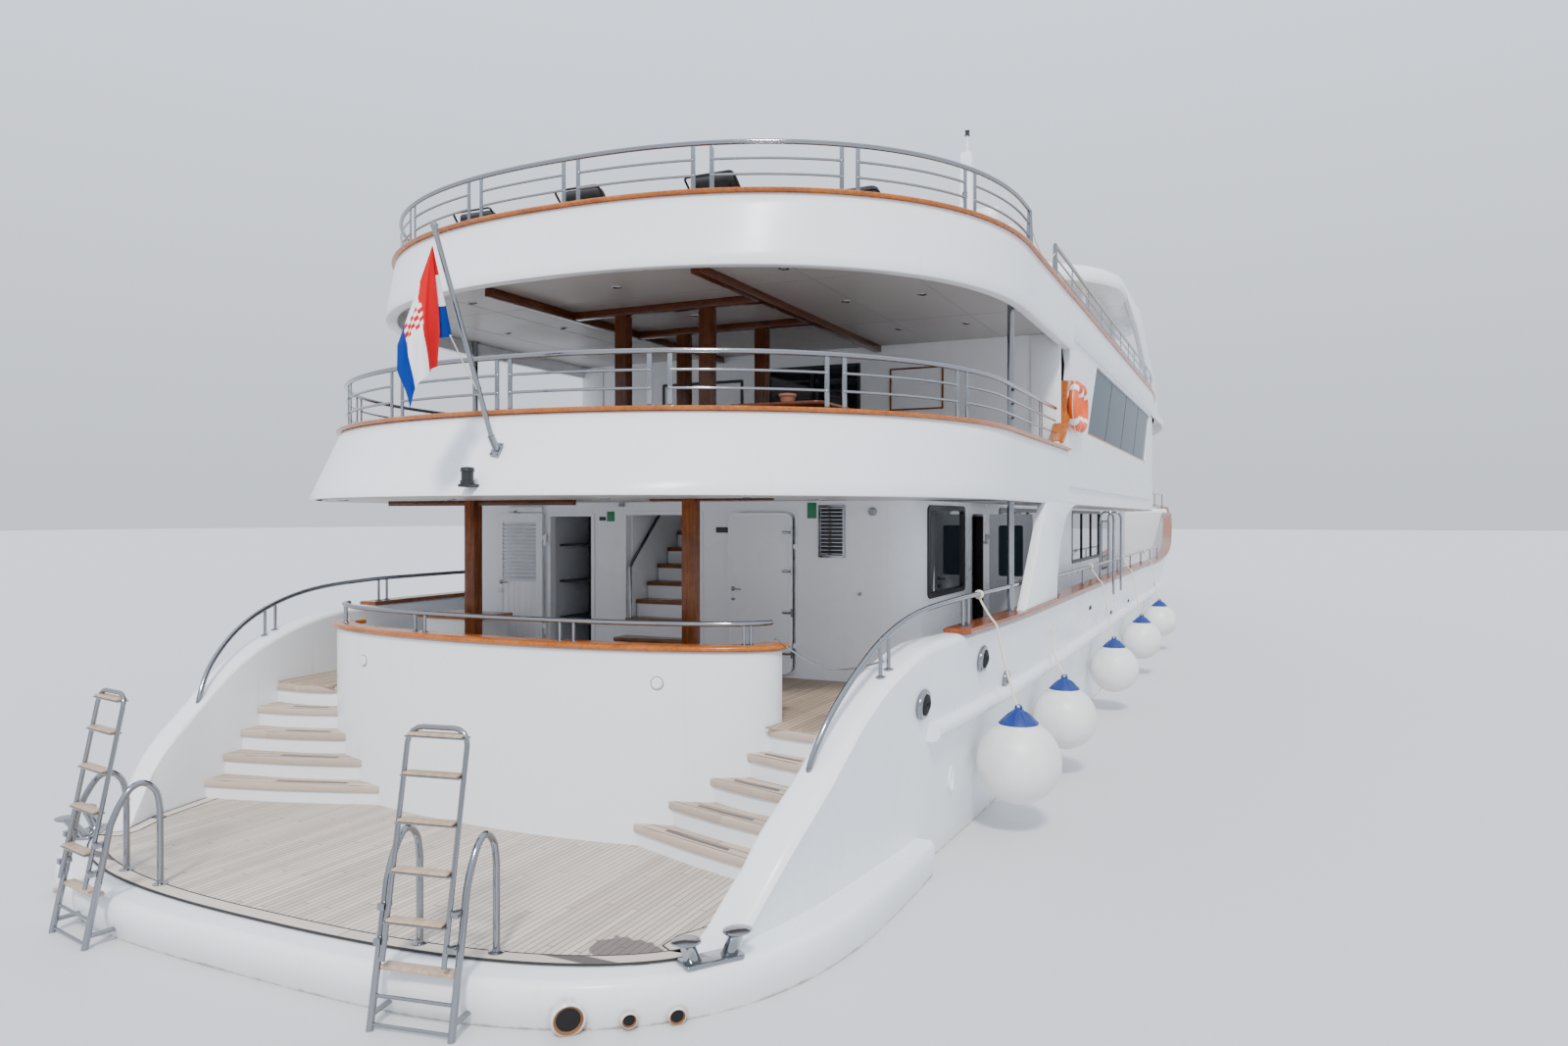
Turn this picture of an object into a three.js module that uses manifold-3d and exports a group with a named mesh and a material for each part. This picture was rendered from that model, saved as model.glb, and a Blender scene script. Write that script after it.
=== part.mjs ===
// Three-deck motor yacht, afloat, as a 1:2 scale model.
// Lengths below are metres on the full-size ship. The root group turns them into millimetres at 1:2.
// Frame: +X to the bow, +Y to port, +Z up. The origin is on the waterline, amidships, on the centreline.
// Heights below are taken from a datum that lies DATUM_DEPTH under the water.
import * as THREE from 'three';
import { mergeVertices } from 'three/addons/utils/BufferGeometryUtils.js';
import Module from 'manifold-3d';

const wasm = await Module();
wasm.setup();

// Driving dimensions
const MODEL_SCALE = 0.5;
const MM_PER_METRE = 1000;
const DATUM_DEPTH = 0.2;
const SEAT = 0.0006;
const PORT = 1;
const STARBOARD = -1;

const LEVEL = {
  platform: 0.54,
  mainDeck: 1.68,
  bulwarkTop: 2.45,
  upperSlabLow: 3.85,
  upperDeck: 4.13,
  upperFasciaTop: 4.66,
  sunFasciaLow: 6.2,
  sunSlabLow: 6.4,
  sunDeck: 6.6,
  sunFasciaTop: 6.99,
  hardtopLow: 8.9,
  hardtopTop: 9.45,
  foreDeck: 3.05,
};
const TEAK = 0.02;
const CAP_THICK = 0.05;

// Hull form by station. x station, half beam at the rail, half beam at the waterline, keel height,
// rail height, bilge fullness, flare power.
const HULL_FORM = [
  { x: -22.4, rail: 3.55, water: 3.30, keel: -0.35, top: 0.52, bilge: 4.0, flare: 1.0 },
  { x: -21.9, rail: 3.78, water: 3.50, keel: -0.42, top: 1.15, bilge: 4.0, flare: 1.0 },
  { x: -21.4, rail: 3.90, water: 3.65, keel: -0.50, top: 1.55, bilge: 4.0, flare: 1.0 },
  { x: -20.8, rail: 4.00, water: 3.75, keel: -0.60, top: 2.00, bilge: 3.8, flare: 1.0 },
  { x: -20.2, rail: 4.07, water: 3.82, keel: -0.70, top: 2.26, bilge: 3.8, flare: 1.0 },
  { x: -19.4, rail: 4.14, water: 3.90, keel: -0.84, top: 2.43, bilge: 3.6, flare: 1.0 },
  { x: -18.5, rail: 4.22, water: 3.95, keel: -1.00, top: 2.45, bilge: 3.6, flare: 1.0 },
  { x: -16.5, rail: 4.33, water: 4.02, keel: -1.30, top: 2.45, bilge: 3.4, flare: 1.0 },
  { x: -13.0, rail: 4.36, water: 4.06, keel: -1.75, top: 2.45, bilge: 3.2, flare: 1.0 },
  { x: -8.0, rail: 4.36, water: 4.08, keel: -2.20, top: 2.45, bilge: 3.2, flare: 1.0 },
  { x: -2.0, rail: 4.36, water: 4.08, keel: -2.40, top: 2.45, bilge: 3.0, flare: 1.0 },
  { x: 4.0, rail: 4.36, water: 3.95, keel: -2.40, top: 2.45, bilge: 2.8, flare: 1.0 },
  { x: 8.0, rail: 4.25, water: 3.55, keel: -2.38, top: 2.80, bilge: 2.5, flare: 1.1 },
  { x: 11.5, rail: 3.98, water: 2.85, keel: -2.35, top: 3.85, bilge: 2.3, flare: 1.2 },
  { x: 14.0, rail: 3.55, water: 2.20, keel: -2.30, top: 4.05, bilge: 2.1, flare: 1.3 },
  { x: 17.0, rail: 2.75, water: 1.35, keel: -2.25, top: 4.20, bilge: 2.0, flare: 1.4 },
  { x: 19.5, rail: 1.75, water: 0.65, keel: -2.15, top: 4.35, bilge: 2.0, flare: 1.5 },
  { x: 21.0, rail: 0.90, water: 0.28, keel: -2.05, top: 4.45, bilge: 2.0, flare: 1.5 },
  { x: 21.9, rail: 0.06, water: 0.05, keel: -1.95, top: 4.50, bilge: 2.0, flare: 1.0 },
];
const STATIONS_PER_SPAN = 2;
const STEM_RAKE = 0.467;
const FOREFOOT = 0.55;
const BOW_BEGINS = 11.0;
const BOW_ENDS = 21.9;
const KEEL_STEPS = 6;
const SIDE_STEPS = 4;
const SHOULDER = 0.1;
const RUB_RAIL = { z: 1.58, r: 0.085, stations: [-19.8, -18.4, -16.5, -12.5, -7, 0, 4, 6.5, 9] };

// Inner face of the stern wings: x, half width
const WING_INNER = [[-25, 3.1], [-22.4, 3.22], [-22.0, 3.42], [-21.3, 3.58], [-20.3, 3.68], [-19.4, 3.78]];
const COCKPIT_END = -19.4;
const BULWARK = 0.2;
const BULWARK_AT_DECK = 0.12;
const WELL_END = 11.5;
const FORE_WELL = { from: 12.6, to: 21.0 };

// Rounded stern outlines: x at the apex, x where the sides run straight, half width, fullness
const PLATFORM = { apex: -23.68, shoulder: -19.7, half: 4.14, full: 3.3 };
const PLATFORM_END = -19.33;
const PLATFORM_SKIRT = [
  [-0.2, 0.3, 0.08], [0.2, 0.06, 0.02], [0.42, 0.0, 0.0], [0.5, 0.012, 0.01], [0.54, 0.07, 0.06],
];
const TEAK_EDGE = { apex: -23.44, shoulder: -21.88, half: 3.567, full: 2.51 };
const TEAK_SIDE = [[-22.5, 3.2], [-22.4, 3.205], [-22.0, 3.4], [-21.3, 3.56], [-19.5, 3.6]];
const TRANSOM = { apex: -20.86, shoulder: -20.05, half: 2.84, full: 2.0 };
const TRANSOM_WALL = 0.18;
const TRANSOM_TOP = 2.4;
const UPPER_LOW = { apex: -21.55, shoulder: -16.9, half: 4.36, full: 2.15 };
const UPPER_TOP = { apex: -20.95, shoulder: -16.9, half: 4.36, full: 2.15 };
const SUN_LOW = { apex: -20.1, shoulder: -16.0, half: 4.4, full: 2.3 };
const SUN_TOP = { apex: -19.85, shoulder: -16.0, half: 4.4, full: 2.3 };
const SUN_FRONT = { apex: 9.0, shoulder: -1.0, half: 4.4, full: 2.3 };
const SUN_FRONT_END = 3.3;
const SUN_SLAB_FORE = { apex: 11.0, shoulder: 3.0, half: 4.4, full: 2.3 };
const UPPER_SLAB_FORE = { apex: 10.2, shoulder: -1.0, half: 4.36, full: 2.3 };
const HARDTOP = { apex: -6.5, shoulder: -3.5, half: 4.1, full: 2.2 };
const FASCIA = 0.14;
const FASCIA_END = -12.78;
const ARC_STEPS = 26;
const FORE_STEPS = 18;

// Lower stairs: wing corner and inner corner of each nosing, from the main deck down
const STAIR_NOSINGS = [
  { wing: [-20.29, 3.68], inner: [-20.23, 2.84] },
  { wing: [-20.57, 3.65], inner: [-20.31, 2.59] },
  { wing: [-20.81, 3.62], inner: [-20.48, 2.31] },
  { wing: [-21.05, 3.60], inner: [-20.61, 1.95] },
  { wing: [-21.30, 3.58], inner: [-20.70, 1.62] },
];
const STAIR_RISE = (LEVEL.mainDeck - LEVEL.platform) / STAIR_NOSINGS.length;

// Superstructure
const HOUSE = { aft: -17.53, half: 3.4, corner: 0.45, foreShoulder: 0.5, foreApex: 9.0 };
const WALL = 0.1;
const GLASS = 0.03;
const GLASS_GAP = 0.012;
const SIDE_WINDOWS = [[-17.1, -15.46], [-13.4, -10.1], [-6.7, -2.55]];
const SIDE_WINDOW_Z = [2.7, 3.78];
const SIDE_DOOR = { aft: -15.03, width: 0.6, height: 1.95 };
const STAIR_DOOR = { low: -0.55, high: 0.58, top: 3.7 };
const STEEL_DOOR = { low: -1.86, high: -1.0, height: 1.96 };
const LOUVRED_DOOR = { low: 1.1, high: 1.8, height: 1.96 };
const DOOR_THICK = 0.045;
const DOOR_STANDOFF = 0.05;
const KNUCKLE = 0.022;
const DOOR_SILL = 0.09;
const AFT_POST = { x: -19.4, y: 1.48, half: 0.075 };

const UPPER_HOUSE = {
  aftLow: -13.0, aftHigh: -13.9, bulkhead: -13.3, half: 4.36, foreShoulder: -1.0, foreApex: 8.6,
};
const UPPER_WINDOW = [[-11.1, 5.05], [-1.43, 5.05], [-0.25, 6.33], [-10.0, 6.33]];
const UPPER_WINDOW_FORE = [[2.2, 5.15], [5.0, 5.15], [5.6, 6.2], [2.9, 6.2]];
const LOUNGE_EDGE = [
  [-13.9, 4.704], [-13.5, 4.86], [-13.15, 5.15], [-12.92, 5.6], [-12.8, 6.0], [-12.95, 6.199],
];
const LOUNGE_DOOR = { low: -1.12, high: 0.57, sill: 4.21, top: 6.15 };
const WHEELHOUSE = { aft: -1.5, half: 3.3, foreShoulder: 2.9, foreLow: 6.1, rake: 0.95 };
const FIN = [
  [-3.0, 9.1], [0.2, 9.1], [1.8, 8.5], [3.6, 7.95], [5.1, 7.2], [6.0, 6.6006],
  [4.2, 6.6006], [3.0, 7.25], [1.2, 8.0], [-0.8, 8.6], [-3.0, 8.95],
];
const FIN_Y = [3.98, 4.1];
const WEB = [
  [-16.12, 2.5006], [-14.7, 3.9], [-12.2, 3.9], [-12.75, 3.78], [-13.25, 3.6], [-13.62, 3.3],
  [-13.86, 2.9], [-13.93, 2.5006],
];

// Rails
const RAIL_R = 0.026;
const BAR_R = 0.014;
const POST_R = 0.02;
const PILLAR = { x: -16.28, y: 4.2, r: 0.045 };
const UPPER_RAIL_TOP = 5.23;
const SUN_RAIL_TOP = 7.53;
const SUN_RAIL_TURNS = [-14.0, -1.0, 0.3, 1.4, 2.3];
const SUN_RAIL_POSTS = [-14.0, -12.5, -10.8, -9.2, -7.8, -6.3, -4.9, -3.7, -2.4, -1.0, 0.5, 2.28];
const PIPE_SIDES = 5;

// Underwater gear
const SHAFT = { y: 1.55, propX: -18.35, propZ: -1.78, slope: 0.075 };
const PROP = { r: 0.6, hub: 0.11, length: 0.3, blades: 4 };
const RUDDER = { x: -19.75, low: -2.3, high: -1.12, chord: 0.95, balance: 0.25, thick: 0.12, stock: 0.06 };

// Materials
const paint = (color, roughness = 0.35, metalness = 0) =>
  new THREE.MeshStandardMaterial({ color, roughness, metalness });
const MATERIAL = {
  white: paint(0xf1f3f5),
  teak: paint(0xb39a80, 0.75),
  varnish: paint(0x9a4f24, 0.25),
  steel: paint(0xc8ccd0, 0.2, 1),
  glass: paint(0x1c242b, 0.08),
  bronze: paint(0xa87a3c, 0.35, 1),
  red: paint(0x6d1d1a, 0.7),
  black: paint(0x17181a, 0.4),
  fender: paint(0xe9e7e0, 0.5),
  flag: paint(0xc4403a, 0.9),
  grey: paint(0x8d9296, 0.5),
};

const yacht = new THREE.Group();
yacht.scale.setScalar(MODEL_SCALE * MM_PER_METRE);

// Solid helpers
function solidOf(geometry) {
  const bare = geometry.clone();
  bare.deleteAttribute('normal');
  bare.deleteAttribute('uv');
  const merged = mergeVertices(bare, 1e-6);
  const mesh = new wasm.Mesh({
    numProp: 3,
    vertProperties: new Float32Array(merged.attributes.position.array),
    triVerts: new Uint32Array(merged.index.array),
  });
  return new wasm.Manifold(mesh);
}

function geometryOf(solid) {
  const mesh = solid.getMesh();
  const geometry = new THREE.BufferGeometry();
  geometry.setAttribute('position', new THREE.BufferAttribute(mesh.vertProperties, 3));
  geometry.setIndex(new THREE.BufferAttribute(mesh.triVerts, 1));
  geometry.computeVertexNormals();
  return geometry;
}

function addPiece(name, solid, material) {
  const mesh = new THREE.Mesh(geometryOf(solid).translate(0, 0, -DATUM_DEPTH), material);
  mesh.name = name;
  yacht.add(mesh);
  return mesh;
}

const join = (...solids) => solids.reduce((a, b) => a.add(b));
const cut = (solid, ...tools) => tools.reduce((a, b) => a.subtract(b), solid);
const sideName = (side) => (side === PORT ? 'port' : 'starboard');

function box(x0, x1, y0, y1, z0, z1) {
  const geometry = new THREE.BoxGeometry(x1 - x0, Math.abs(y1 - y0), z1 - z0);
  geometry.translate((x0 + x1) / 2, (y0 + y1) / 2, (z0 + z1) / 2);
  return solidOf(geometry);
}

function extrude(points, depth) {
  const shape = new THREE.Shape(points.map(([u, v]) => new THREE.Vector2(u, v)));
  return new THREE.ExtrudeGeometry(shape, { depth, bevelEnabled: false });
}

// Outline in plan, raised from z0 to z1
function prism(points, z0, z1) {
  return solidOf(extrude(points, z1 - z0).translate(0, 0, z0));
}

// Outline in side view (x, z), from y0 to y1
function sidePrism(points, y0, y1) {
  const geometry = extrude(points, Math.abs(y1 - y0));
  geometry.rotateX(Math.PI / 2);
  return solidOf(geometry.translate(0, Math.max(y0, y1), 0));
}

// Outline seen from astern (y, z), from x0 to x1
function crossPrism(points, x0, x1) {
  const geometry = extrude(points, x1 - x0);
  const turn = new THREE.Matrix4().makeBasis(
    new THREE.Vector3(0, 1, 0), new THREE.Vector3(0, 0, 1), new THREE.Vector3(1, 0, 0));
  return solidOf(geometry.applyMatrix4(turn).translate(x0, 0, 0));
}

function signedVolume(positions, index) {
  const [a, b, c] = [new THREE.Vector3(), new THREE.Vector3(), new THREE.Vector3()];
  let volume = 0;
  for (let i = 0; i < index.length; i += 3) {
    a.fromArray(positions, index[i] * 3);
    b.fromArray(positions, index[i + 1] * 3);
    c.fromArray(positions, index[i + 2] * 3);
    volume += a.dot(b.cross(c));
  }
  return volume;
}

// Skin over a row of closed rings with equal counts of points, capped at both ends.
// The cap plane names the two coordinates that the end rings are seen in.
function loft(rings, capPlane) {
  const count = rings[0].length;
  const positions = rings.flat(2);
  const index = [];
  for (let r = 0; r + 1 < rings.length; r += 1) {
    for (let i = 0; i < count; i += 1) {
      const next = (i + 1) % count;
      const [a, b] = [r * count + i, r * count + next];
      index.push(a, b, b + count, a, b + count, a + count);
    }
  }
  const flat = (ring) => ring.map((p) => new THREE.Vector2(p[capPlane[0]], p[capPlane[1]]));
  const capFaces = (ring, offset) => {
    for (const face of THREE.ShapeUtils.triangulateShape(flat(ring), [])) {
      index.push(...face.map((k) => k + offset));
    }
  };
  capFaces(rings[0], 0);
  capFaces(rings[rings.length - 1], (rings.length - 1) * count);
  const geometry = new THREE.BufferGeometry();
  geometry.setAttribute('position', new THREE.BufferAttribute(new Float32Array(positions), 3));
  geometry.setIndex(index);
  return solidOf(repairWinding(geometry));
}

// Makes every face agree with its neighbours, then points them all out
function repairWinding(geometry) {
  const index = Array.from(geometry.index.array);
  const faces = index.length / 3;
  const edges = new Map();
  for (let f = 0; f < faces; f += 1) {
    for (let e = 0; e < 3; e += 1) {
      const [a, b] = [index[f * 3 + e], index[f * 3 + ((e + 1) % 3)]];
      const key = a < b ? `${a},${b}` : `${b},${a}`;
      if (!edges.has(key)) edges.set(key, []);
      edges.get(key).push(f);
    }
  }
  const hasEdge = (f, a, b) => [0, 1, 2].some(
    (e) => index[f * 3 + e] === a && index[f * 3 + ((e + 1) % 3)] === b);
  const seen = new Array(faces).fill(false);
  const queue = [0];
  seen[0] = true;
  while (queue.length) {
    const f = queue.pop();
    for (let e = 0; e < 3; e += 1) {
      const [a, b] = [index[f * 3 + e], index[f * 3 + ((e + 1) % 3)]];
      const key = a < b ? `${a},${b}` : `${b},${a}`;
      for (const g of edges.get(key)) {
        if (seen[g]) continue;
        if (hasEdge(g, a, b)) {
          [index[g * 3 + 1], index[g * 3 + 2]] = [index[g * 3 + 2], index[g * 3 + 1]];
        }
        seen[g] = true;
        queue.push(g);
      }
    }
  }
  if (signedVolume(geometry.attributes.position.array, index) < 0) {
    for (let f = 0; f < faces; f += 1) {
      [index[f * 3 + 1], index[f * 3 + 2]] = [index[f * 3 + 2], index[f * 3 + 1]];
    }
  }
  geometry.setIndex(index);
  return geometry;
}

// Round bar along a row of points, mitred at each turn
function pipe(points, radius, sides = PIPE_SIDES) {
  const path = points.map((p) => new THREE.Vector3(...p));
  const legs = path.slice(1).map((p, i) => p.clone().sub(path[i]).normalize());
  const rings = [];
  let across = new THREE.Vector3(0, 0, 1);
  if (Math.abs(legs[0].z) > 0.9) across.set(1, 0, 0);
  across.addScaledVector(legs[0], -across.dot(legs[0])).normalize();
  for (let i = 0; i < path.length; i += 1) {
    const before = legs[Math.max(i - 1, 0)];
    const after = legs[Math.min(i, legs.length - 1)];
    const plane = before.clone().add(after).normalize();
    across.addScaledVector(before, -across.dot(before)).normalize();
    const up = before.clone().cross(across);
    const ring = [];
    for (let k = 0; k < sides; k += 1) {
      const turn = (2 * Math.PI * k) / sides;
      const spoke = across.clone().multiplyScalar(radius * Math.cos(turn))
        .addScaledVector(up, radius * Math.sin(turn));
      spoke.addScaledVector(before, -spoke.dot(plane) / before.dot(plane));
      ring.push(path[i].clone().add(spoke).toArray());
    }
    rings.push(ring);
  }
  return loftTube(rings);
}

// A tube's two ends may face different ways, so each is closed by a fan
function loftTube(rings) {
  const count = rings[0].length;
  const positions = rings.flat(2);
  const index = [];
  for (let r = 0; r + 1 < rings.length; r += 1) {
    for (let i = 0; i < count; i += 1) {
      const next = (i + 1) % count;
      const [a, b] = [r * count + i, r * count + next];
      index.push(a, b, b + count, a, b + count, a + count);
    }
  }
  const last = (rings.length - 1) * count;
  for (let i = 1; i + 1 < count; i += 1) {
    index.push(0, i + 1, i, last, last + i, last + i + 1);
  }
  const geometry = new THREE.BufferGeometry();
  geometry.setAttribute('position', new THREE.BufferAttribute(new Float32Array(positions), 3));
  geometry.setIndex(index);
  return solidOf(repairWinding(geometry));
}

// A solid moved by a matrix that keeps its handedness
const placed = (solid, matrix) => solidOf(mergedOnly(geometryOf(solid).applyMatrix4(matrix)));

// Turned shape about a vertical axis, from a profile of (radius, height)
function turned(profile, x, y, z, sides = 12) {
  const geometry = new THREE.LatheGeometry(profile.map(([r, h]) => new THREE.Vector2(r, h)), sides);
  geometry.rotateX(Math.PI / 2);
  return solidOf(repairWinding(mergedOnly(geometry.translate(x, y, z))));
}

function mergedOnly(geometry) {
  geometry.deleteAttribute('normal');
  geometry.deleteAttribute('uv');
  const merged = mergeVertices(geometry, 1e-6);
  const index = [];
  const old = merged.index.array;
  for (let i = 0; i < old.length; i += 3) {
    const [a, b, c] = [old[i], old[i + 1], old[i + 2]];
    if (a !== b && b !== c && c !== a) index.push(a, b, c);
  }
  merged.setIndex(index);
  return merged;
}

const post = (x, y, z0, z1, r, sides = 8) => pipe([[x, y, z0], [x, y, z1]], r, sides);

// Outlines in plan
function lerpTable(table, x) {
  let i = 0;
  while (i < table.length - 2 && x > table[i + 1][0]) i += 1;
  const [[xa, ya], [xb, yb]] = [table[i], table[i + 1]];
  return ya + ((yb - ya) * (x - xa)) / (xb - xa);
}

// Rounded end from starboard to port, bulging to its apex
function roundedEnd({ apex, shoulder, half, full }, inset = 0, steps = ARC_STEPS) {
  const points = [];
  const reach = shoulder - apex - Math.sign(shoulder - apex) * inset;
  for (let i = 0; i <= steps; i += 1) {
    const turn = -Math.PI / 2 + (Math.PI * i) / steps;
    const across = Math.sign(Math.sin(turn)) * Math.abs(Math.sin(turn)) ** (2 / full);
    const along = Math.abs(Math.cos(turn)) ** (2 / full);
    points.push([shoulder - reach * (i === 0 || i === steps ? 0 : along), across * (half - inset)]);
  }
  return points;
}

// Stern outline with straight sides that run forward to xEnd, from starboard to port
function sternLine(form, xEnd, inset = 0) {
  const half = form.half - inset;
  return [[xEnd, -half], ...roundedEnd(form, inset), [xEnd, half]];
}

// Closed plan with a rounded stern and a rounded front
function plan(aft, fore, inset = 0) {
  return [...roundedEnd(aft, inset), ...roundedEnd(fore, inset, FORE_STEPS).reverse()];
}

// Wall that follows a stern outline, raked from its low line to its top line
function fasciaBand(low, top, z0, z1, xEnd, thick) {
  const lines = [
    sternLine(low, xEnd).map(([x, y]) => [x, y, z0]),
    sternLine(top, xEnd).map(([x, y]) => [x, y, z1]),
    sternLine(top, xEnd, thick).map(([x, y]) => [x, y, z1]),
    sternLine(low, xEnd, thick).map(([x, y]) => [x, y, z0]),
  ];
  return loft(lines[0].map((_, i) => lines.map((line) => line[i])), [1, 2]);
}

// Hull
function hermite(a, b, c, d, t) {
  const [slopeB, slopeC] = [(c.v - a.v) / (c.x - a.x), (d.v - b.v) / (d.x - b.x)];
  const span = c.x - b.x;
  const [t2, t3] = [t * t, t * t * t];
  return (2 * t3 - 3 * t2 + 1) * b.v + (t3 - 2 * t2 + t) * span * slopeB
    + (3 * t2 - 2 * t3) * c.v + (t3 - t2) * span * slopeC;
}

// Value of one column of the hull table at any station, smooth between its rows
function hullColumn(name, x) {
  const rows = HULL_FORM.map((row) => ({ x: row.x, v: row[name] }));
  let i = 0;
  while (i < rows.length - 2 && x > rows[i + 1].x) i += 1;
  const [b, c] = [rows[i], rows[i + 1]];
  const a = rows[i - 1] ?? { x: 2 * b.x - c.x, v: 2 * b.v - c.v };
  const d = rows[i + 2] ?? { x: 2 * c.x - b.x, v: 2 * c.v - b.v };
  return hermite(a, b, c, d, (x - b.x) / (c.x - b.x));
}

function hullStations(from = -Infinity, to = Infinity) {
  const stations = [];
  for (let i = 0; i + 1 < HULL_FORM.length; i += 1) {
    const span = HULL_FORM[i + 1].x - HULL_FORM[i].x;
    for (let k = 0; k < STATIONS_PER_SPAN; k += 1) {
      stations.push(HULL_FORM[i].x + (span * k) / STATIONS_PER_SPAN);
    }
  }
  stations.push(HULL_FORM[HULL_FORM.length - 1].x);
  const inside = stations.filter((x) => x > from + 1e-6 && x < to - 1e-6);
  const ends = [from, to].map((x) => (Number.isFinite(x) ? [x] : []));
  return [...ends[0], ...inside, ...ends[1]];
}

// The bow's stations lean forward above the water and aft below it
function bowShift(x, z) {
  const t = Math.min(Math.max((x - BOW_BEGINS) / (BOW_ENDS - BOW_BEGINS), 0), 1);
  const lean = z > 0 ? STEM_RAKE * z : -FOREFOOT * z * z * 0.9;
  return x + t * t * lean;
}

function topsideY(x, z) {
  const share = Math.min(Math.max(z / hullColumn('top', x), 0), 1);
  const water = hullColumn('water', x);
  return water + (hullColumn('rail', x) - water) * share ** hullColumn('flare', x);
}

function hullRing(x, grow) {
  const [water, keel, top, bilge] = ['water', 'keel', 'top', 'bilge'].map((n) => hullColumn(n, x));
  const half = [];
  for (let i = 0; i <= KEEL_STEPS; i += 1) {
    const turn = (Math.PI / 2) * (i / KEEL_STEPS);
    const y = water * Math.sin(turn) ** (2 / bilge);
    const z = (keel - grow) * Math.max(Math.cos(turn), 0) ** (2 / bilge);
    half.push([i === 0 ? 0 : y + grow, i === KEEL_STEPS ? 0 : z]);
  }
  const shoulder = Math.min(SHOULDER, top / 4);
  for (let i = 1; i <= SIDE_STEPS; i += 1) {
    const z = ((top - shoulder) * i) / SIDE_STEPS;
    half.push([topsideY(x, z) + grow, z]);
  }
  const rail = topsideY(x, top) + grow;
  const inner = Math.min(shoulder, rail * 0.4);
  half.push([rail - inner * 0.3, top + grow - shoulder * 0.3], [rail - inner, top + grow]);
  const ring = [...half, ...half.slice(1).reverse().map(([y, z]) => [-y, z])];
  return ring.map(([y, z]) => [bowShift(x, z), y, z]);
}

const hullLoft = (grow = 0) => loft(hullStations().map((x) => hullRing(x, grow)), [1, 2]);

// Open space over a deck: straight down to its floor, with a small chamfer at the rail
function deckWell(from, to, floor, innerLow, innerHigh) {
  const chamfer = 0.05;
  const rings = hullStations(from, to).map((x) => {
    const top = hullColumn('top', x);
    const [low, high] = [innerLow(x), innerHigh(x)];
    const half = [[low, floor], [high, top - chamfer], [high + chamfer, top + 0.002], [high + chamfer, 6]];
    const ring = [...half, ...[...half].reverse().map(([y, z]) => [-y, z])];
    return ring.map(([y, z]) => [bowShift(x, Math.min(z, top)), y, z]);
  });
  return loft(rings, [1, 2]);
}

const wingInner = (x) => lerpTable(WING_INNER, x);
const deckEdge = (x, floor) => Math.min(topsideY(x, floor) - BULWARK_AT_DECK, wingToRail(x));
const railInner = (x) => Math.min(hullColumn('rail', x) - BULWARK, wingToRail(x));

// From the thick wing to the thin bulwark
function wingToRail(x) {
  return x > -17.5 ? Infinity : lerpTable([[COCKPIT_END, 3.78], [-18.5, 3.95], [-17.5, 4.09]], x);
}

function platformSolid() {
  const rings = PLATFORM_SKIRT.map(([z, apexIn, sideIn]) => {
    const form = { ...PLATFORM, apex: PLATFORM.apex + apexIn, half: PLATFORM.half - sideIn };
    return sternLine(form, PLATFORM_END).map(([x, y]) => [x, y, z]);
  });
  return loft(rings, [0, 1]);
}

function upperSlabPlan(inset, z = LEVEL.upperSlabLow) {
  const share = (z - LEVEL.upperSlabLow) / (LEVEL.upperFasciaTop - LEVEL.upperSlabLow);
  const apex = UPPER_LOW.apex + (UPPER_TOP.apex - UPPER_LOW.apex) * share;
  const aft = { ...UPPER_LOW, apex };
  return plan(aft, UPPER_SLAB_FORE, inset);
}

// Round rubbing strake along the topside
function rubRail(side) {
  const { z, r, stations } = RUB_RAIL;
  return pipe(stations.map((x) => [x, side * (topsideY(x, z) + r * 0.35), z]), r, 6);
}

function makeHull() {
  const turns = WING_INNER.map(([x]) => x).filter((x) => x > -23.4 && x < COCKPIT_END);
  const stations = [...new Set([...hullStations(-23.4, COCKPIT_END), ...turns])].sort((a, b) => a - b);
  const cockpitRings = stations.map((x) => {
    const top = hullColumn('top', Math.max(x, -22.4));
    const y = wingInner(x);
    const chamfer = 0.06;
    const half = [[y, LEVEL.platform], [y, Math.max(top - chamfer, 0.56)],
      [y + chamfer, Math.max(top, 0.56) + 0.003], [y + chamfer, 6]];
    return [...half, ...[...half].reverse().map(([w, z]) => [-w, z])].map(([w, z]) => [x, w, z]);
  });
  const cockpit = loft(cockpitRings, [1, 2]);
  const well = deckWell(COCKPIT_END - 0.01, WELL_END, LEVEL.mainDeck,
    (x) => deckEdge(x, LEVEL.mainDeck), railInner);
  const foreWell = deckWell(FORE_WELL.from, FORE_WELL.to, LEVEL.foreDeck,
    (x) => Math.max(topsideY(x, LEVEL.foreDeck) - BULWARK_AT_DECK, 0.02),
    (x) => Math.max(hullColumn('rail', x) - BULWARK, 0.05));
  const slabRoom = prism(upperSlabPlan(-SEAT), LEVEL.upperSlabLow - SEAT, 7);
  const body = cut(hullLoft(), cockpit, well, foreWell, slabRoom);
  const bosses = [PORT, STARBOARD].map((side) =>
    post(RUDDER.x, side * SHAFT.y, RUDDER.high + 0.06, -0.3, RUDDER.stock * 1.8, 12));
  const hull = join(body, platformSolid(), ...bosses, ...[PORT, STARBOARD].map(rubRail));
  addPiece('hull', hull, MATERIAL.white);
}

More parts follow.
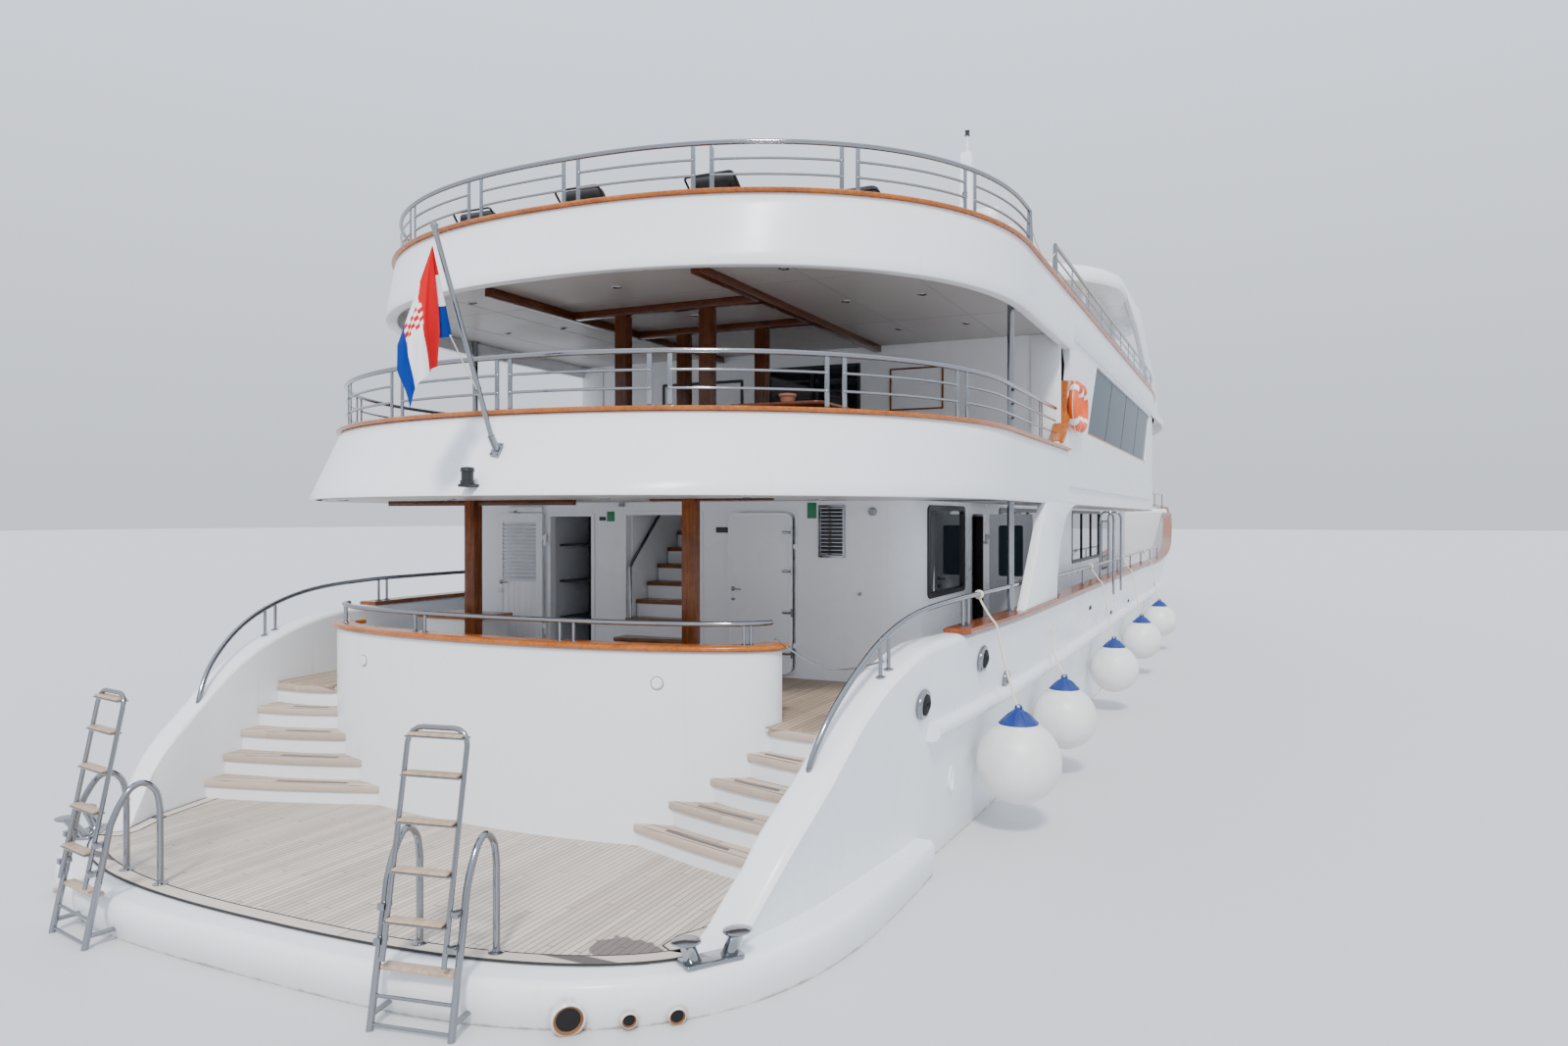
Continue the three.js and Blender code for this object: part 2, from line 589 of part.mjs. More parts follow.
function makePlatformTeak() {
  const aft = roundedEnd(TEAK_EDGE).filter(([x]) => x < TEAK_SIDE[0][0] - 0.1);
  const top = LEVEL.platform + SEAT;
  const starboard = [...TEAK_SIDE].reverse().map(([x, y]) => [x, -y]);
  const sheet = prism([...aft, ...TEAK_SIDE, ...starboard], top, top + TEAK);
  const stairs = [PORT, STARBOARD].map((side) => stairRoom(side));
  const block = prism(sternLine(TRANSOM, COCKPIT_END + 0.1, -0.004), 0.5, 1.6);
  addPiece('platform_teak', cut(sheet, block, ...stairs), MATERIAL.teak);
}

// Ground that a lower stair stands on, a little larger than the stair
function stairRoom(side) {
  const lowest = STAIR_NOSINGS[STAIR_NOSINGS.length - 1];
  const [wing, inner] = [lowest.wing, lowest.inner];
  const points = [[wing[0] - 0.004, 4], [wing[0] - 0.004, wing[1]], [inner[0] - 0.006, inner[1]],
    [-20.0, 1.4], [-19.3, 2.0], [-19.3, 4]];
  return prism(points.map(([x, y]) => [x, side * y]), 0.5, 1.6);
}

function makeStair(side) {
  const forward = COCKPIT_END - SEAT;
  const wingLine = WING_INNER.filter(([x]) => x < forward - 0.05).reverse();
  const steps = STAIR_NOSINGS.map(({ wing, inner }, k) => {
    const along = wingLine.filter(([x]) => x > wing[0] + 0.02).map(([x, y]) => [x, y - SEAT]);
    const points = [
      [wing[0], wingInner(wing[0]) - SEAT], inner, [-20.0, inner[1] - 0.3], [forward, inner[1] - 0.3],
      [forward, wingInner(forward) - SEAT], ...along,
    ];
    const top = LEVEL.mainDeck - k * STAIR_RISE;
    return prism(points.map(([x, y]) => [x, side * y]), LEVEL.platform + SEAT, top);
  });
  const block = prism(sternLine(TRANSOM, COCKPIT_END + 0.1, -SEAT), 0, 3);
  addPiece(`stair_${sideName(side)}`, cut(join(...steps), block), MATERIAL.white);
}

function makeTransom() {
  const block = prism(sternLine(TRANSOM, COCKPIT_END - SEAT), LEVEL.platform + SEAT, LEVEL.mainDeck);
  const wallEnd = TRANSOM.shoulder + 0.02;
  const wall = fasciaBand(TRANSOM, TRANSOM, LEVEL.mainDeck - 0.1, TRANSOM_TOP, wallEnd, TRANSOM_WALL);
  addPiece('transom_block', join(block, wall), MATERIAL.white);
  const [capLow, capTop] = [TRANSOM_TOP + SEAT, TRANSOM_TOP + SEAT + CAP_THICK];
  const outer = { ...TRANSOM, apex: TRANSOM.apex - 0.05, half: TRANSOM.half + 0.05 };
  const cap = fasciaBand(outer, outer, capLow, capTop, TRANSOM.shoulder + 0.06, TRANSOM_WALL + 0.1);
  addPiece('transom_cap', cap, MATERIAL.varnish);
  const line = { ...TRANSOM, apex: TRANSOM.apex + 0.09, half: TRANSOM.half - 0.09 };
  const ends = TRANSOM.shoulder - 0.02;
  const railZ = capTop + 0.2;
  const rail = pipe(roundedEnd(line, 0, 16).map(([x, y]) => [Math.min(x, ends), y, railZ]), RAIL_R);
  const posts = postPairs(line, [-0.86, -0.42, 0, 0.42, 0.86]).map(([x, y]) =>
    post(x, y, capTop + SEAT, railZ, POST_R, 4));
  addPiece('transom_rail', join(rail, ...posts), MATERIAL.steel);
}

// Pairs of posts on a rounded stern line, centred at shares of its half width
function postPairs(form, shares, spacing = 0.16) {
  const line = roundedEnd(form);
  const at = (y) => {
    let i = 0;
    while (i < line.length - 2 && y > line[i + 1][1]) i += 1;
    return lerpTable([[line[i][1], line[i][0]], [line[i + 1][1], line[i + 1][0]]], y);
  };
  return shares.flatMap((share) => [-spacing / 2, spacing / 2].map((d) => {
    const slopeShare = Math.sqrt(Math.max(1 - share * share, 0.08));
    const y = Math.max(Math.min(share * form.half + d * slopeShare, form.half - 1e-3), -form.half + 1e-3);
    return [at(y), y];
  }));
}

function makeMainDeckTeak() {
  const [z0, z1] = [LEVEL.mainDeck + SEAT, LEVEL.mainDeck + TEAK];
  const nosing = STAIR_NOSINGS[0].wing[0];
  const inside = 0.004;
  const edge = hullStations(COCKPIT_END, WELL_END - 0.05).map((x) =>
    [x, deckEdge(x, LEVEL.mainDeck) - inside]);
  const side = [[nosing, wingInner(nosing) - inside], ...edge];
  const outline = [...side, ...[...side].reverse().map(([x, y]) => [x, -y])];
  const cockpitFloor = prism(sternLine(TRANSOM, -19.8, 0.1), z0, z1);
  const sheet = join(prism(outline, z0, z1), cockpitFloor);
  const house = prism(housePlan(-0.003), 1, 3);
  addPiece('main_deck_teak', cut(sheet, transomWallRoom(), house), MATERIAL.teak);
}

// Space that the transom wall takes out of the deck planking
function transomWallRoom() {
  const outer = prism(sternLine({ ...TRANSOM, apex: TRANSOM.apex - 0.5, half: TRANSOM.half + 0.004 },
    TRANSOM.shoulder + 0.024), 1.5, 2.6);
  const inner = prism(sternLine({ ...TRANSOM, apex: TRANSOM.apex + TRANSOM_WALL + 0.004,
    half: TRANSOM.half - TRANSOM_WALL - 0.004 }, TRANSOM.shoulder + 0.2), 1.4, 2.7);
  return cut(outer, inner);
}

const capTopAt = (x) => hullColumn('top', x) + SEAT + CAP_THICK;

function makeBulwarkCap(side) {
  const stations = hullStations(-18.5, 20.0);
  const rings = stations.map((x) => {
    const top = hullColumn('top', x) + SEAT;
    const outer = hullColumn('rail', x) + 0.06;
    const inner = outer - 0.3;
    const place = (y, z) => [bowShift(x, hullColumn('top', x)), side * y, z];
    const high = top + CAP_THICK;
    return [place(outer, top), place(outer, high), place(inner, high), place(inner, top)];
  });
  const room = prism(upperSlabPlan(-0.02), LEVEL.upperSlabLow - 0.02, 7);
  addPiece(`bulwark_cap_${sideName(side)}`, cut(loft(rings, [1, 2]), room), MATERIAL.varnish);
}

// Main deckhouse
function housePlan(inset) {
  const { aft, half, corner, foreShoulder, foreApex } = HOUSE;
  const h = half - inset;
  const back = aft + inset;
  const r = corner - inset;
  const arc = [0, 0.25, 0.5, 0.75, 1].map((t) => [
    back + r - r * Math.cos((Math.PI / 2) * (1 - t)), h - r + r * Math.sin((Math.PI / 2) * (1 - t)),
  ]);
  const front = roundedEnd({ apex: foreApex, shoulder: foreShoulder, half, full: 2.6 }, inset, 20);
  return [...arc, ...[...arc].reverse().map(([x, y]) => [x, -y]), ...front];
}

function doorRoom(face, low, high, top, sill = DOOR_SILL) {
  return box(face - 0.3, face + 0.3, low, high, LEVEL.mainDeck + sill, top);
}

// Two ears on the wall that carry a door's knuckles. Axis and wall face are in plan.
function hingeEars(axisX, axisY, wallX, wallY, heights) {
  const ears = heights.map((z) => {
    const [x0, x1] = [Math.min(axisX, wallX) - KNUCKLE * 0.9, Math.max(axisX, wallX) + KNUCKLE * 0.9];
    const [y0, y1] = [Math.min(axisY, wallY) - KNUCKLE * 0.9, Math.max(axisY, wallY) + KNUCKLE * 0.9];
    return join(post(axisX, axisY, z - 0.06, z, KNUCKLE, 10), box(x0, x1, y0, y1, z - 0.05, z - 0.01));
  });
  return join(...ears);
}

const HINGE_HEIGHTS = [LEVEL.mainDeck + 0.45, LEVEL.mainDeck + 1.65];
const SIDE_DOOR_AXIS_X = SIDE_DOOR.aft + SIDE_DOOR.width + 0.02;

// Doors hang on axes that stand off the wall. Each row: the wall's outward direction in plan,
// the axis, and the direction from the axis to the door's free edge.
const DOOR_TABLE = {
  steel_door: { out: [-1, 0], axis: [HOUSE.aft - DOOR_STANDOFF, STEEL_DOOR.low - 0.02], run: [0, 1],
    width: 0.9, height: STEEL_DOOR.height, swung: 0 },
  louvred_door: { out: [-1, 0], axis: [HOUSE.aft - DOOR_STANDOFF, LOUVRED_DOOR.high + 0.04], run: [0, -1],
    width: 0.74, height: LOUVRED_DOOR.height, swung: -172 },
  side_door_port: { out: [0, 1], axis: [SIDE_DOOR_AXIS_X, HOUSE.half + DOOR_STANDOFF], run: [-1, 0],
    width: 0.64, height: SIDE_DOOR.height, swung: -95 },
  side_door_starboard: { out: [0, -1], axis: [SIDE_DOOR_AXIS_X, -HOUSE.half - DOOR_STANDOFF], run: [-1, 0],
    width: 0.64, height: SIDE_DOOR.height, swung: 95 },
};

function makeDoor(name) {
  const { out, axis, run, width, height, swung } = DOOR_TABLE[name];
  const z0 = LEVEL.mainDeck + DOOR_SILL - 0.02;
  const local = new THREE.Matrix4().makeBasis(
    new THREE.Vector3(run[0], run[1], 0), new THREE.Vector3(out[0], out[1], 0), new THREE.Vector3(0, 0, 1));
  const mirrored = local.determinant() < 0;
  const leaf = box(0.012, width, -DOOR_THICK / 2, DOOR_THICK / 2, z0, z0 + height);
  const lug = KNUCKLE * 0.7;
  const ears = HINGE_HEIGHTS.map((z) => join(
    post(0, 0, z + SEAT, z + 0.09, KNUCKLE, 10), box(0, 0.06, -lug, lug, z + 0.015, z + 0.075)));
  const notches = HINGE_HEIGHTS.map((z) => box(-0.1, 0.035, -0.1, 0.1, z - 0.09, z + 0.0149));
  const pane = box(0.17, width - 0.13, -0.2, 0.2, z0 + height * 0.55, z0 + height - 0.16);
  const panel = name === 'steel_door' ? [] : [pane];
  const shape = join(cut(leaf, ...notches, ...panel), ...ears);
  const geometry = geometryOf(shape);
  if (mirrored) {
    geometry.applyMatrix4(new THREE.Matrix4().makeScale(1, -1, 1));
    local.multiply(new THREE.Matrix4().makeScale(1, -1, 1));
  }
  geometry.applyMatrix4(local);
  geometry.rotateZ(THREE.MathUtils.degToRad(swung));
  geometry.translate(axis[0], axis[1], 0);
  addPiece(name, solidOf(repairWinding(mergedOnly(geometry))), MATERIAL.white);
}

function makeMainHouse() {
  const [z0, z1] = [LEVEL.mainDeck + SEAT, LEVEL.upperSlabLow - SEAT];
  const shell = cut(prism(housePlan(0), z0, z1), prism(housePlan(WALL), z0 - 1, z1 + 1));
  const rooms = [
    doorRoom(HOUSE.aft, STEEL_DOOR.low, STEEL_DOOR.high - 0.04, LEVEL.mainDeck + 2.0),
    doorRoom(HOUSE.aft, LOUVRED_DOOR.low, LOUVRED_DOOR.high, LEVEL.mainDeck + 2.0),
    doorRoom(HOUSE.aft, STAIR_DOOR.low, STAIR_DOOR.high, STAIR_DOOR.top, -0.5),
  ];
  for (const side of [PORT, STARBOARD]) {
    const [y0, y1] = [side * (HOUSE.half - 0.3), side * (HOUSE.half + 0.3)];
    const [low, high] = [Math.min(y0, y1), Math.max(y0, y1)];
    for (const [a, b] of SIDE_WINDOWS) rooms.push(box(a, b, low, high, ...SIDE_WINDOW_Z));
    const sill = LEVEL.mainDeck + DOOR_SILL;
    rooms.push(box(SIDE_DOOR.aft, SIDE_DOOR.aft + SIDE_DOOR.width, low, high, sill, LEVEL.mainDeck + 2.0));
  }
  const ears = Object.values(DOOR_TABLE).map(({ out, axis }) => {
    const wall = out[0] ? [HOUSE.aft + 0.02, axis[1]] : [axis[0], Math.sign(axis[1]) * (HOUSE.half - 0.02)];
    return hingeEars(axis[0], axis[1], wall[0], wall[1], HINGE_HEIGHTS);
  });
  addPiece('main_house', join(cut(shell, ...rooms), ...ears), MATERIAL.white);
}

// One band of tinted glass inside the walls, behind all the windows of a house
function makeGlassBand(name, outerLoop, innerLoop, z0, z1, gaps) {
  const band = cut(prism(outerLoop, z0, z1), prism(innerLoop, z0 - 1, z1 + 1), ...gaps);
  addPiece(name, band, MATERIAL.glass);
}

function makeMainHouseGlass() {
  const inset = WALL + SEAT;
  const aftGap = box(-18, -15.32, -2.9, 2.9, 0, 5);
  const doorGaps = [[3, 3.5], [-3.5, -3]].map(([y0, y1]) =>
    box(SIDE_DOOR.aft - 0.02, SIDE_DOOR_AXIS_X, y0, y1, 0, 3.72));
  const [z0, z1] = [SIDE_WINDOW_Z[0] - 0.08, LEVEL.upperSlabLow - SEAT];
  const [outer, inner] = [housePlan(inset), housePlan(inset + GLASS)];
  makeGlassBand('main_house_glass', outer, inner, z0, z1, [aftGap, ...doorGaps]);
}

// Stair from the aft deck through its doorway up to the lounge. Its lowest treads stand before the wall.
const INNER_STAIR = { start: -18.175, going: 0.265, count: 11, y0: -0.5, y1: 0.52 };
const STAIRWELL = { x0: -17.4, x1: -15.52, y0: -0.53, y1: 0.53 };

function makeInnerStair() {
  const { start, going, count, y0, y1 } = INNER_STAIR;
  const rise = (LEVEL.upperDeck - LEVEL.mainDeck) / count;
  const foot = LEVEL.mainDeck + TEAK + SEAT;
  const profile = [[start, foot]];
  for (let i = 0; i < count - 1; i += 1) {
    profile.push([start + going * i, LEVEL.mainDeck + rise * (i + 1)]);
    profile.push([start + going * (i + 1), LEVEL.mainDeck + rise * (i + 1)]);
  }
  profile.push([start + going * (count - 1), LEVEL.mainDeck + rise * (count - 3)]);
  profile.push([start + going * 2, foot]);
  addPiece('inner_stair', sidePrism(profile, y0, y1), MATERIAL.white);
}

function makeAftPost(side) {
  const [x, y, half] = [AFT_POST.x, side * AFT_POST.y, AFT_POST.half];
  const [z0, z1] = [LEVEL.mainDeck + TEAK + SEAT, LEVEL.upperSlabLow - SEAT];
  const shaft = box(x - half, x + half, y - half, y + half, z0, z1);
  addPiece(`aft_post_${sideName(side)}`, shaft, MATERIAL.varnish);
}

// Upper deck with its raked fascia and the swept side webs
function makeUpperDeck() {
  const slab = loft([LEVEL.upperSlabLow, LEVEL.upperDeck].map((z) =>
    upperSlabPlan(z === LEVEL.upperDeck ? 0.03 : 0.02, z).map(([x, y]) => [x, y, z])), [0, 1]);
  const [low, high] = [LEVEL.upperSlabLow, LEVEL.upperFasciaTop];
  const band = fasciaBand(UPPER_LOW, UPPER_TOP, low, high, UPPER_HOUSE.aftLow, FASCIA);
  const webs = [PORT, STARBOARD].map((side) => sidePrism(WEB, side * 4.24, side * 4.355));
  const well = box(STAIRWELL.x0, STAIRWELL.x1, STAIRWELL.y0, STAIRWELL.y1, 3, 5);
  addPiece('upper_deck', cut(join(slab, band, ...webs), well), MATERIAL.white);
}

const CAP_OUT = 0.04;
const CAP_IN = 0.22;

function capBand(top, z, xEnd) {
  const outer = { ...top, apex: top.apex - 0.05, half: top.half + CAP_OUT };
  return fasciaBand(outer, outer, z + SEAT, z + SEAT + 0.04, xEnd, CAP_OUT + CAP_IN);
}

// Half width of the sun deck's fore part
function sunFrontHalf(x, inset) {
  const { apex, shoulder, half, full } = SUN_FRONT;
  const share = Math.max(x - shoulder, 0) / (apex - shoulder);
  return half * (1 - share ** full) ** (1 / full) - inset;
}

// Band along both sides of the sun deck, from its stern part to where it has turned inward
function sunFrontBand(inset, innerInset, z0, z1) {
  const outer = prism(plan(SUN_LOW, SUN_FRONT, inset), z0, z1);
  const ring = cut(outer, prism(plan(SUN_LOW, SUN_FRONT, innerInset), z0 - 1, z1 + 1));
  const room = box(FASCIA_END - 0.1, SUN_FRONT_END, -6, 6, z0 - 1, z1 + 1);
  return ring.intersect(room);
}

// Stern rail: a top tube, two bars and pairs of posts standing on the cap
function railLines(form, xEnd, zCap, zTop) {
  const line = { ...form, apex: form.apex + 0.07, half: form.half - 0.07 };
  const path = [[xEnd, -line.half], ...roundedEnd(line, 0, 24), [xEnd, line.half]];
  const rise = zTop - zCap;
  const bars = [[zTop, RAIL_R], [zCap + rise * 0.66, BAR_R], [zCap + rise * 0.33, BAR_R]];
  return { line, tubes: bars.map(([z, r]) => pipe(path.map(([x, y]) => [x, y, z]), r)) };
}

function makeUpperRail() {
  const zCap = LEVEL.upperFasciaTop + SEAT + 0.04;
  const { line, tubes } = railLines(UPPER_TOP, UPPER_HOUSE.aftHigh + 0.15, zCap, UPPER_RAIL_TOP);
  const stern = postPairs(line, [-0.93, -0.72, -0.4, 0, 0.4, 0.72, 0.93]);
  const sides = [-16.9, -14.6].flatMap((x) => [[x, line.half], [x, -line.half]]);
  const posts = [...stern, ...sides].map(([x, y]) => post(x, y, zCap + SEAT, UPPER_RAIL_TOP, POST_R, 4));
  const pillars = [PORT, STARBOARD].map((side) =>
    post(PILLAR.x, side * PILLAR.y, zCap + SEAT, LEVEL.sunSlabLow - SEAT, PILLAR.r, 10));
  const clips = [PORT, STARBOARD].map((side) =>
    pipe([PILLAR.y, line.half].map((y) => [PILLAR.x, side * y, UPPER_RAIL_TOP]), BAR_R, 4));
  addPiece('upper_rail', join(...tubes, ...posts, ...pillars, ...clips), MATERIAL.steel);
}

function makeSunRails() {
  const zCap = LEVEL.sunFasciaTop + SEAT + 0.04;
  const { line, tubes } = railLines(SUN_TOP, -15.8, zCap, SUN_RAIL_TOP);
  const ends = [[-15.8, line.half], [-15.8, -line.half]];
  const stern = postPairs(line, [-0.93, -0.72, -0.4, 0, 0.4, 0.72, 0.93]);
  const posts = [...stern, ...ends].map(([x, y]) => post(x, y, zCap + SEAT, SUN_RAIL_TOP, POST_R, 4));
  addPiece('sun_rail_aft', join(...tubes, ...posts), MATERIAL.steel);
  const rise = SUN_RAIL_TOP - zCap;
  for (const side of [PORT, STARBOARD]) {
    const at = (x) => [x, side * sunFrontHalf(x, 0.07)];
    const bars = [[1, RAIL_R], [0.66, BAR_R], [0.33, BAR_R]].map(([share, r]) =>
      pipe(SUN_RAIL_TURNS.map((x) => [...at(x), zCap + rise * share]), r));
    const stands = SUN_RAIL_POSTS.map((x) => post(...at(x), zCap + SEAT, SUN_RAIL_TOP, POST_R, 4));
    addPiece(`sun_rail_${sideName(side)}`, join(...bars, ...stands), MATERIAL.steel);
  }
}

// Handrail over the stern wing, its posts, and the pillar under the upper deck
function makeWingRail(side) {
  const path = [
    [-21.3, 3.68, 1.66], [-21.1, 3.76, 2.0], [-20.7, 3.86, 2.34], [-20.2, 3.93, 2.58], [-19.5, 4.01, 2.74],
    [-18.5, 4.12, 2.8], [-17.4, 4.18, 2.81], [-16.28, 4.2, 2.81], [-15.5, 4.19, 2.81],
  ].map(([x, y, z]) => [x, side * y, z]);
  const { x: fx, z: fz, r: fr } = AFT_FENDER;
  const hung = side === STARBOARD ? [fender(fx, fz, fr, fx, -4.16, 2.8)] : [];
  const foot = pipe([path[0], [-21.3, side * 3.68, 1.5]], RAIL_R);
  const stands = [[-18.3, 4.14], [-18.14, 4.155]].map(([x, y]) =>
    post(x, side * y, capTopAt(x) + SEAT, 2.8, POST_R, 4));
  const wingPosts = [[-20.28, 3.92], [-20.12, 3.94]].map(([x, y]) => post(x, side * y, 2.0, 2.58, POST_R, 4));
  const [low, high] = [capTopAt(PILLAR.x) + SEAT, LEVEL.upperSlabLow - SEAT];
  const pillar = post(PILLAR.x, side * PILLAR.y, low, high, PILLAR.r, 10);
  const room = hullLoft(SEAT);
  const whole = cut(join(pipe(path, RAIL_R), foot, ...stands, ...wingPosts, pillar, ...hung), room);
  addPiece(`wing_rail_${sideName(side)}`, whole, MATERIAL.steel);
}

// Low rail on the bulwark cap with the two boarding hoops, and the fenders hung from it on the quay side
function makeSideRail(side) {
  const zCap = LEVEL.bulwarkTop + SEAT + CAP_THICK;
  const zRail = 2.78;
  const y = side * 4.24;
  const rail = pipe([[-13.3, y, zRail], [3.6, y, zRail]], RAIL_R);
  const stands = [-13.2, -10.8, -6.0, -3.6, -1.2, 1.2, 3.5].map((x) =>
    post(x, y, zCap + SEAT, zRail, POST_R, 4));
  const hoops = [-8.65, -7.5].map((x) => pipe(
    [[x, y, zCap + SEAT], [x, y, 3.66], [x, side * 4.3, 3.76], [x, side * 4.42, 3.76], [x, side * 4.48, 3.66],
      [x, side * 4.48, 2.2]], POST_R));
  const fenders = side === STARBOARD ? FENDERS.map(([x, z, r]) => fender(x, z, r, x, y, zRail)) : [];
  addPiece(`side_rail_${sideName(side)}`, join(rail, ...stands, ...hoops, ...fenders), MATERIAL.steel);
}

// Fenders on the quay side: x, height of the centre, radius
const FENDERS = [[-9.9, 0.98, 0.42], [-5.2, 0.98, 0.42], [-0.6, 0.98, 0.42]];
const AFT_FENDER = { x: -17.7, z: 1.0, r: 0.46 };
const EYE_FENDER = { x: -14.95, z: 1.0, r: 0.42, eye: [-14.2, 2.07] };

// Ball on a lanyard that drops over the cap from a rail
function fender(x, z, r, railX, railY, railZ) {
  const y = -(topsideY(x, z + r * 0.5) + r + 0.01);
  const edge = -(hullColumn('rail', x) + 0.1);
  const ball = new THREE.SphereGeometry(r, 11, 7);
  ball.rotateX(Math.PI / 2);
  ball.translate(x, y, z);
  const round = solidOf(repairWinding(mergedOnly(ball)));
  const line = pipe([[x, y, z + r - 0.03], [x, edge, 2.3], [x, edge, 2.6], [railX, railY, railZ]], 0.014);
  return join(round, line);
}

// The fender that hangs from an eye in the hull, under the swept web
function makeEyeFender() {
  const { x, z, r, eye } = EYE_FENDER;
  const y = -(topsideY(x, z + r * 0.5) + r + 0.01);
  const ball = new THREE.SphereGeometry(r, 11, 7);
  ball.rotateX(Math.PI / 2);
  ball.translate(x, y, z);
  const eyeY = -topsideY(eye[0], eye[1]);
  const path = [[x, y, z + r - 0.03], [eye[0] - 0.02, eyeY - 0.02, eye[1]], [eye[0], eyeY + 0.05, eye[1]]];
  const line = pipe(path, 0.014);
  const whole = cut(join(solidOf(repairWinding(mergedOnly(ball))), line), hullLoft(SEAT));
  addPiece('fender_second', whole, MATERIAL.fender);
}

// Upper house: side shells with the big slanted windows, a bulkhead and a round front
function upperHousePlan(inset, aft) {
  const { foreApex, foreShoulder, half } = UPPER_HOUSE;
  const fore = { apex: foreApex, shoulder: foreShoulder, half, full: 2.3 };
  return [[aft, half - inset], [aft, -half + inset], ...roundedEnd(fore, inset, FORE_STEPS)];
}

function makeUpperHouse() {
  const [z0, z1] = [LEVEL.upperDeck + SEAT, LEVEL.sunSlabLow - SEAT];
  const inside = prism(upperHousePlan(WALL, -14.2), z0 - 1, z1 + 1);
  const shell = cut(prism(upperHousePlan(0, UPPER_HOUSE.aftHigh), z0, z1), inside);
  const bulkhead = box(UPPER_HOUSE.bulkhead, UPPER_HOUSE.bulkhead + WALL, -4.3, 4.3, z0, z1);
  const lowCut = UPPER_HOUSE.aftLow + SEAT;
  const highCut = FASCIA_END + SEAT;
  const aftCut = [[-14.5, 3], [lowCut, 3], [lowCut, LOUNGE_EDGE[0][1]], ...LOUNGE_EDGE,
    [highCut, LEVEL.sunFasciaLow - 0.001], [highCut, 7], [-14.5, 7]];
  const cutSides = [PORT, STARBOARD].map((side) => sidePrism(aftCut, side * 4.1, side * 4.6));
  const windows = [UPPER_WINDOW, UPPER_WINDOW_FORE].map((outline) => sidePrism(outline, -5, 5));
  const door = box(-13.6, -13.0, LOUNGE_DOOR.low, LOUNGE_DOOR.high, LOUNGE_DOOR.sill, LOUNGE_DOOR.top);
  const frontWindows = [-2.1, -0.7, 0.7, 2.1].map((y) => box(6.2, 12, y - 0.55, y + 0.55, 5.15, 6.1));
  const sides = cut(shell, ...cutSides);
  const closed = join(sides, cut(bulkhead, ...cutSides));
  addPiece('upper_house', cut(closed, ...windows, door, ...frontWindows), MATERIAL.white);
}

function makeUpperGlass() {
  const inset = WALL + SEAT;
  makeGlassBand('upper_house_glass', upperHousePlan(inset, -12.0), upperHousePlan(inset + GLASS, -12.4),
    4.95, LEVEL.sunSlabLow - SEAT, []);
}

const LOUNGE = {
  aft: -19.2, beamY: 1.42, beamWide: 0.12, beamDeep: 0.1, postX: [-17.5, -15.92], postY: 0.63, post: 0.17,
};

function makeLoungeFrame() {
  const [z0, z1] = [LEVEL.upperDeck + SEAT, LEVEL.sunSlabLow - SEAT];
  const deep = z1 - LOUNGE.beamDeep;
  const half = LOUNGE.beamWide / 2;
  const beams = [
    ...[1, -1].map((s) => box(LOUNGE.aft, UPPER_HOUSE.bulkhead - SEAT,
      s * LOUNGE.beamY - half, s * LOUNGE.beamY + half, deep, z1)),
    ...LOUNGE.postX.map((x) => box(x - half, x + half, -LOUNGE.beamY, LOUNGE.beamY, deep, z1)),
  ];
  const leg = LOUNGE.post / 2;
  const posts = LOUNGE.postX.flatMap((x) => [1, -1].map((s) =>
    box(x - leg, x + leg, s * LOUNGE.postY - leg, s * LOUNGE.postY + leg, z0, z1)));
  const [wx, wy] = [[STAIRWELL.x0 - 0.01, STAIRWELL.x1 + 0.01], [STAIRWELL.y0 - 0.01, STAIRWELL.y1 + 0.01]];
  const clear = box(...wx, ...wy, 4, 4.2);
  addPiece('lounge_frame', cut(join(...beams, ...posts), clear), MATERIAL.varnish);
}

function makeSunDeck() {
  const aft = { ...SUN_LOW, apex: SUN_LOW.apex + 0.06 };
  const slab = loft([[LEVEL.sunSlabLow, 0.02], [LEVEL.sunDeck, 0.05]].map(([z, inset]) =>
    plan(aft, SUN_SLAB_FORE, inset).map(([x, y]) => [x, y, z])), [0, 1]);
  const band = fasciaBand(SUN_LOW, SUN_TOP, LEVEL.sunFasciaLow, LEVEL.sunFasciaTop, FASCIA_END, FASCIA);
  const sides = sunFrontBand(0, FASCIA, LEVEL.sunSlabLow, LEVEL.sunFasciaTop);
  addPiece('sun_deck', join(slab, band, sides), MATERIAL.white);
}

function makeSunCap() {
  const z = LEVEL.sunFasciaTop;
  const sides = sunFrontBand(-CAP_OUT, CAP_IN, z + SEAT, z + SEAT + 0.04);
  addPiece('sun_cap', join(capBand(SUN_TOP, z, FASCIA_END), sides), MATERIAL.varnish);
}

// Wheelhouse with a raked front under the hardtop
function rakedShell(inset, z0, z1) {
  const { aft, half, foreShoulder, foreLow, rake } = WHEELHOUSE;
  const front = roundedEnd({ apex: foreLow, shoulder: foreShoulder, half, full: 2.6 }, inset, 16);
  const outline = [[aft - 4, half - inset], [aft - 4, -half + inset], ...front];
  const leaning = loft([z0, z1].map((z) => outline.map(([x, y]) =>
    [x - rake * (z - LEVEL.sunDeck), y, z])), [0, 1]);
  return cut(leaning, box(aft - 12, aft + inset, -5, 5, z0 - 1, z1 + 1));
}

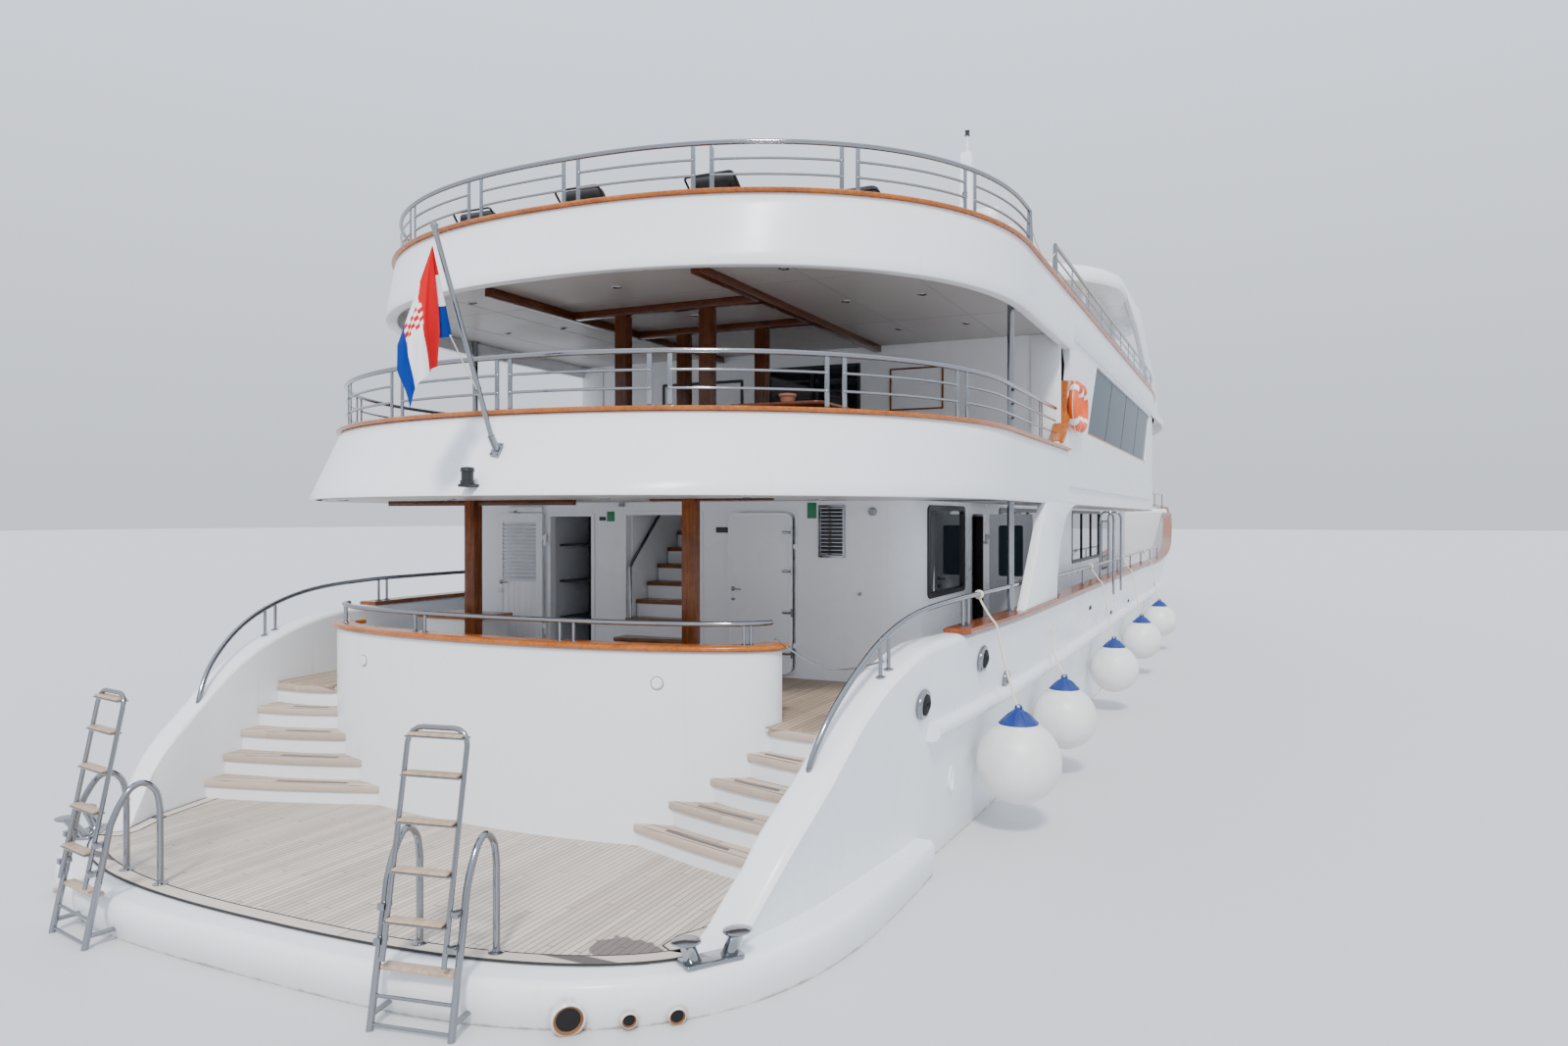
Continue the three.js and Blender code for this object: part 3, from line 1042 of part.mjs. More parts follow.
function makeWheelhouse() {
  const [z0, z1] = [LEVEL.sunDeck + SEAT, LEVEL.hardtopLow - SEAT];
  const shell = cut(rakedShell(0, z0, z1), rakedShell(WALL, z0 - 0.5, z1 + 0.5));
  const sideRooms = [[-1.0, 0.6], [1.0, 2.4]].map(([a, b]) => box(a, b, -5, 5, 7.55, 8.5));
  const frontRooms = [-2.0, -0.7, 0.7, 2.0].map((y) => box(3.2, 7, y - 0.52, y + 0.52, 7.55, 8.5));
  const aftDoor = box(-2, -1, -0.45, 0.45, 6.68, 8.6);
  addPiece('wheelhouse', cut(shell, ...sideRooms, ...frontRooms, aftDoor), MATERIAL.white);
  const inset = WALL + SEAT;
  const behind = box(-2, -1.1, -4, 4, 6, 9);
  const band = cut(rakedShell(inset, 7.45, 8.6), rakedShell(inset + GLASS, 7.0, 8.9), behind);
  addPiece('wheelhouse_glass', band, MATERIAL.glass);
}

function makeHardtop() {
  const fore = { apex: 4.6, shoulder: 0.0, half: HARDTOP.half, full: 2.2 };
  const levels = [
    [LEVEL.hardtopLow, 0.03], [LEVEL.hardtopLow + 0.06, 0], [9.2, 0.03], [9.36, 0.2], [LEVEL.hardtopTop, 0.7],
  ];
  const roof = loft(levels.map(([z, inset]) =>
    plan(HARDTOP, fore, inset).map(([x, y]) => [x, y, z])), [0, 1]);
  const fins = [PORT, STARBOARD].map((side) => sidePrism(FIN, side * FIN_Y[0], side * FIN_Y[1]));
  const posts = [PORT, STARBOARD].map((side) => post(-4.6, side * 3.3, LEVEL.sunDeck + SEAT, 9.0, 0.06, 10));
  addPiece('hardtop', join(roof, ...fins, ...posts), MATERIAL.white);
}

const MAST = { x: -2.3, top: 13.2, lightTop: 13.8 };
const SCANNER = { x: -1.35, z: 11.75 };

function makeMast() {
  const z0 = LEVEL.hardtopTop + SEAT;
  const column = loft([[z0, 0.3, 0.2], [MAST.top, 0.2, 0.14]].map(([z, a, b]) =>
    [[a, b], [-a, b], [-a, -b], [a, -b]].map(([dx, dy]) => [MAST.x + dx, dy, z])), [0, 1]);
  const shelf = box(MAST.x, SCANNER.x + 0.3, -0.25, 0.25, SCANNER.z - 0.14, SCANNER.z - 0.08);
  const bearing = post(SCANNER.x, 0, SCANNER.z - 0.1, SCANNER.z, 0.07, 10);
  const pole = post(MAST.x, 0, MAST.top - 0.1, MAST.lightTop, 0.03, 8);
  const lamp = turned([[0, 0], [0.09, 0.02], [0.09, 0.2], [0, 0.22]], MAST.x, 0, MAST.lightTop - 0.12, 8);
  addPiece('mast', join(column, shelf, bearing, pole, lamp), MATERIAL.white);
  const hub = post(SCANNER.x, 0, SCANNER.z + SEAT, SCANNER.z + 0.2, 0.09, 10);
  const bar = box(SCANNER.x - 0.07, SCANNER.x + 0.07, -0.62, 0.62, SCANNER.z + 0.12, SCANNER.z + 0.26);
  addPiece('radar_scanner', join(hub, bar), MATERIAL.white);
}

function makeDomes() {
  const z0 = LEVEL.hardtopTop + SEAT;
  const profile = (r, stem) => [[0, 0], [r * 0.45, 0], [r * 0.45, stem], [r, stem + r * 0.3], [r, stem + r],
    [r * 0.86, stem + r * 1.5], [r * 0.5, stem + r * 1.87], [0, stem + r * 2]];
  addPiece('dome_small', turned(profile(0.2, 0.95), -5.3, -1.3, z0, 14), MATERIAL.white);
  addPiece('dome_large', turned(profile(0.3, 0.85), -3.5, -1.3, z0, 14), MATERIAL.white);
}

// Swim ladders: a fixed frame of two hoops over the platform's rim, and a ladder that slides down inside it.
// Each stands square to the rounded rim and leans out at its foot.
const LADDER = {
  feet: [-23.21, 1.745], turn: 10, reach: 0.5, lean: 0.2, frameHalf: 0.31, slideHalf: 0.235, offset: 0.06,
  hoop: [[0, 1.2], [0.03, 1.35], [0.12, 1.44], [0.22, 1.42], [0.31, 1.3]], hoopJoins: 1.15, foot: 0.1,
  slideLow: 0.66, slideTop: 2.2, treads: [0.93, 1.25, 1.57, 1.88, 2.14], frameTread: 0.6, rung: 0.24,
};

// Platform frame: u outward from the feet, v along the rim, z up
function ladderPlace(side) {
  const turn = THREE.MathUtils.degToRad(LADDER.turn);
  const out = new THREE.Vector3(-Math.cos(turn), side * Math.sin(turn), 0);
  const along = new THREE.Vector3(0, 0, 1).cross(out);
  const place = new THREE.Matrix4().makeBasis(out, along, new THREE.Vector3(0, 0, 1));
  return place.setPosition(LADDER.feet[0], side * LADDER.feet[1], 0);
}

const ladderReach = (z) => LADDER.reach + (LEVEL.platform - z) * LADDER.lean;

function makeLadderFrame(side) {
  const { frameHalf, slideHalf, offset } = LADDER;
  const z0 = LEVEL.platform + TEAK + SEAT * 2;
  const line = [[0, z0], ...LADDER.hoop, ...[LADDER.hoopJoins, LADDER.foot].map((z) => [ladderReach(z), z])];
  const hoops = [-1, 1].map((s) => pipe(line.map(([u, z]) => [u, s * frameHalf, z]), 0.024, 7));
  const treadZ = LADDER.frameTread;
  const tread = pipe([-1, 1].map((s) => [ladderReach(treadZ) - 0.035, s * frameHalf, treadZ]), 0.03, 5);
  const rung = pipe([-1, 1].map((s) => [ladderReach(LADDER.rung), s * frameHalf, LADDER.rung]), 0.012, 5);
  const guides = [0.98, 0.76].flatMap((z) => [-1, 1].map((s) => {
    const edge = slideHalf + 0.018 + SEAT;
    const u = ladderReach(z);
    const [v0, v1] = [edge, frameHalf].map((v) => s * v).sort((a, b) => a - b);
    return box(u - 0.02, u + offset + 0.02, v0, v1, z, z + 0.05);
  }));
  const whole = join(...hoops, tread, rung, ...guides);
  addPiece(`ladder_frame_${sideName(side)}`, placed(whole, ladderPlace(side)), MATERIAL.steel);
}

function makeSwimLadder(side) {
  const half = LADDER.slideHalf;
  const at = (z) => ladderReach(z) + LADDER.offset;
  const path = [[-half, LADDER.slideLow], [-half, LADDER.slideTop - 0.1], [-half + 0.08, LADDER.slideTop],
    [half - 0.08, LADDER.slideTop], [half, LADDER.slideTop - 0.1], [half, LADDER.slideLow]];
  const arch = pipe(path.map(([v, z]) => [at(z), v, z]), 0.018, 7);
  const treads = LADDER.treads.map((z) => box(at(z) - 0.03, at(z) + 0.05, -half, half, z - 0.015, z + 0.015));
  addPiece(`swim_ladder_${sideName(side)}`, placed(join(arch, ...treads), ladderPlace(side)), MATERIAL.steel);
}

function makeBollard(side) {
  const [x, y, z0] = [-22.56, side * 3.5, LEVEL.platform + SEAT];
  const turn = THREE.MathUtils.degToRad(side * 33);
  const along = [Math.cos(turn) * 0.15, Math.sin(turn) * 0.15];
  const corners = [[-0.24, -0.07], [0.24, -0.07], [0.24, 0.07], [-0.24, 0.07]].map(([u, v]) =>
    [x + u * Math.cos(turn) - v * Math.sin(turn), y + u * Math.sin(turn) + v * Math.cos(turn)]);
  const stem = [[0, 0], [0.055, 0], [0.05, 0.2], [0.085, 0.24], [0.085, 0.28], [0, 0.28]];
  const stems = [-1, 1].map((s) => turned(stem, x + s * along[0], y + s * along[1], z0 + 0.015, 10));
  addPiece(`bollard_${sideName(side)}`, join(prism(corners, z0, z0 + 0.025), ...stems), MATERIAL.steel);
}

const STAFF = { foot: [-21.27, -0.42, 4.34], top: [-22.03, -0.42, 6.18], r: 0.022 };
const STERN_LIGHT_Y = -0.36;

function makeStaffAndLight() {
  const rake = (z) => UPPER_LOW.apex + ((UPPER_TOP.apex - UPPER_LOW.apex) * (z - LEVEL.upperSlabLow))
    / (LEVEL.upperFasciaTop - LEVEL.upperSlabLow);
  const room = fasciaBand({ ...UPPER_LOW, apex: UPPER_LOW.apex - SEAT * 1.5 },
    { ...UPPER_TOP, apex: UPPER_TOP.apex - SEAT * 1.5 }, LEVEL.upperSlabLow, LEVEL.upperFasciaTop, -13, 1.2);
  const y = STAFF.foot[1];
  const foot = box(STAFF.foot[0] - 0.08, rake(4.42) + 0.12, y - 0.06, y + 0.06, 4.29, 4.4);
  const staff = pipe([STAFF.foot, STAFF.top], STAFF.r, 8);
  const knob = [[0, 0], [0.04, 0.01], [0.04, 0.05], [0, 0.06]];
  const truck = turned(knob, STAFF.top[0], y, STAFF.top[2] - 0.02, 8);
  addPiece('flagstaff', join(cut(join(foot, staff), room), truck), MATERIAL.steel);
  const [lightY, lightZ] = [STERN_LIGHT_Y, 3.96];
  const face = rake(lightZ);
  const shelf = box(face - 0.16, face + 0.2, lightY - 0.08, lightY + 0.08, lightZ - 0.03, lightZ);
  const lamp = turned([[0, 0], [0.07, 0], [0.07, 0.14], [0.04, 0.17], [0, 0.17]], face - 0.08, lightY,
    lightZ - 0.01, 10);
  addPiece('stern_light', cut(join(shelf, lamp), room), MATERIAL.black);
}

function makeFlag() {
  const { foot, top } = STAFF;
  const lean = (z) => foot[0] + ((top[0] - foot[0]) * (z - foot[2])) / (top[2] - foot[2]);
  const hoist = STAFF.r * 1.1 + SEAT;
  const outline = [[lean(5.98) - hoist, 5.98], [lean(5.3) - hoist, 5.3], [lean(5.1) - 0.1, 4.72],
    [lean(5.1) - 0.42, 4.62], [lean(5.98) - 0.16, 5.5]];
  addPiece('flag', sidePrism(outline, STAFF.foot[1] - 0.06, STAFF.foot[1] + 0.06), MATERIAL.flag);
}

// Underwater gear
function shaftPoint(distance, side) {
  return [SHAFT.propX + distance, side * SHAFT.y, SHAFT.propZ + SHAFT.slope * distance];
}

function makeShaft(side) {
  const shaft = pipe([shaftPoint(PROP.length / 2 + SEAT, side), shaftPoint(7.5, side)], 0.055, 10);
  const [sx, sy, sz] = shaftPoint(0.55, side);
  const bearing = pipe([shaftPoint(0.4, side), shaftPoint(0.75, side)], 0.1, 10);
  const strut = box(sx - 0.1, sx + 0.1, sy - 0.03, sy + 0.03, sz, 0);
  const room = hullLoft(SEAT);
  addPiece(`shaft_${sideName(side)}`, cut(join(shaft, bearing, strut), room), MATERIAL.grey);
}

function makePropeller(side) {
  const hub = pipe([[-PROP.length / 2, 0, 0], [PROP.length / 2, 0, 0]], PROP.hub, 12);
  const blades = [];
  for (let i = 0; i < PROP.blades; i += 1) {
    const sections = [[0.05, 0.1, 60, 0.03], [0.3, 0.2, 42, 0.022], [0.5, 0.17, 30, 0.016], [PROP.r, 0.07, 24, 0.01]];
    const rings = sections
      .map(([r, chord, pitch, thick]) => {
        const twist = THREE.MathUtils.degToRad(pitch) * side;
        return [[chord, thick], [chord, -thick], [-chord, -thick], [-chord, thick]].map(([c, t]) =>
          [c * Math.sin(twist) + t * Math.cos(twist), c * Math.cos(twist) - t * Math.sin(twist), r]);
      });
    const blade = geometryOf(loft(rings, [0, 1]));
    blade.rotateX((2 * Math.PI * i) / PROP.blades);
    blades.push(solidOf(repairWinding(mergedOnly(blade))));
  }
  const whole = geometryOf(join(hub, ...blades));
  whole.rotateY(-Math.atan(SHAFT.slope));
  whole.translate(SHAFT.propX, side * SHAFT.y, SHAFT.propZ);
  addPiece(`propeller_${sideName(side)}`, solidOf(repairWinding(mergedOnly(whole))), MATERIAL.bronze);
}

function makeRudder(side) {
  const nose = RUDDER.chord * RUDDER.balance;
  const tail = RUDDER.chord - nose;
  const foil = [[nose, 0], [nose * 0.5, RUDDER.thick / 2], [-tail * 0.2, RUDDER.thick / 2], [-tail, 0.012],
    [-tail, -0.012], [-tail * 0.2, -RUDDER.thick / 2], [nose * 0.5, -RUDDER.thick / 2]];
  const blade = prism(foil.map(([x, y]) => [RUDDER.x + x, side * SHAFT.y + y]), RUDDER.low, RUDDER.high);
  const [low, high] = [RUDDER.high - 0.1, RUDDER.high + 0.06 - SEAT];
  const stock = post(RUDDER.x, side * SHAFT.y, low, high, RUDDER.stock, 12);
  addPiece(`rudder_${sideName(side)}`, join(blade, stock), MATERIAL.red);
}

function makeBowGear() {
  const z0 = LEVEL.foreDeck + SEAT;
  const drum = pipe([[17.4, -0.5, z0 + 0.4], [17.4, 0.5, z0 + 0.4]], 0.2, 12);
  const cheeks = [-0.3, 0.3].map((y) => box(17.15, 17.65, y - 0.06, y + 0.06, z0, z0 + 0.45));
  const bed = box(16.9, 17.9, -0.55, 0.55, z0, z0 + 0.06);
  addPiece('windlass', join(drum, ...cheeks, bed), MATERIAL.grey);
  const path = [];
  for (const x of [13.5, 15.5, 17.5, 19.5]) path.push(bowRailPoint(x, STARBOARD));
  path.push([bowShift(20.6, 4.4) + 0.3, 0, 5.0]);
  for (const x of [19.5, 17.5, 15.5, 13.5]) path.push(bowRailPoint(x, PORT));
  const posts = [13.5, 15.5, 17.5, 19.5].flatMap((x) => [PORT, STARBOARD].map((side) => {
    const [px, py, pz] = bowRailPoint(x, side);
    return post(px, py, hullColumn('top', x) + 0.02, pz, POST_R, 4);
  }));
  const caps = [PORT, STARBOARD].map((side) => capRoom(side));
  addPiece('bow_rail', cut(join(pipe(path, RAIL_R), ...posts), ...caps), MATERIAL.steel);
}

function bowRailPoint(x, side) {
  const top = hullColumn('top', x);
  return [bowShift(x, top), side * (hullColumn('rail', x) - 0.09), top + 0.5];
}

// Space of a bulwark cap near the bow, grown by a seat
function capRoom(side) {
  const rings = hullStations(12.5, 20.2).map((x) => {
    const top = hullColumn('top', x);
    const [outer, inner] = [hullColumn('rail', x) + 0.2, hullColumn('rail', x) - 0.5];
    const place = (y, z) => [bowShift(x, top), side * y, z];
    const [low, high] = [top - 0.3, top + SEAT * 2 + CAP_THICK];
    return [place(outer, low), place(outer, high), place(inner, high), place(inner, low)];
  });
  return loft(rings, [1, 2]);
}

makeHull();
makePlatformTeak();
makeTransom();
makeMainDeckTeak();
makeMainHouse();
makeMainHouseGlass();
makeInnerStair();
makeUpperDeck();
addPiece('upper_cap', capBand(UPPER_TOP, LEVEL.upperFasciaTop, UPPER_HOUSE.aftLow), MATERIAL.varnish);
makeUpperRail();
makeUpperHouse();
makeUpperGlass();
makeLoungeFrame();
makeSunDeck();
makeSunCap();
makeSunRails();
makeWheelhouse();
makeHardtop();
makeMast();
makeDomes();
makeStaffAndLight();
makeFlag();
makeBowGear();
makeEyeFender();
for (const name of Object.keys(DOOR_TABLE)) makeDoor(name);
for (const side of [PORT, STARBOARD]) {
  makeStair(side);
  makeBulwarkCap(side);
  makeAftPost(side);
  makeWingRail(side);
  makeSideRail(side);
  makeLadderFrame(side);
  makeSwimLadder(side);
  makeBollard(side);
  makeShaft(side);
  makePropeller(side);
  makeRudder(side);
}

export default yacht;
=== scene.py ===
"""Looks of a three-deck motor yacht at 1:2 scale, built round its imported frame.

Lengths in the classes are metres on the full-size ship; Piece writes them out at model scale.
The ship's frame: +X to the bow, +Y to port, +Z up. Heights start DATUM below the water's surface.
"""
import logging
import math
from dataclasses import dataclass, field
from enum import Enum
from functools import cached_property
from typing import Callable, Sequence

import bmesh
import bpy
from mathutils import Matrix, Vector


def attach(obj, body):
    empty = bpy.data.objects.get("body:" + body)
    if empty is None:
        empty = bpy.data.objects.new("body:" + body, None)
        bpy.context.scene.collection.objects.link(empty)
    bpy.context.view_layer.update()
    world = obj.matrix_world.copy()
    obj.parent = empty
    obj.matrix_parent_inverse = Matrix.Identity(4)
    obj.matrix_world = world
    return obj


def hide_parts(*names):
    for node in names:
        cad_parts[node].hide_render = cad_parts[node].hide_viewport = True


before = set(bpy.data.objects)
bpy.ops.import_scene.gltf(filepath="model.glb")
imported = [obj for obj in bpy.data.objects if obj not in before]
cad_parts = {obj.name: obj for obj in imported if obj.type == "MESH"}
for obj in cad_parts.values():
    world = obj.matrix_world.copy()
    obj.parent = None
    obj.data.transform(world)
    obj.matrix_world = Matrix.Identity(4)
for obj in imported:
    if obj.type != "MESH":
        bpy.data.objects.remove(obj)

logging.basicConfig(level=logging.INFO, format="%(message)s")
LOG = logging.getLogger("yacht")
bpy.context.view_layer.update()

K = 0.5  # model metres for one metre of ship
DATUM = 0.2
SEAT = 0.0006  # gap under a piece that stands on another
Point = tuple[float, float, float]
Plan = tuple[float, float]
Color = tuple[float, float, float, float]
Socket = bpy.types.NodeSocket


def model(spot: Sequence[float]) -> Vector:
    """A place in ship metres as a place in the frame."""
    return Vector((spot[0], spot[1], spot[2] - DATUM)) * K


class Side(Enum):
    """A side of the ship, with the sign of its y."""

    PORT = 1
    STARBOARD = -1

    @property
    def label(self) -> str:
        """Lower-case name for pieces."""
        return self.name.lower()


class Level(float, Enum):
    """Heights from the datum."""

    PLATFORM = 0.54
    MAIN_DECK = 1.68
    MAIN_PLANKS = 1.7012
    RAIL_TOP = 2.45
    SIDE_RAIL = 2.78
    FORE_DECK = 3.05
    UPPER_UNDER = 3.849
    UPPER_LOW = 3.85
    UPPER_DECK = 4.13
    UPPER_TOP = 4.66
    UPPER_RAIL = 5.23
    SUN_LOW = 6.2
    SUN_SLAB = 6.4
    SUN_DECK = 6.6
    SUN_TOP = 6.99
    SUN_RAIL = 7.53
    HARDTOP_LOW = 8.9
    HARDTOP_TOP = 9.45


class Graph:
    """A node tree with short ways to add its nodes."""

    def __init__(self, tree: bpy.types.NodeTree, shader: bpy.types.Node | None = None) -> None:
        """Holds a tree and the shader that it feeds, if it has one."""
        self.tree, self.shader = tree, shader

    def put(self, kind: str, inputs: dict | None = None, **settings: object) -> bpy.types.Node:
        """Adds a node.

        Args:
            kind: the node's type name after "ShaderNode".
            inputs: values or sockets for its inputs, by name or number.
            settings: the node's own properties.

        Returns:
            The new node.
        """
        node = self.tree.nodes.new(f"ShaderNode{kind}")
        for name, value in settings.items():
            setattr(node, name, value)
        for name, value in (inputs or {}).items():
            self.feed(node, name, value)
        return node

    def feed(self, node: bpy.types.Node, name: str | int, value: object) -> None:
        """Gives a node's input a value or a socket.

        Args:
            node: the node.
            name: name or number of its input.
            value: what goes in.
        """
        if isinstance(value, Socket):
            self.tree.links.new(value, node.inputs[name])
        else:
            node.inputs[name].default_value = value

    def shade(self, **values: object) -> None:
        """Feeds the graph's own shader; underscores stand for spaces."""
        for key, value in values.items():
            self.feed(self.shader, key.replace("_", " "), value)

    @cached_property
    def place(self) -> Socket:
        """Object coordinates."""
        return self.put("TexCoord").outputs["Object"]

    def calc(self, operation: str, a: object, b: object = 0.0) -> Socket:
        """One arithmetic step."""
        return self.put("Math", {0: a, 1: b}, operation=operation).outputs[0]

    def times(self, a: object, b: object) -> Socket:
        """The product of two values."""
        return self.calc("MULTIPLY", a, b)

    def plus(self, a: object, b: object) -> Socket:
        """The sum of two values."""
        return self.calc("ADD", a, b)

    def off_middle(self, a: object) -> Socket:
        """How far a value from 0 to 1 is from a half."""
        return self.calc("ABSOLUTE", self.calc("SUBTRACT", a, 0.5))

    def axis(self, vector: object, k: int) -> Socket:
        """One part of a vector."""
        return self.put("SeparateXYZ", {0: vector}).outputs[k]

    def mix(self, share: object, a: object, b: object) -> Socket:
        """Mixes two colours."""
        return self.put("Mix", {0: share, 6: a, 7: b}, data_type="RGBA").outputs[2]

    def remap(self, value: object, low: float, high: float, to_low: float = 0.0,
              to_high: float = 1.0) -> Socket:
        """Smooth ramp of a value between two limits."""
        return self.put("MapRange", {0: value, 1: low, 2: high, 3: to_low, 4: to_high},
                        interpolation_type="SMOOTHSTEP").outputs[0]

    def noise(self, vector: object, scale: float, detail: float = 3.0, rough: float = 0.55) -> Socket:
        """Noise value at a place."""
        return self.put("TexNoise", {"Vector": vector, "Scale": scale, "Detail": detail,
                                     "Roughness": rough}).outputs[0]

    def stretched(self, vector: object, scale: Point, turn: float = 0.0) -> Socket:
        """Coordinates stretched along each axis and turned about the vertical, in radians."""
        return self.put("Mapping", {0: vector, 2: (0, 0, turn), 3: scale}).outputs[0]

    def torn_reach(self, center: Point, scale: Point, turn: float, grain: float, amount: float) -> Socket:
        """Distance from a place on the ship, made ragged.

        Args:
            center: the place, in ship metres.
            scale: stretches the distance along each axis.
            turn: turns it about the vertical, in radians.
            grain: scale of the raggedness.
            amount: depth of the raggedness.

        Returns:
            The distance's socket.
        """
        offset = self.put("VectorMath", {0: self.place, 1: tuple(model(center))},
                          operation="SUBTRACT").outputs[0]
        flat = self.stretched(offset, scale, turn)
        reach = self.put("VectorMath", {0: flat}, operation="LENGTH").outputs["Value"]
        return self.plus(reach, self.times(self.noise(self.place, grain, 5, 0.7), amount))

    def bump(self, height: object, strength: float, distance: float) -> None:
        """Gives the shader a bump from a height."""
        self.shade(Normal=self.put("Bump", {"Height": height, "Strength": strength,
                                            "Distance": distance}).outputs[0])


def rgba(color: Sequence[float], share: float = 1.0) -> Color:
    """A colour with full alpha, darkened by a share."""
    return (*(c * share for c in color), 1.0)


def shader_group(name: str, outputs: Sequence[str], inputs: dict[str, tuple[str, object]],
                 build: Callable[[Graph, bpy.types.Node], dict[str, Socket]]) -> bpy.types.NodeTree:
    """A shared group of texture nodes, made once.

    Args:
        name: the group's name.
        outputs: names of its outputs, all single values.
        inputs: input names, socket types and default values.
        build: fills the group and returns a socket for each output.

    Returns:
        The group's tree.
    """
    known = bpy.data.node_groups.get(name)
    if known:
        return known
    group = bpy.data.node_groups.new(name, "ShaderNodeTree")
    for key, (kind, value) in inputs.items():
        group.interface.new_socket(key, in_out="INPUT", socket_type=kind).default_value = value
    for key in outputs:
        group.interface.new_socket(key, in_out="OUTPUT", socket_type="NodeSocketFloat")
    entry = group.nodes.new("NodeGroupInput")
    leave = group.nodes.new("NodeGroupOutput")
    for key, socket in build(Graph(group), entry).items():
        group.links.new(socket, leave.inputs[key])
    return group


def weather_group() -> bpy.types.NodeTree:
    """Masks of outdoor wear: broad patches, fine specks and upright runs.

    Returns:
        The group's tree.
    """

    def build(graph: Graph, _entry: bpy.types.Node) -> dict[str, Socket]:
        """Fills the group.

        Args:
            graph: the node graph to fill.
            _entry: the group's inputs, not used here.

        Returns:
            A socket for each output.
        """
        place = graph.place
        columns = graph.noise(graph.stretched(place, (9.0, 9.0, 0.35)), 2.0, 4, 0.7)
        broken = graph.noise(place, 2.2, 2)
        return {"Patches": graph.remap(graph.noise(place, 1.3, 4), 0.42, 0.7),
                "Specks": graph.remap(graph.noise(place, 60.0, 2), 0.62, 0.75),
                "Runs": graph.times(graph.remap(columns, 0.56, 0.74), graph.remap(broken, 0.42, 0.62)),
                "Waves": graph.noise(place, 0.9, 1)}

    return shader_group("weather", ("Patches", "Specks", "Runs", "Waves"), {}, build)


def plank_group() -> bpy.types.NodeTree:
    """Laid planks along X: seam mask, colour share of each plank and grain.

    Returns:
        The group's tree.
    """

    def build(graph: Graph, entry: bpy.types.Node) -> dict[str, Socket]:
        """Fills the group.

        Args:
            graph: the node graph to fill.
            entry: the group's inputs.

        Returns:
            A socket for each output.
        """
        place = entry.outputs["Vector"]
        row = graph.calc("DIVIDE", graph.axis(place, 1), entry.outputs["Width"])
        index = graph.calc("FLOOR", row)
        seam = graph.remap(graph.off_middle(graph.calc("FRACT", row)), 0.43, 0.452)
        stagger = graph.times(graph.calc("FRACT", graph.times(index, 0.379)), 3.1)
        run = graph.calc("DIVIDE", graph.plus(graph.axis(place, 0), stagger), 1.6)
        butt_seam = graph.calc("GREATER_THAN", graph.off_middle(graph.calc("FRACT", run)), 0.4988)
        pair = graph.put("CombineXYZ", {0: index, 1: graph.calc("FLOOR", run), 2: 0.0}).outputs[0]
        return {"Seam": graph.calc("MAXIMUM", seam, butt_seam),
                "Tone": graph.put("TexWhiteNoise", {0: pair}, noise_dimensions="3D").outputs[0],
                "Grain": graph.noise(graph.stretched(place, (2.5, 55.0, 12.0)), 4.0, 6, 0.65)}

    return shader_group("planks", ("Seam", "Tone", "Grain"), {"Vector": ("NodeSocketVector", (0, 0, 0)),
            "Width": ("NodeSocketFloat", 0.03)}, build)


class Finish:
    """A finish that can be made into a material once, with the record's slot that it belongs to; the slot is
    not used here.
    """

    name: str
    slot: str

    def fill(self, graph: Graph) -> None:
        """Adds the finish's nodes to a material."""
        raise NotImplementedError

    def material(self) -> bpy.types.Material:
        """The material of this finish.

        Returns:
            The material.
        """
        known = bpy.data.materials.get(self.name)
        if known:
            return known
        made = bpy.data.materials.new(self.name)
        made.use_nodes = True
        self.fill(Graph(made.node_tree, made.node_tree.nodes["Principled BSDF"]))
        return made


RUST: Color = (0.32, 0.13, 0.03, 1)
SPLASH_DIRT: Color = (0.5, 0.49, 0.42, 1)
SCUM: Color = (0.09, 0.1, 0.06, 1)
UNDER_WATER: Color = (0.17, 0.03, 0.025, 1)
RUST_SPOTS: tuple[tuple[Point, float], ...] = (
    ((-23.3, -2.774, 0.22), 0.13), ((-23.09, -3.119, 0.22), 0.075), ((-22.875, -3.365, 0.2), 0.08),
    ((-23.17, 3.0, 0.22), 0.075), ((-23.8, -1.535, 0.26), 0.09), ((-23.69, -2.145, 0.26), 0.1),
    ((-23.8, 1.535, 0.26), 0.09), ((-23.69, 2.145, 0.26), 0.1))


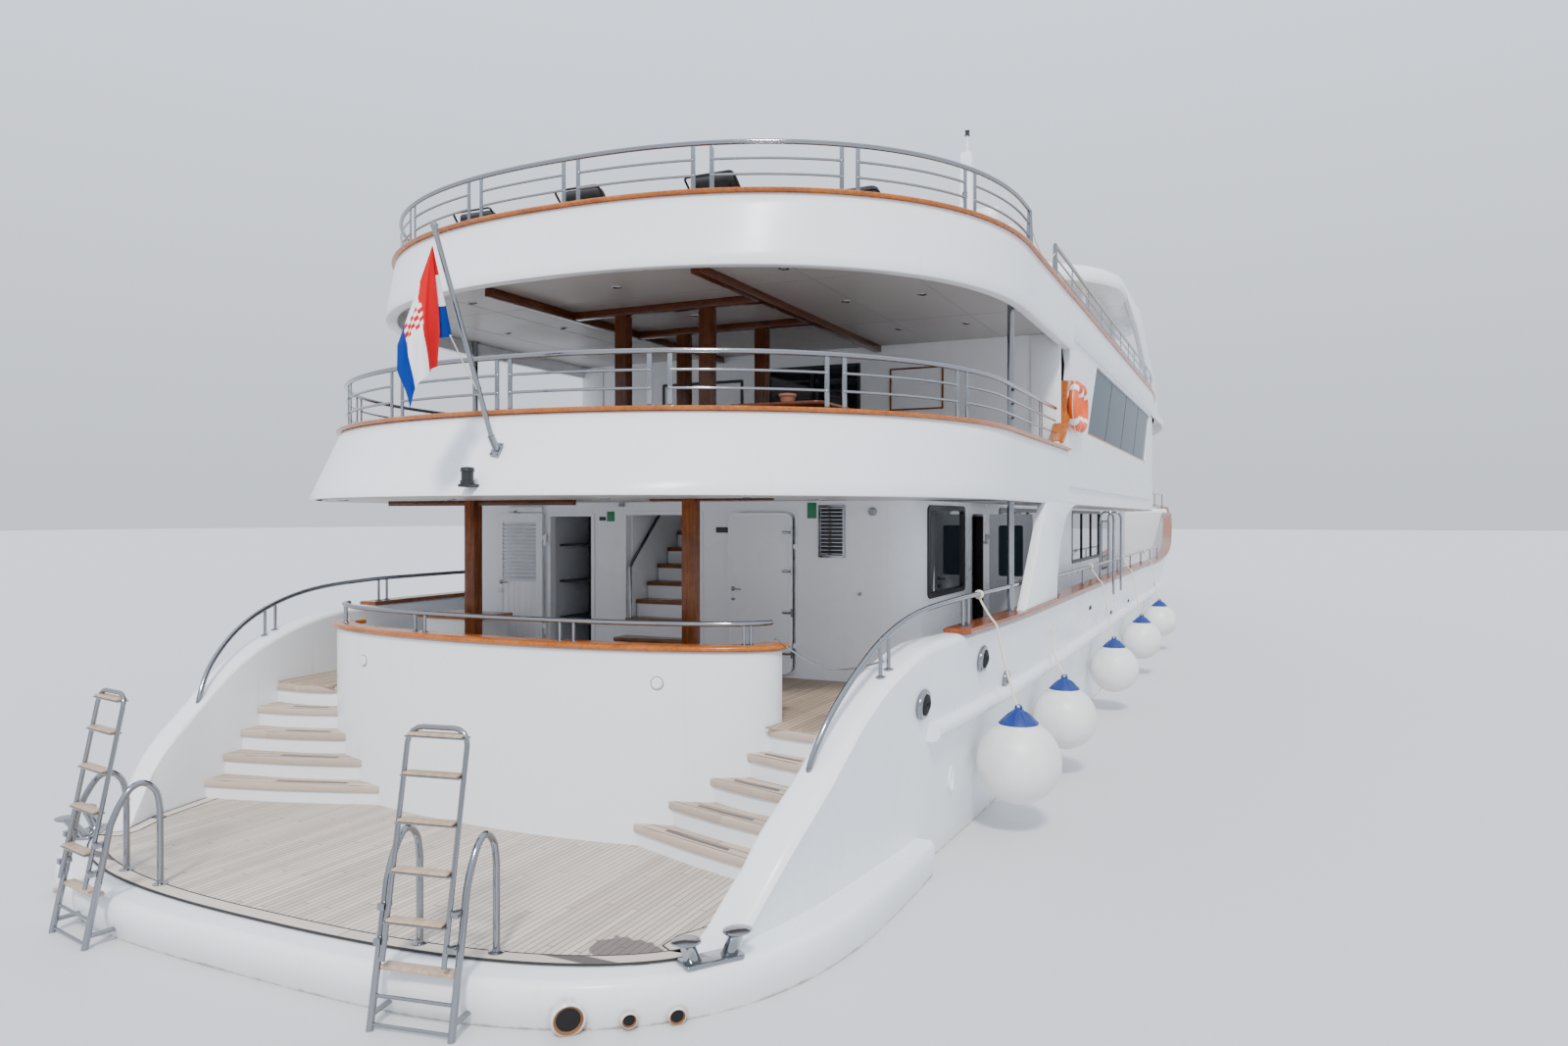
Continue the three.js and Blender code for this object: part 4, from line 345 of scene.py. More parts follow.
@dataclass(frozen=True)
class Paint(Finish):
    """Gloss marine paint with faint runs, dust and hand-faired waves."""

    name: str
    color: Point = (0.84, 0.865, 0.895)
    grime: Point = (0.55, 0.53, 0.48)
    dirt: float = 0.18
    gloss: float = 0.27
    waves: float = 0.25
    waterline: bool = False
    slot: str = "white_paint"

    def fill(self, graph: Graph) -> None:
        """Adds the paint's nodes.

        Args:
            graph: the node graph to fill.
        """
        wear = graph.put("Group", node_tree=weather_group()).outputs
        color = graph.mix(graph.times(wear["Patches"], self.dirt * 0.5), rgba(self.color),
                          rgba(self.color, 0.86))
        color = graph.mix(graph.times(wear["Runs"], self.dirt), color, rgba(self.grime))
        color = graph.mix(graph.times(wear["Specks"], self.dirt * 0.4), color, rgba(self.grime))
        if self.waterline:
            color = self._waterline(graph, color)
        graph.shade(Base_Color=color, Coat_Weight=0.06, Coat_Roughness=0.16, Specular_IOR_Level=0.3,
                    Roughness=graph.remap(wear["Patches"], 0.0, 1.0, self.gloss, self.gloss + 0.1))
        graph.bump(wear["Waves"], self.waves, 0.004)

    def _waterline(self, graph: Graph, color: Socket) -> Socket:
        """Scum line, splash dirt and rust under the exhaust pipes.

        Args:
            graph: the node graph to fill.
            color: the colour so far.

        Returns:
            The colour with them added.
        """
        z = graph.axis(graph.place, 2)
        ragged = graph.plus(z, graph.times(graph.noise(graph.place, 7.0, 5, 0.7), 0.05))
        splash = graph.times(graph.remap(ragged, 0.03, 0.16, 1.0, 0.0), 0.28)
        scum = graph.times(graph.remap(ragged, 0.018, 0.04, 1.0, 0.0), 0.75)
        color = graph.mix(scum, graph.mix(splash, color, SPLASH_DIRT), SCUM)
        color = graph.mix(graph.remap(z, -0.012, -0.004, 1.0, 0.0), color, UNDER_WATER)
        for center, radius in RUST_SPOTS:
            torn = graph.torn_reach(center, (1.0, 1.0, 0.62), 0.0, 26.0, radius * 0.35)
            color = graph.mix(graph.remap(torn, radius * 0.45, radius * 0.85, 0.7, 0.0), color, RUST)
        return color


@dataclass(frozen=True)
class TeakDeck(Finish):
    """Sun-bleached teak planks with dark caulked seams, along X unless turned by an angle in degrees."""

    name: str
    light: Point = (0.62, 0.54, 0.46)
    dark: Point = (0.45, 0.38, 0.31)
    seam: Point = (0.075, 0.065, 0.06)
    worn: Point = (0.56, 0.51, 0.45)
    damp: Point = (0.1, 0.08, 0.075)
    width: float = 0.031
    wet: bool = False
    turn: float = 0.0
    slot: str = "teak"

    def fill(self, graph: Graph) -> None:
        """Adds the planks' nodes.

        Args:
            graph: the node graph to fill.
        """
        laid = graph.stretched(graph.place, (1, 1, 1), math.radians(self.turn))
        planks = graph.put("Group", {"Vector": laid, "Width": self.width}, node_tree=plank_group()).outputs
        share = graph.plus(graph.times(planks["Tone"], 0.45), graph.times(planks["Grain"], 0.6))
        wood = graph.mix(graph.remap(share, 0.15, 0.85), rgba(self.dark), rgba(self.light))
        worn = graph.remap(graph.noise(graph.place, 1.1, 4), 0.4, 0.72)
        wood = graph.mix(graph.times(worn, 0.35), wood, rgba(self.worn))
        if self.wet:
            torn = graph.torn_reach((-22.72, -2.86, Level.PLATFORM), (1.35, 0.8, 1.0), 0.5, 9.0, 0.2)
            wood = graph.mix(graph.remap(torn, 0.215, 0.23, 0.85, 0.0), wood, rgba(self.damp))
        level = graph.calc("GREATER_THAN", graph.axis(graph.put("NewGeometry").outputs["Normal"], 2), 0.7)
        line = graph.times(planks["Seam"], graph.times(level, 0.95))
        graph.shade(Base_Color=graph.mix(line, wood, rgba(self.seam)), Roughness=0.72)
        graph.bump(graph.calc("SUBTRACT", graph.times(planks["Grain"], 0.3), planks["Seam"]), 0.35, 0.0012)


@dataclass(frozen=True)
class Varnish(Finish):
    """Varnished mahogany: long grain, warm colour, clear coat."""

    name: str
    light: Point = (0.5, 0.15, 0.022)
    dark: Point = (0.26, 0.06, 0.008)
    along: Point = (3.0, 30.0, 30.0)
    gloss: float = 0.22
    slot: str = "varnish"

    def fill(self, graph: Graph) -> None:
        """Adds the wood's nodes.

        Args:
            graph: the node graph to fill.
        """
        grain = graph.noise(graph.stretched(graph.place, self.along), 2.2, 7, 0.65)
        figure = graph.noise(graph.stretched(graph.place, (1.2, 5.0, 5.0)), 1.5, 3)
        share = graph.plus(graph.times(grain, 0.7), graph.times(figure, 0.45))
        graph.shade(Base_Color=graph.mix(graph.remap(share, 0.34, 0.8), rgba(self.dark), rgba(self.light)),
                    Roughness=self.gloss, Coat_Weight=0.12, Coat_Roughness=0.12, Specular_IOR_Level=0.25)
        graph.bump(grain, 0.12, 0.0008)


@dataclass(frozen=True)
class Steel(Finish):
    """Polished stainless steel with faint haze and tea stains."""

    name: str
    color: Point = (0.28, 0.29, 0.31)
    tea: Point = (0.42, 0.31, 0.2)
    gloss: float = 0.08
    stain: float = 0.12
    slot: str = "stainless"

    def fill(self, graph: Graph) -> None:
        """Adds the metal's nodes.

        Args:
            graph: the node graph to fill.
        """
        haze = graph.noise(graph.place, 14.0, 4)
        stain = graph.times(graph.remap(haze, 0.5, 0.8), self.stain)
        graph.shade(Base_Color=graph.mix(stain, rgba(self.color), rgba(self.tea)), Metallic=1.0,
                    Roughness=graph.remap(haze, 0.3, 0.8, self.gloss, self.gloss + 0.14))


@dataclass(frozen=True)
class Glass(Finish):
    """Dark tinted glass with soft smears; with a blue-grey colour and its reflection turned down, it carries
    a painted reflection of the sky instead.
    """

    name: str
    tint: Point = (0.012, 0.017, 0.022)
    shine: float = 0.5
    bend: float = 1.5
    slot: str = "tinted_glass"

    def fill(self, graph: Graph) -> None:
        """Adds the glass's nodes.

        Args:
            graph: the node graph to fill.
        """
        smear = graph.remap(graph.noise(graph.place, 3.0, 5, 0.7), 0.45, 0.85, 0.02, 0.12)
        graph.shade(Base_Color=rgba(self.tint), Roughness=smear, IOR=self.bend, Coat_Weight=self.shine,
                    Coat_Roughness=0.02)
        graph.bump(graph.noise(graph.place, 0.7, 1), 0.05, 0.01)


@dataclass(frozen=True)
class Plain(Finish):
    """An even material with a little tooth, for rubber, plastic, rope and cloth."""

    name: str
    color: Point
    gloss: float = 0.5
    slot: str = "lamp_black"
    metal: float = 0.0
    tooth: float = 0.2
    grain: float = 90.0
    mottle: float = 0.12

    def fill(self, graph: Graph) -> None:
        """Adds the material's nodes.

        Args:
            graph: the node graph to fill.
        """
        patch = graph.times(graph.remap(graph.noise(graph.place, 5.0, 4), 0.4, 0.75), self.mottle)
        graph.shade(Base_Color=graph.mix(patch, rgba(self.color), rgba(self.color, 0.55)),
                    Roughness=self.gloss, Metallic=self.metal)
        graph.bump(graph.noise(graph.place, self.grain, 2), self.tooth, 0.0006)


@dataclass(frozen=True)
class FlagCloth(Finish):
    """Woven flag cloth: three bars along the fly, with a red and white check in the middle."""

    name: str
    red: Point = (0.6, 0.006, 0.012)
    white: Point = (0.85, 0.84, 0.84)
    blue: Point = (0.008, 0.035, 0.25)
    slot: str = "flag_cloth"

    def fill(self, graph: Graph) -> None:
        """Adds the cloth's nodes.

        Args:
            graph: the node graph to fill.
        """
        way = graph.put("TexCoord").outputs["UV"]
        down = graph.calc("SUBTRACT", 1.0, graph.axis(way, 1))
        color = graph.mix(graph.calc("GREATER_THAN", down, 0.333), rgba(self.red), rgba(self.white))
        color = graph.mix(graph.calc("GREATER_THAN", down, 0.667), color, rgba(self.blue))
        check = graph.put("TexChecker", {0: graph.stretched(way, (25.0, 16.0, 1.0)), 1: rgba(self.red),
                                         2: rgba(self.white), 3: 1.0}).outputs[0]
        wide = graph.calc("LESS_THAN", graph.off_middle(graph.axis(way, 0)), 0.1)
        high = graph.calc("LESS_THAN", graph.off_middle(down), 0.1875)
        graph.shade(Base_Color=graph.mix(graph.times(wide, high), color, check), Roughness=0.9,
                    Specular_IOR_Level=0.1)
        weave = graph.put("TexWave", {"Vector": way, "Scale": 160.0, "Distortion": 0.5}).outputs[1]
        graph.bump(weave, 0.15, 0.0004)


UPRIGHT_GRAIN: Point = (30.0, 30.0, 2.5)
STAIR_TURN = 17  # degrees that the treads' planks lean from straight across


@dataclass(frozen=True)
class Finishes:
    """Every finish on the ship."""

    hull: Paint = Paint("hull_enamel", waterline=True, dirt=0.3)
    white: Paint = Paint("white_enamel")
    # The ceiling panels are white; painting them mid-grey here is painted shade for the shade under the
    # decks.
    ceiling: Paint = Paint("ceiling_painted_shade", color=(0.5, 0.485, 0.475), gloss=0.4, dirt=0.08)
    platform_teak: TeakDeck = TeakDeck("platform_planks", wet=True)
    margin_teak: TeakDeck = TeakDeck("margin_planks", (0.68, 0.6, 0.52), (0.54, 0.46, 0.39), width=0.5,
                                     turn=90)
    deck_teak: TeakDeck = TeakDeck("deck_planks", (0.46, 0.35, 0.25), (0.3, 0.22, 0.15))
    tread_teak: dict[Side, TeakDeck] = field(default_factory=lambda: {
        side: TeakDeck(f"tread_planks_{side.label}", (0.56, 0.45, 0.36), (0.42, 0.33, 0.26), width=0.055,
                       turn=90 - STAIR_TURN * side.value) for side in Side})
    cap_wood: Varnish = Varnish("cap_mahogany")
    post_wood: Varnish = Varnish("post_mahogany", (0.25, 0.075, 0.018), (0.1, 0.025, 0.006), UPRIGHT_GRAIN)
    lounge_wood: Varnish = Varnish("lounge_mahogany", (0.14, 0.042, 0.014), (0.06, 0.017, 0.007),
                                   UPRIGHT_GRAIN)
    bulwark_wood: Varnish = Varnish("bulwark_mahogany", (0.33, 0.09, 0.025), (0.15, 0.035, 0.01))
    dark_wood: Varnish = Varnish("beam_mahogany", (0.13, 0.036, 0.012), (0.055, 0.014, 0.006))
    stair_wood: Varnish = Varnish("stair_wood", (0.27, 0.11, 0.045), (0.12, 0.045, 0.018), (30.0, 3.0, 30.0))
    tread_wood: Varnish = Varnish("tread_wood", (0.55, 0.42, 0.3), (0.36, 0.25, 0.16), (20.0, 20.0, 20.0),
                                  0.45, "teak")
    steel: Steel = Steel("polished_stainless")
    glass: Glass = Glass("tinted_pane")
    # No coat and an IOR near 1 leave this glass almost without reflection; its blue-grey colour is a painted
    # reflection of the sky.
    painted_sky_glass: Glass = Glass("saloon_glass_painted_sky", tint=(0.04, 0.065, 0.09), shine=0.0, bend=1.06)
    flag: FlagCloth = FlagCloth("ensign_cloth")
    black: Plain = Plain("black_plastic", (0.012, 0.013, 0.015), 0.4)
    rubber: Plain = Plain("black_rubber", (0.02, 0.02, 0.022), 0.65)
    # Near-black for soot in the exhaust bores, and painted shade on discs that stand for the dark insides of
    # pipes, fairleads and scuppers.
    soot_and_hole_shade: Plain = Plain("soot_and_hole_shade_black", (0.006, 0.005, 0.005), 0.9)
    tread_grip: Plain = Plain("grip_tape", (0.16, 0.13, 0.11), 0.9, tooth=0.7, grain=300.0)
    rope: Plain = Plain("pale_rope", (0.72, 0.66, 0.56), 0.85, "fender_vinyl", tooth=0.6, grain=220.0)
    fender: Plain = Plain("fender_skin", (0.8, 0.79, 0.76), 0.38, "fender_vinyl", mottle=0.25, tooth=0.05)
    fender_blue: Plain = Plain("fender_blue", (0.006, 0.03, 0.2), 0.4, "fender_vinyl")
    orange: Plain = Plain("lifebuoy_orange", (0.85, 0.1, 0.006), 0.5, "fender_vinyl")
    green: Plain = Plain("green_plastic", (0.02, 0.2, 0.09), 0.4, "machinery_grey")
    # Near-black painted shade for the back wall and shelves of the unlit store.
    store_shade: Plain = Plain("room_painted_shade", (0.06, 0.07, 0.08), 0.7, "machinery_grey")
    grey: Plain = Plain("grey_enamel", (0.3, 0.32, 0.34), 0.45, "machinery_grey")
    rust: Plain = Plain("rusty_enamel", (0.2, 0.085, 0.03), 0.75, "stainless", tooth=0.6, grain=40.0,
                        mottle=1.0)
    bronze: Plain = Plain("propeller_bronze", (0.5, 0.3, 0.12), 0.3, "bronze", metal=1.0)
    antifoul: Plain = Plain("red_antifouling", (0.2, 0.03, 0.025), 0.75, "antifouling")
    cushion: Plain = Plain("dark_cushion", (0.025, 0.028, 0.032), 0.8, "flag_cloth", tooth=0.5, grain=160.0)
    canvas: Plain = Plain("grey_canvas", (0.045, 0.05, 0.055), 0.85, "flag_cloth", tooth=0.5, grain=160.0)
    clay: Plain = Plain("clay_pot", (0.3, 0.12, 0.07), 0.7, "varnish")
    floor: Plain = Plain("studio_floor", (0.62, 0.63, 0.64), 0.6, tooth=0.0, mottle=0.02)


FINISH = Finishes()


# Mesh helpers


def between(table: Sequence[Plan], x: float) -> float:
    """Straight-line value of a table of (x, value) rows.

    Args:
        table: rows in rising order.
        x: where the value is wanted.

    Returns:
        The value.
    """
    i = 0
    while i < len(table) - 2 and x > table[i + 1][0]:
        i += 1
    (xa, ya), (xb, yb) = table[i], table[i + 1]
    return ya + (yb - ya) * (x - xa) / (xb - xa)


def curve_through(points: Sequence[Sequence[float]], steps: int = 6) -> list[Vector]:
    """A smooth line through a row of points.

    Args:
        points: the points, in order.
        steps: pieces of line between two points.

    Returns:
        The finer row of points.
    """
    path = [Vector(p) for p in points]
    ends = [path[0] * 2 - path[1], *path, path[-1] * 2 - path[-2]]
    fine = []
    for i in range(1, len(ends) - 2):
        a, b, c, d = ends[i - 1:i + 3]
        for k in range(steps):
            t = k / steps
            fine.append(0.5 * ((2 * b) + (c - a) * t + (2 * a - 5 * b + 4 * c - d) * t * t
                               + (3 * b - 3 * c + d - a) * t ** 3))
    return [*fine, path[-1]]


def arc(center: Plan, radius: Plan, start: float, end: float, steps: int) -> list[Plan]:
    """Points on an arc, angles in degrees."""
    turns = [math.radians(start + (end - start) * i / steps) for i in range(steps + 1)]
    return [(center[0] + radius[0] * math.cos(t), center[1] + radius[1] * math.sin(t)) for t in turns]


def rounded_rect(u0: float, u1: float, v0: float, v1: float, r: float, steps: int = 5) -> list[Plan]:
    """Outline of a rectangle with round corners.

    Args:
        u0: its first end.
        u1: its last end.
        v0: its lower edge.
        v1: its upper edge.
        r: the corners' radius.
        steps: steps of each round part.

    Returns:
        The outline's points.
    """
    corners = (((u1 - r, v1 - r), 0), ((u0 + r, v1 - r), 90), ((u0 + r, v0 + r), 180),
               ((u1 - r, v0 + r), 270))
    return [p for center, turn in corners for p in arc(center, (r, r), turn, turn + 90, steps)]


def rounded_polygon(points: Sequence[Plan], radius: float, steps: int = 5) -> list[Plan]:
    """A polygon with each corner rounded off.

    Args:
        points: its corners.
        radius: the corners' radius.
        steps: steps of each round part.

    Returns:
        The outline's points.
    """
    made: list[Plan] = []
    count = len(points)
    for i in range(count):
        here = Vector(points[i])
        back = Vector(points[i - 1]) - here
        ahead = Vector(points[(i + 1) % count]) - here
        reach = min(radius, back.length * 0.45, ahead.length * 0.45)
        a, b = here + back.normalized() * reach, here + ahead.normalized() * reach
        for k in range(steps + 1):
            t = k / steps
            made.append(tuple(a * (1 - t) ** 2 + here * 2 * t * (1 - t) + b * t * t))
    return made


@dataclass(frozen=True)
class SternForm:
    """A rounded end in plan: its apex, where its sides run straight, half width and fullness."""

    apex: float
    shoulder: float
    half: float
    full: float

    def shifted(self, apex: float = 0.0, side: float = 0.0) -> "SternForm":
        """The form with its apex moved along x and its sides moved in."""
        return SternForm(self.apex + apex, self.shoulder, self.half - side, self.full)

    def inward(self, inset: float) -> float:
        """An inset along x, with its sign towards the shoulder."""
        return math.copysign(inset, self.shoulder - self.apex)

    def rounded(self, inset: float = 0.0, steps: int = 96) -> list[Plan]:
        """The rounded end from starboard to port.

        Args:
            inset: distance inwards from the edge.
            steps: steps of each round part.

        Returns:
            The line's points.
        """
        reach = self.shoulder - self.apex - self.inward(inset)
        made = []
        for i in range(steps + 1):
            turn = -math.pi / 2 + math.pi * i / steps
            across = math.copysign(abs(math.sin(turn)) ** (2 / self.full), math.sin(turn))
            along = 0.0 if i in (0, steps) else abs(math.cos(turn)) ** (2 / self.full)
            made.append((self.shoulder - reach * along, across * (self.half - inset)))
        return made

    def line(self, x_end: float, inset: float = 0.0, steps: int = 96) -> list[Plan]:
        """The rounded end with straight sides that run to x_end."""
        half = self.half - inset
        return [(x_end, -half), *self.rounded(inset, steps), (x_end, half)]

    def half_at(self, x: float) -> float:
        """Half width of the line at a given x."""
        share = max((x - self.shoulder) / (self.apex - self.shoulder), 0.0)
        return self.half * (1 - share ** self.full) ** (1 / self.full)

    def at(self, y: float, inset: float = 0.0) -> float:
        """x of the line at a given y.

        Args:
            y: the place across the ship.
            inset: distance inwards from the edge.

        Returns:
            The place along the ship.
        """
        share = min(abs(y) / (self.half - inset), 1.0)
        reach = self.shoulder - self.apex - self.inward(inset)
        return self.shoulder - reach * (1 - share ** self.full) ** (1 / self.full)


def soften(part: bmesh.types.BMesh, edges: Sequence[bmesh.types.BMEdge], offset: float,
           segments: int = 2) -> None:
    """Rounds a solid's edges."""
    bmesh.ops.bevel(part, geom=edges, offset=offset, offset_type="OFFSET", segments=segments, profile=0.5,
                    affect="EDGES", material=-1)


def standing(spot: Sequence[float], axis: Sequence[float]) -> Matrix:
    """Turns an upright shape along an axis and moves it to a spot."""
    return Matrix.Translation(spot) @ Vector((0, 0,
            1)).rotation_difference(Vector(axis)).to_matrix().to_4x4()


class Piece:
    """One object of the scene, gathered from simple solids in ship metres."""

    def __init__(self, name: str, finish: Finish, body: str = "ship") -> None:
        """Starts an empty piece.

        Args:
            name: the object's name.
            finish: what it is made of.
            body: the moving body that carries it.
        """
        self.name, self.finish, self.body = name, finish, body
        self.mesh = bmesh.new()
        self.place: Matrix | None = None

    def take(self, part: bmesh.types.BMesh, matrix: Matrix | None = None) -> "Piece":
        """Adds a finished solid.

        Args:
            part: the solid, which is freed.
            matrix: moves it first.

        Returns:
            This piece.
        """
        bmesh.ops.recalc_face_normals(part, faces=part.faces[:])
        return self._join(part, matrix, self.place)

    def _join(self, part: bmesh.types.BMesh, *moves: Matrix | None) -> "Piece":
        """Adds a bmesh, moved by each matrix in turn, and frees it.

        Args:
            part: the bmesh.
            moves: the matrices; an empty one is passed over.

        Returns:
            This piece.
        """
        mesh = bpy.data.meshes.new("part")
        part.to_mesh(mesh)
        part.free()
        for move in moves:
            if move is not None:
                mesh.transform(move)
                if move.determinant() < 0:
                    mesh.flip_normals()
        self.mesh.from_mesh(mesh)
        bpy.data.meshes.remove(mesh)
        return self

    def skin(self, rings: Sequence[Sequence[Sequence[float]]], closed: bool = True, caps: bool = True,
             matrix: Matrix | None = None) -> "Piece":
        """A skin drawn over a row of sections.

        Args:
            rings: sections with equal counts of points.
            closed: whether each section is a closed loop.
            caps: whether both ends are closed.
            matrix: moves the skin.

        Returns:
            This piece.
        """
        part = bmesh.new()
        row = [part.verts.new(p) for p in rings[0]]
        count = len(row)
        edges = [part.edges.new((row[i], row[(i + 1) % count]))
                 for i in range(count if closed else count - 1)]
        first = edges
        for ring in rings[1:]:
            order = {v: i for i, v in enumerate(row)}
            grown = bmesh.ops.extrude_edge_only(part, edges=edges)["geom"]
            edges = [g for g in grown if isinstance(g, bmesh.types.BMEdge)]
            fresh: list = [None] * count
            for vert in (g for g in grown if isinstance(g, bmesh.types.BMVert)):
                for edge in vert.link_edges:
                    other = edge.other_vert(vert)
                    if other in order:
                        fresh[order[other]] = vert
            for vert, spot in zip(fresh, ring):
                vert.co = spot
            row = fresh
            edges = [e for e in edges if e.verts[0] in set(row) and e.verts[1] in set(row)]
        if caps and closed:
            for loop in (first, edges):
                bmesh.ops.contextual_create(part, geom=loop)
        bmesh.ops.remove_doubles(part, verts=part.verts[:], dist=1e-6)
        return self.take(part, matrix)

    def tube(self, points: Sequence[Sequence[float]], radius: float | Sequence[float], sides: int = 12,
             matrix: Matrix | None = None) -> "Piece":
        """A round bar along a row of points, mitred at its turns.

        Args:
            points: the middle line.
            radius: one radius, or one for each point.
            sides: facets round the bar.
            matrix: moves the bar.

        Returns:
            This piece.
        """
        path = [Vector(p) for p in points]
        radii = list(radius) if isinstance(radius, (list, tuple)) else [radius] * len(path)
        legs = [(b - a).normalized() for a, b in zip(path, path[1:])]
        across = Vector((1, 0, 0)) if abs(legs[0].z) > 0.9 else Vector((0, 0, 1))
        rings = []
        for i, spot in enumerate(path):
            before, after = legs[max(i - 1, 0)], legs[min(i, len(legs) - 1)]
            plane = (before + after).normalized()
            across = (across - before * across.dot(before)).normalized()
            up = before.cross(across)
            ring = []
            for k in range(sides):
                turn = 2 * math.pi * k / sides
                spoke = across * (radii[i] * math.cos(turn)) + up * (radii[i] * math.sin(turn))
                spoke -= before * (spoke.dot(plane) / before.dot(plane))
                ring.append(spot + spoke)
            rings.append(ring)
        return self.skin(rings, matrix=matrix)

    def box(self, x0: float, x1: float, y0: float, y1: float, z0: float, z1: float, bevel: float = 0.004,
            matrix: Matrix | None = None, segments: int = 2) -> "Piece":
        """A block with softened edges.

        Args:
            x0: its aft end.
            x1: its fore end.
            y0: its starboard end.
            y1: its port end.
            z0: its bottom.
            z1: its top.
            bevel: width of the softened edges.
            matrix: moves the whole shape, if given.
            segments: steps of the softened edges.

        Returns:
            This piece.
        """
        part = bmesh.new()
        size = Matrix.Diagonal((abs(x1 - x0), abs(y1 - y0), abs(z1 - z0), 1))
        spot = Matrix.Translation(((x0 + x1) / 2, (y0 + y1) / 2, (z0 + z1) / 2))
        bmesh.ops.create_cube(part, size=1, matrix=spot @ size)
        if bevel:
            soften(part, part.edges[:], bevel, segments)
        return self.take(part, matrix)

    def prism(self, outline: Sequence[Plan], z0: float, z1: float, bevel: float = 0.0,
              matrix: Matrix | None = None) -> "Piece":
        """An outline in plan raised from z0 to z1, its rims softened by bevel.

        Args:
            outline: its points.
            z0: its bottom.
            z1: its top.
            bevel: width of the softened edges.
            matrix: moves the whole shape, if given.

        Returns:
            This piece.
        """
        part = bmesh.new()
        verts = [part.verts.new((u, v, z0)) for u, v in outline]
        face = part.faces.new(verts)
        raised = bmesh.ops.extrude_face_region(part, geom=[face], use_keep_orig=True)["geom"]
        bmesh.ops.translate(part, vec=(0, 0, z1 - z0),
                            verts=[g for g in raised if isinstance(g, bmesh.types.BMVert)])
        bmesh.ops.recalc_face_normals(part, faces=part.faces[:])
        if bevel:
            rims = [e for e in part.edges if abs(e.verts[0].co.z - e.verts[1].co.z) < 1e-6]
            soften(part, rims, bevel)
        return self.take(part, matrix)

    def side_prism(self, outline: Sequence[Plan], y0: float, y1: float, bevel: float = 0.0) -> "Piece":
        """An outline in side view (x, z) from y0 to y1.

        Args:
            outline: its points.
            y0: its starboard end.
            y1: its port end.
            bevel: width of the softened edges.

        Returns:
            This piece.
        """
        low, high = min(y0, y1), max(y0, y1)
        stand = Matrix(((1, 0, 0, 0), (0, 0, -1, 0), (0, 1, 0, 0), (0, 0, 0, 1)))
        return self.prism(outline, -high, -low, bevel, stand)

    def lathe(self, profile: Sequence[Plan], spot: Sequence[float] = (0, 0, 0),
              axis: Sequence[float] = (0, 0, 1), sides: int = 24) -> "Piece":
        """A turned solid from a profile of (radius, height) along an axis.

        Args:
            profile: its points, from one end to the other.
            spot: the foot of its axis.
            axis: direction that it stands along.
            sides: faces round the section.

        Returns:
            This piece.
        """
        part = bmesh.new()
        verts = [part.verts.new((r, 0, h)) for r, h in profile]
        edges = [part.edges.new(pair) for pair in zip(verts, verts[1:])]
        bmesh.ops.spin(part, geom=[*verts, *edges], cent=(0, 0, 0), axis=(0, 0, 1), angle=2 * math.pi,
                       steps=sides, use_merge=True)
        bmesh.ops.remove_doubles(part, verts=part.verts[:], dist=1e-5)
        return self.take(part, standing(spot, axis))

    def ball(self, spot: Sequence[float], radius: float | Point, sides: int = 24,
             matrix: Matrix | None = None) -> "Piece":
        """A ball or an egg with three radii.

        Args:
            spot: its middle.
            radius: one radius, or one along each axis.
            sides: faces round its middle.
            matrix: moves the whole shape, if given.

        Returns:
            This piece.
        """
        part = bmesh.new()
        radii = radius if isinstance(radius, tuple) else (radius,) * 3
        shape = Matrix.Translation(spot) @ Matrix.Diagonal((*radii, 1))
        bmesh.ops.create_uvsphere(part, u_segments=sides, v_segments=sides // 2, radius=1, matrix=shape)
        return self.take(part, matrix)

    def torus(self, spot: Sequence[float], axis: Sequence[float], major: float, minor: float,
              stretch: float = 1.0, sides: int = 12, around: int = 36,
              sweep: tuple[float, float] = (0, 360)) -> "Piece":
        """A ring, or an oval when stretched, or part of one.

        Args:
            spot: its middle.
            axis: the ring's axis.
            major: the ring's radius.
            minor: the tube's radius.
            stretch: length of the oval as a share of its width.
            sides: faces round the tube.
            around: steps round the ring.
            sweep: first and last angle, in degrees.

        Returns:
            This piece.
        """
        rings = []
        for i in range(around + 1):
            angle = math.radians(sweep[0] + (sweep[1] - sweep[0]) * i / around)
            spoke = Vector((math.cos(angle), math.sin(angle), 0))
            middle = Vector((spoke.x * major * stretch, spoke.y * major, 0))
            rings.append([middle + spoke * minor * math.cos(t) + Vector((0, 0, minor * math.sin(t)))
                          for t in (2 * math.pi * k / sides for k in range(sides))])
        whole = abs(sweep[1] - sweep[0]) >= 360
        if whole:
            rings[-1] = rings[0]
        return self.skin(rings, caps=not whole, matrix=standing(spot, axis))

    def band(self, line: Callable[[float, float], Sequence[Plan]], section: Sequence[Plan]) -> "Piece":
        """A wall that follows a line in plan.

        Args:
            line: gives the line's points for an inset and a height.
            section: (inset, height) points round the wall's section.

        Returns:
            This piece.
        """
        tracks = [[(x, y, z) for x, y in line(inset, z)] for inset, z in section]
        return self.skin([[track[i] for track in tracks] for i in range(len(tracks[0]))])

    def copy_node(self, node: str) -> "Piece":
        """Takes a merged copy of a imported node's mesh.

        Args:
            node: the node's name.

        Returns:
            This piece.
        """
        part = bmesh.new()
        part.from_mesh(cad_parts[node].data)
        bmesh.ops.remove_doubles(part, verts=part.verts[:], dist=2e-5)
        bmesh.ops.dissolve_limit(part, angle_limit=math.radians(1.0), verts=part.verts[:],
                                 edges=part.edges[:])
        bmesh.ops.scale(part, vec=(1 / K,) * 3, verts=part.verts[:])
        bmesh.ops.translate(part, vec=(0, 0, DATUM), verts=part.verts[:])
        return self._join(part)

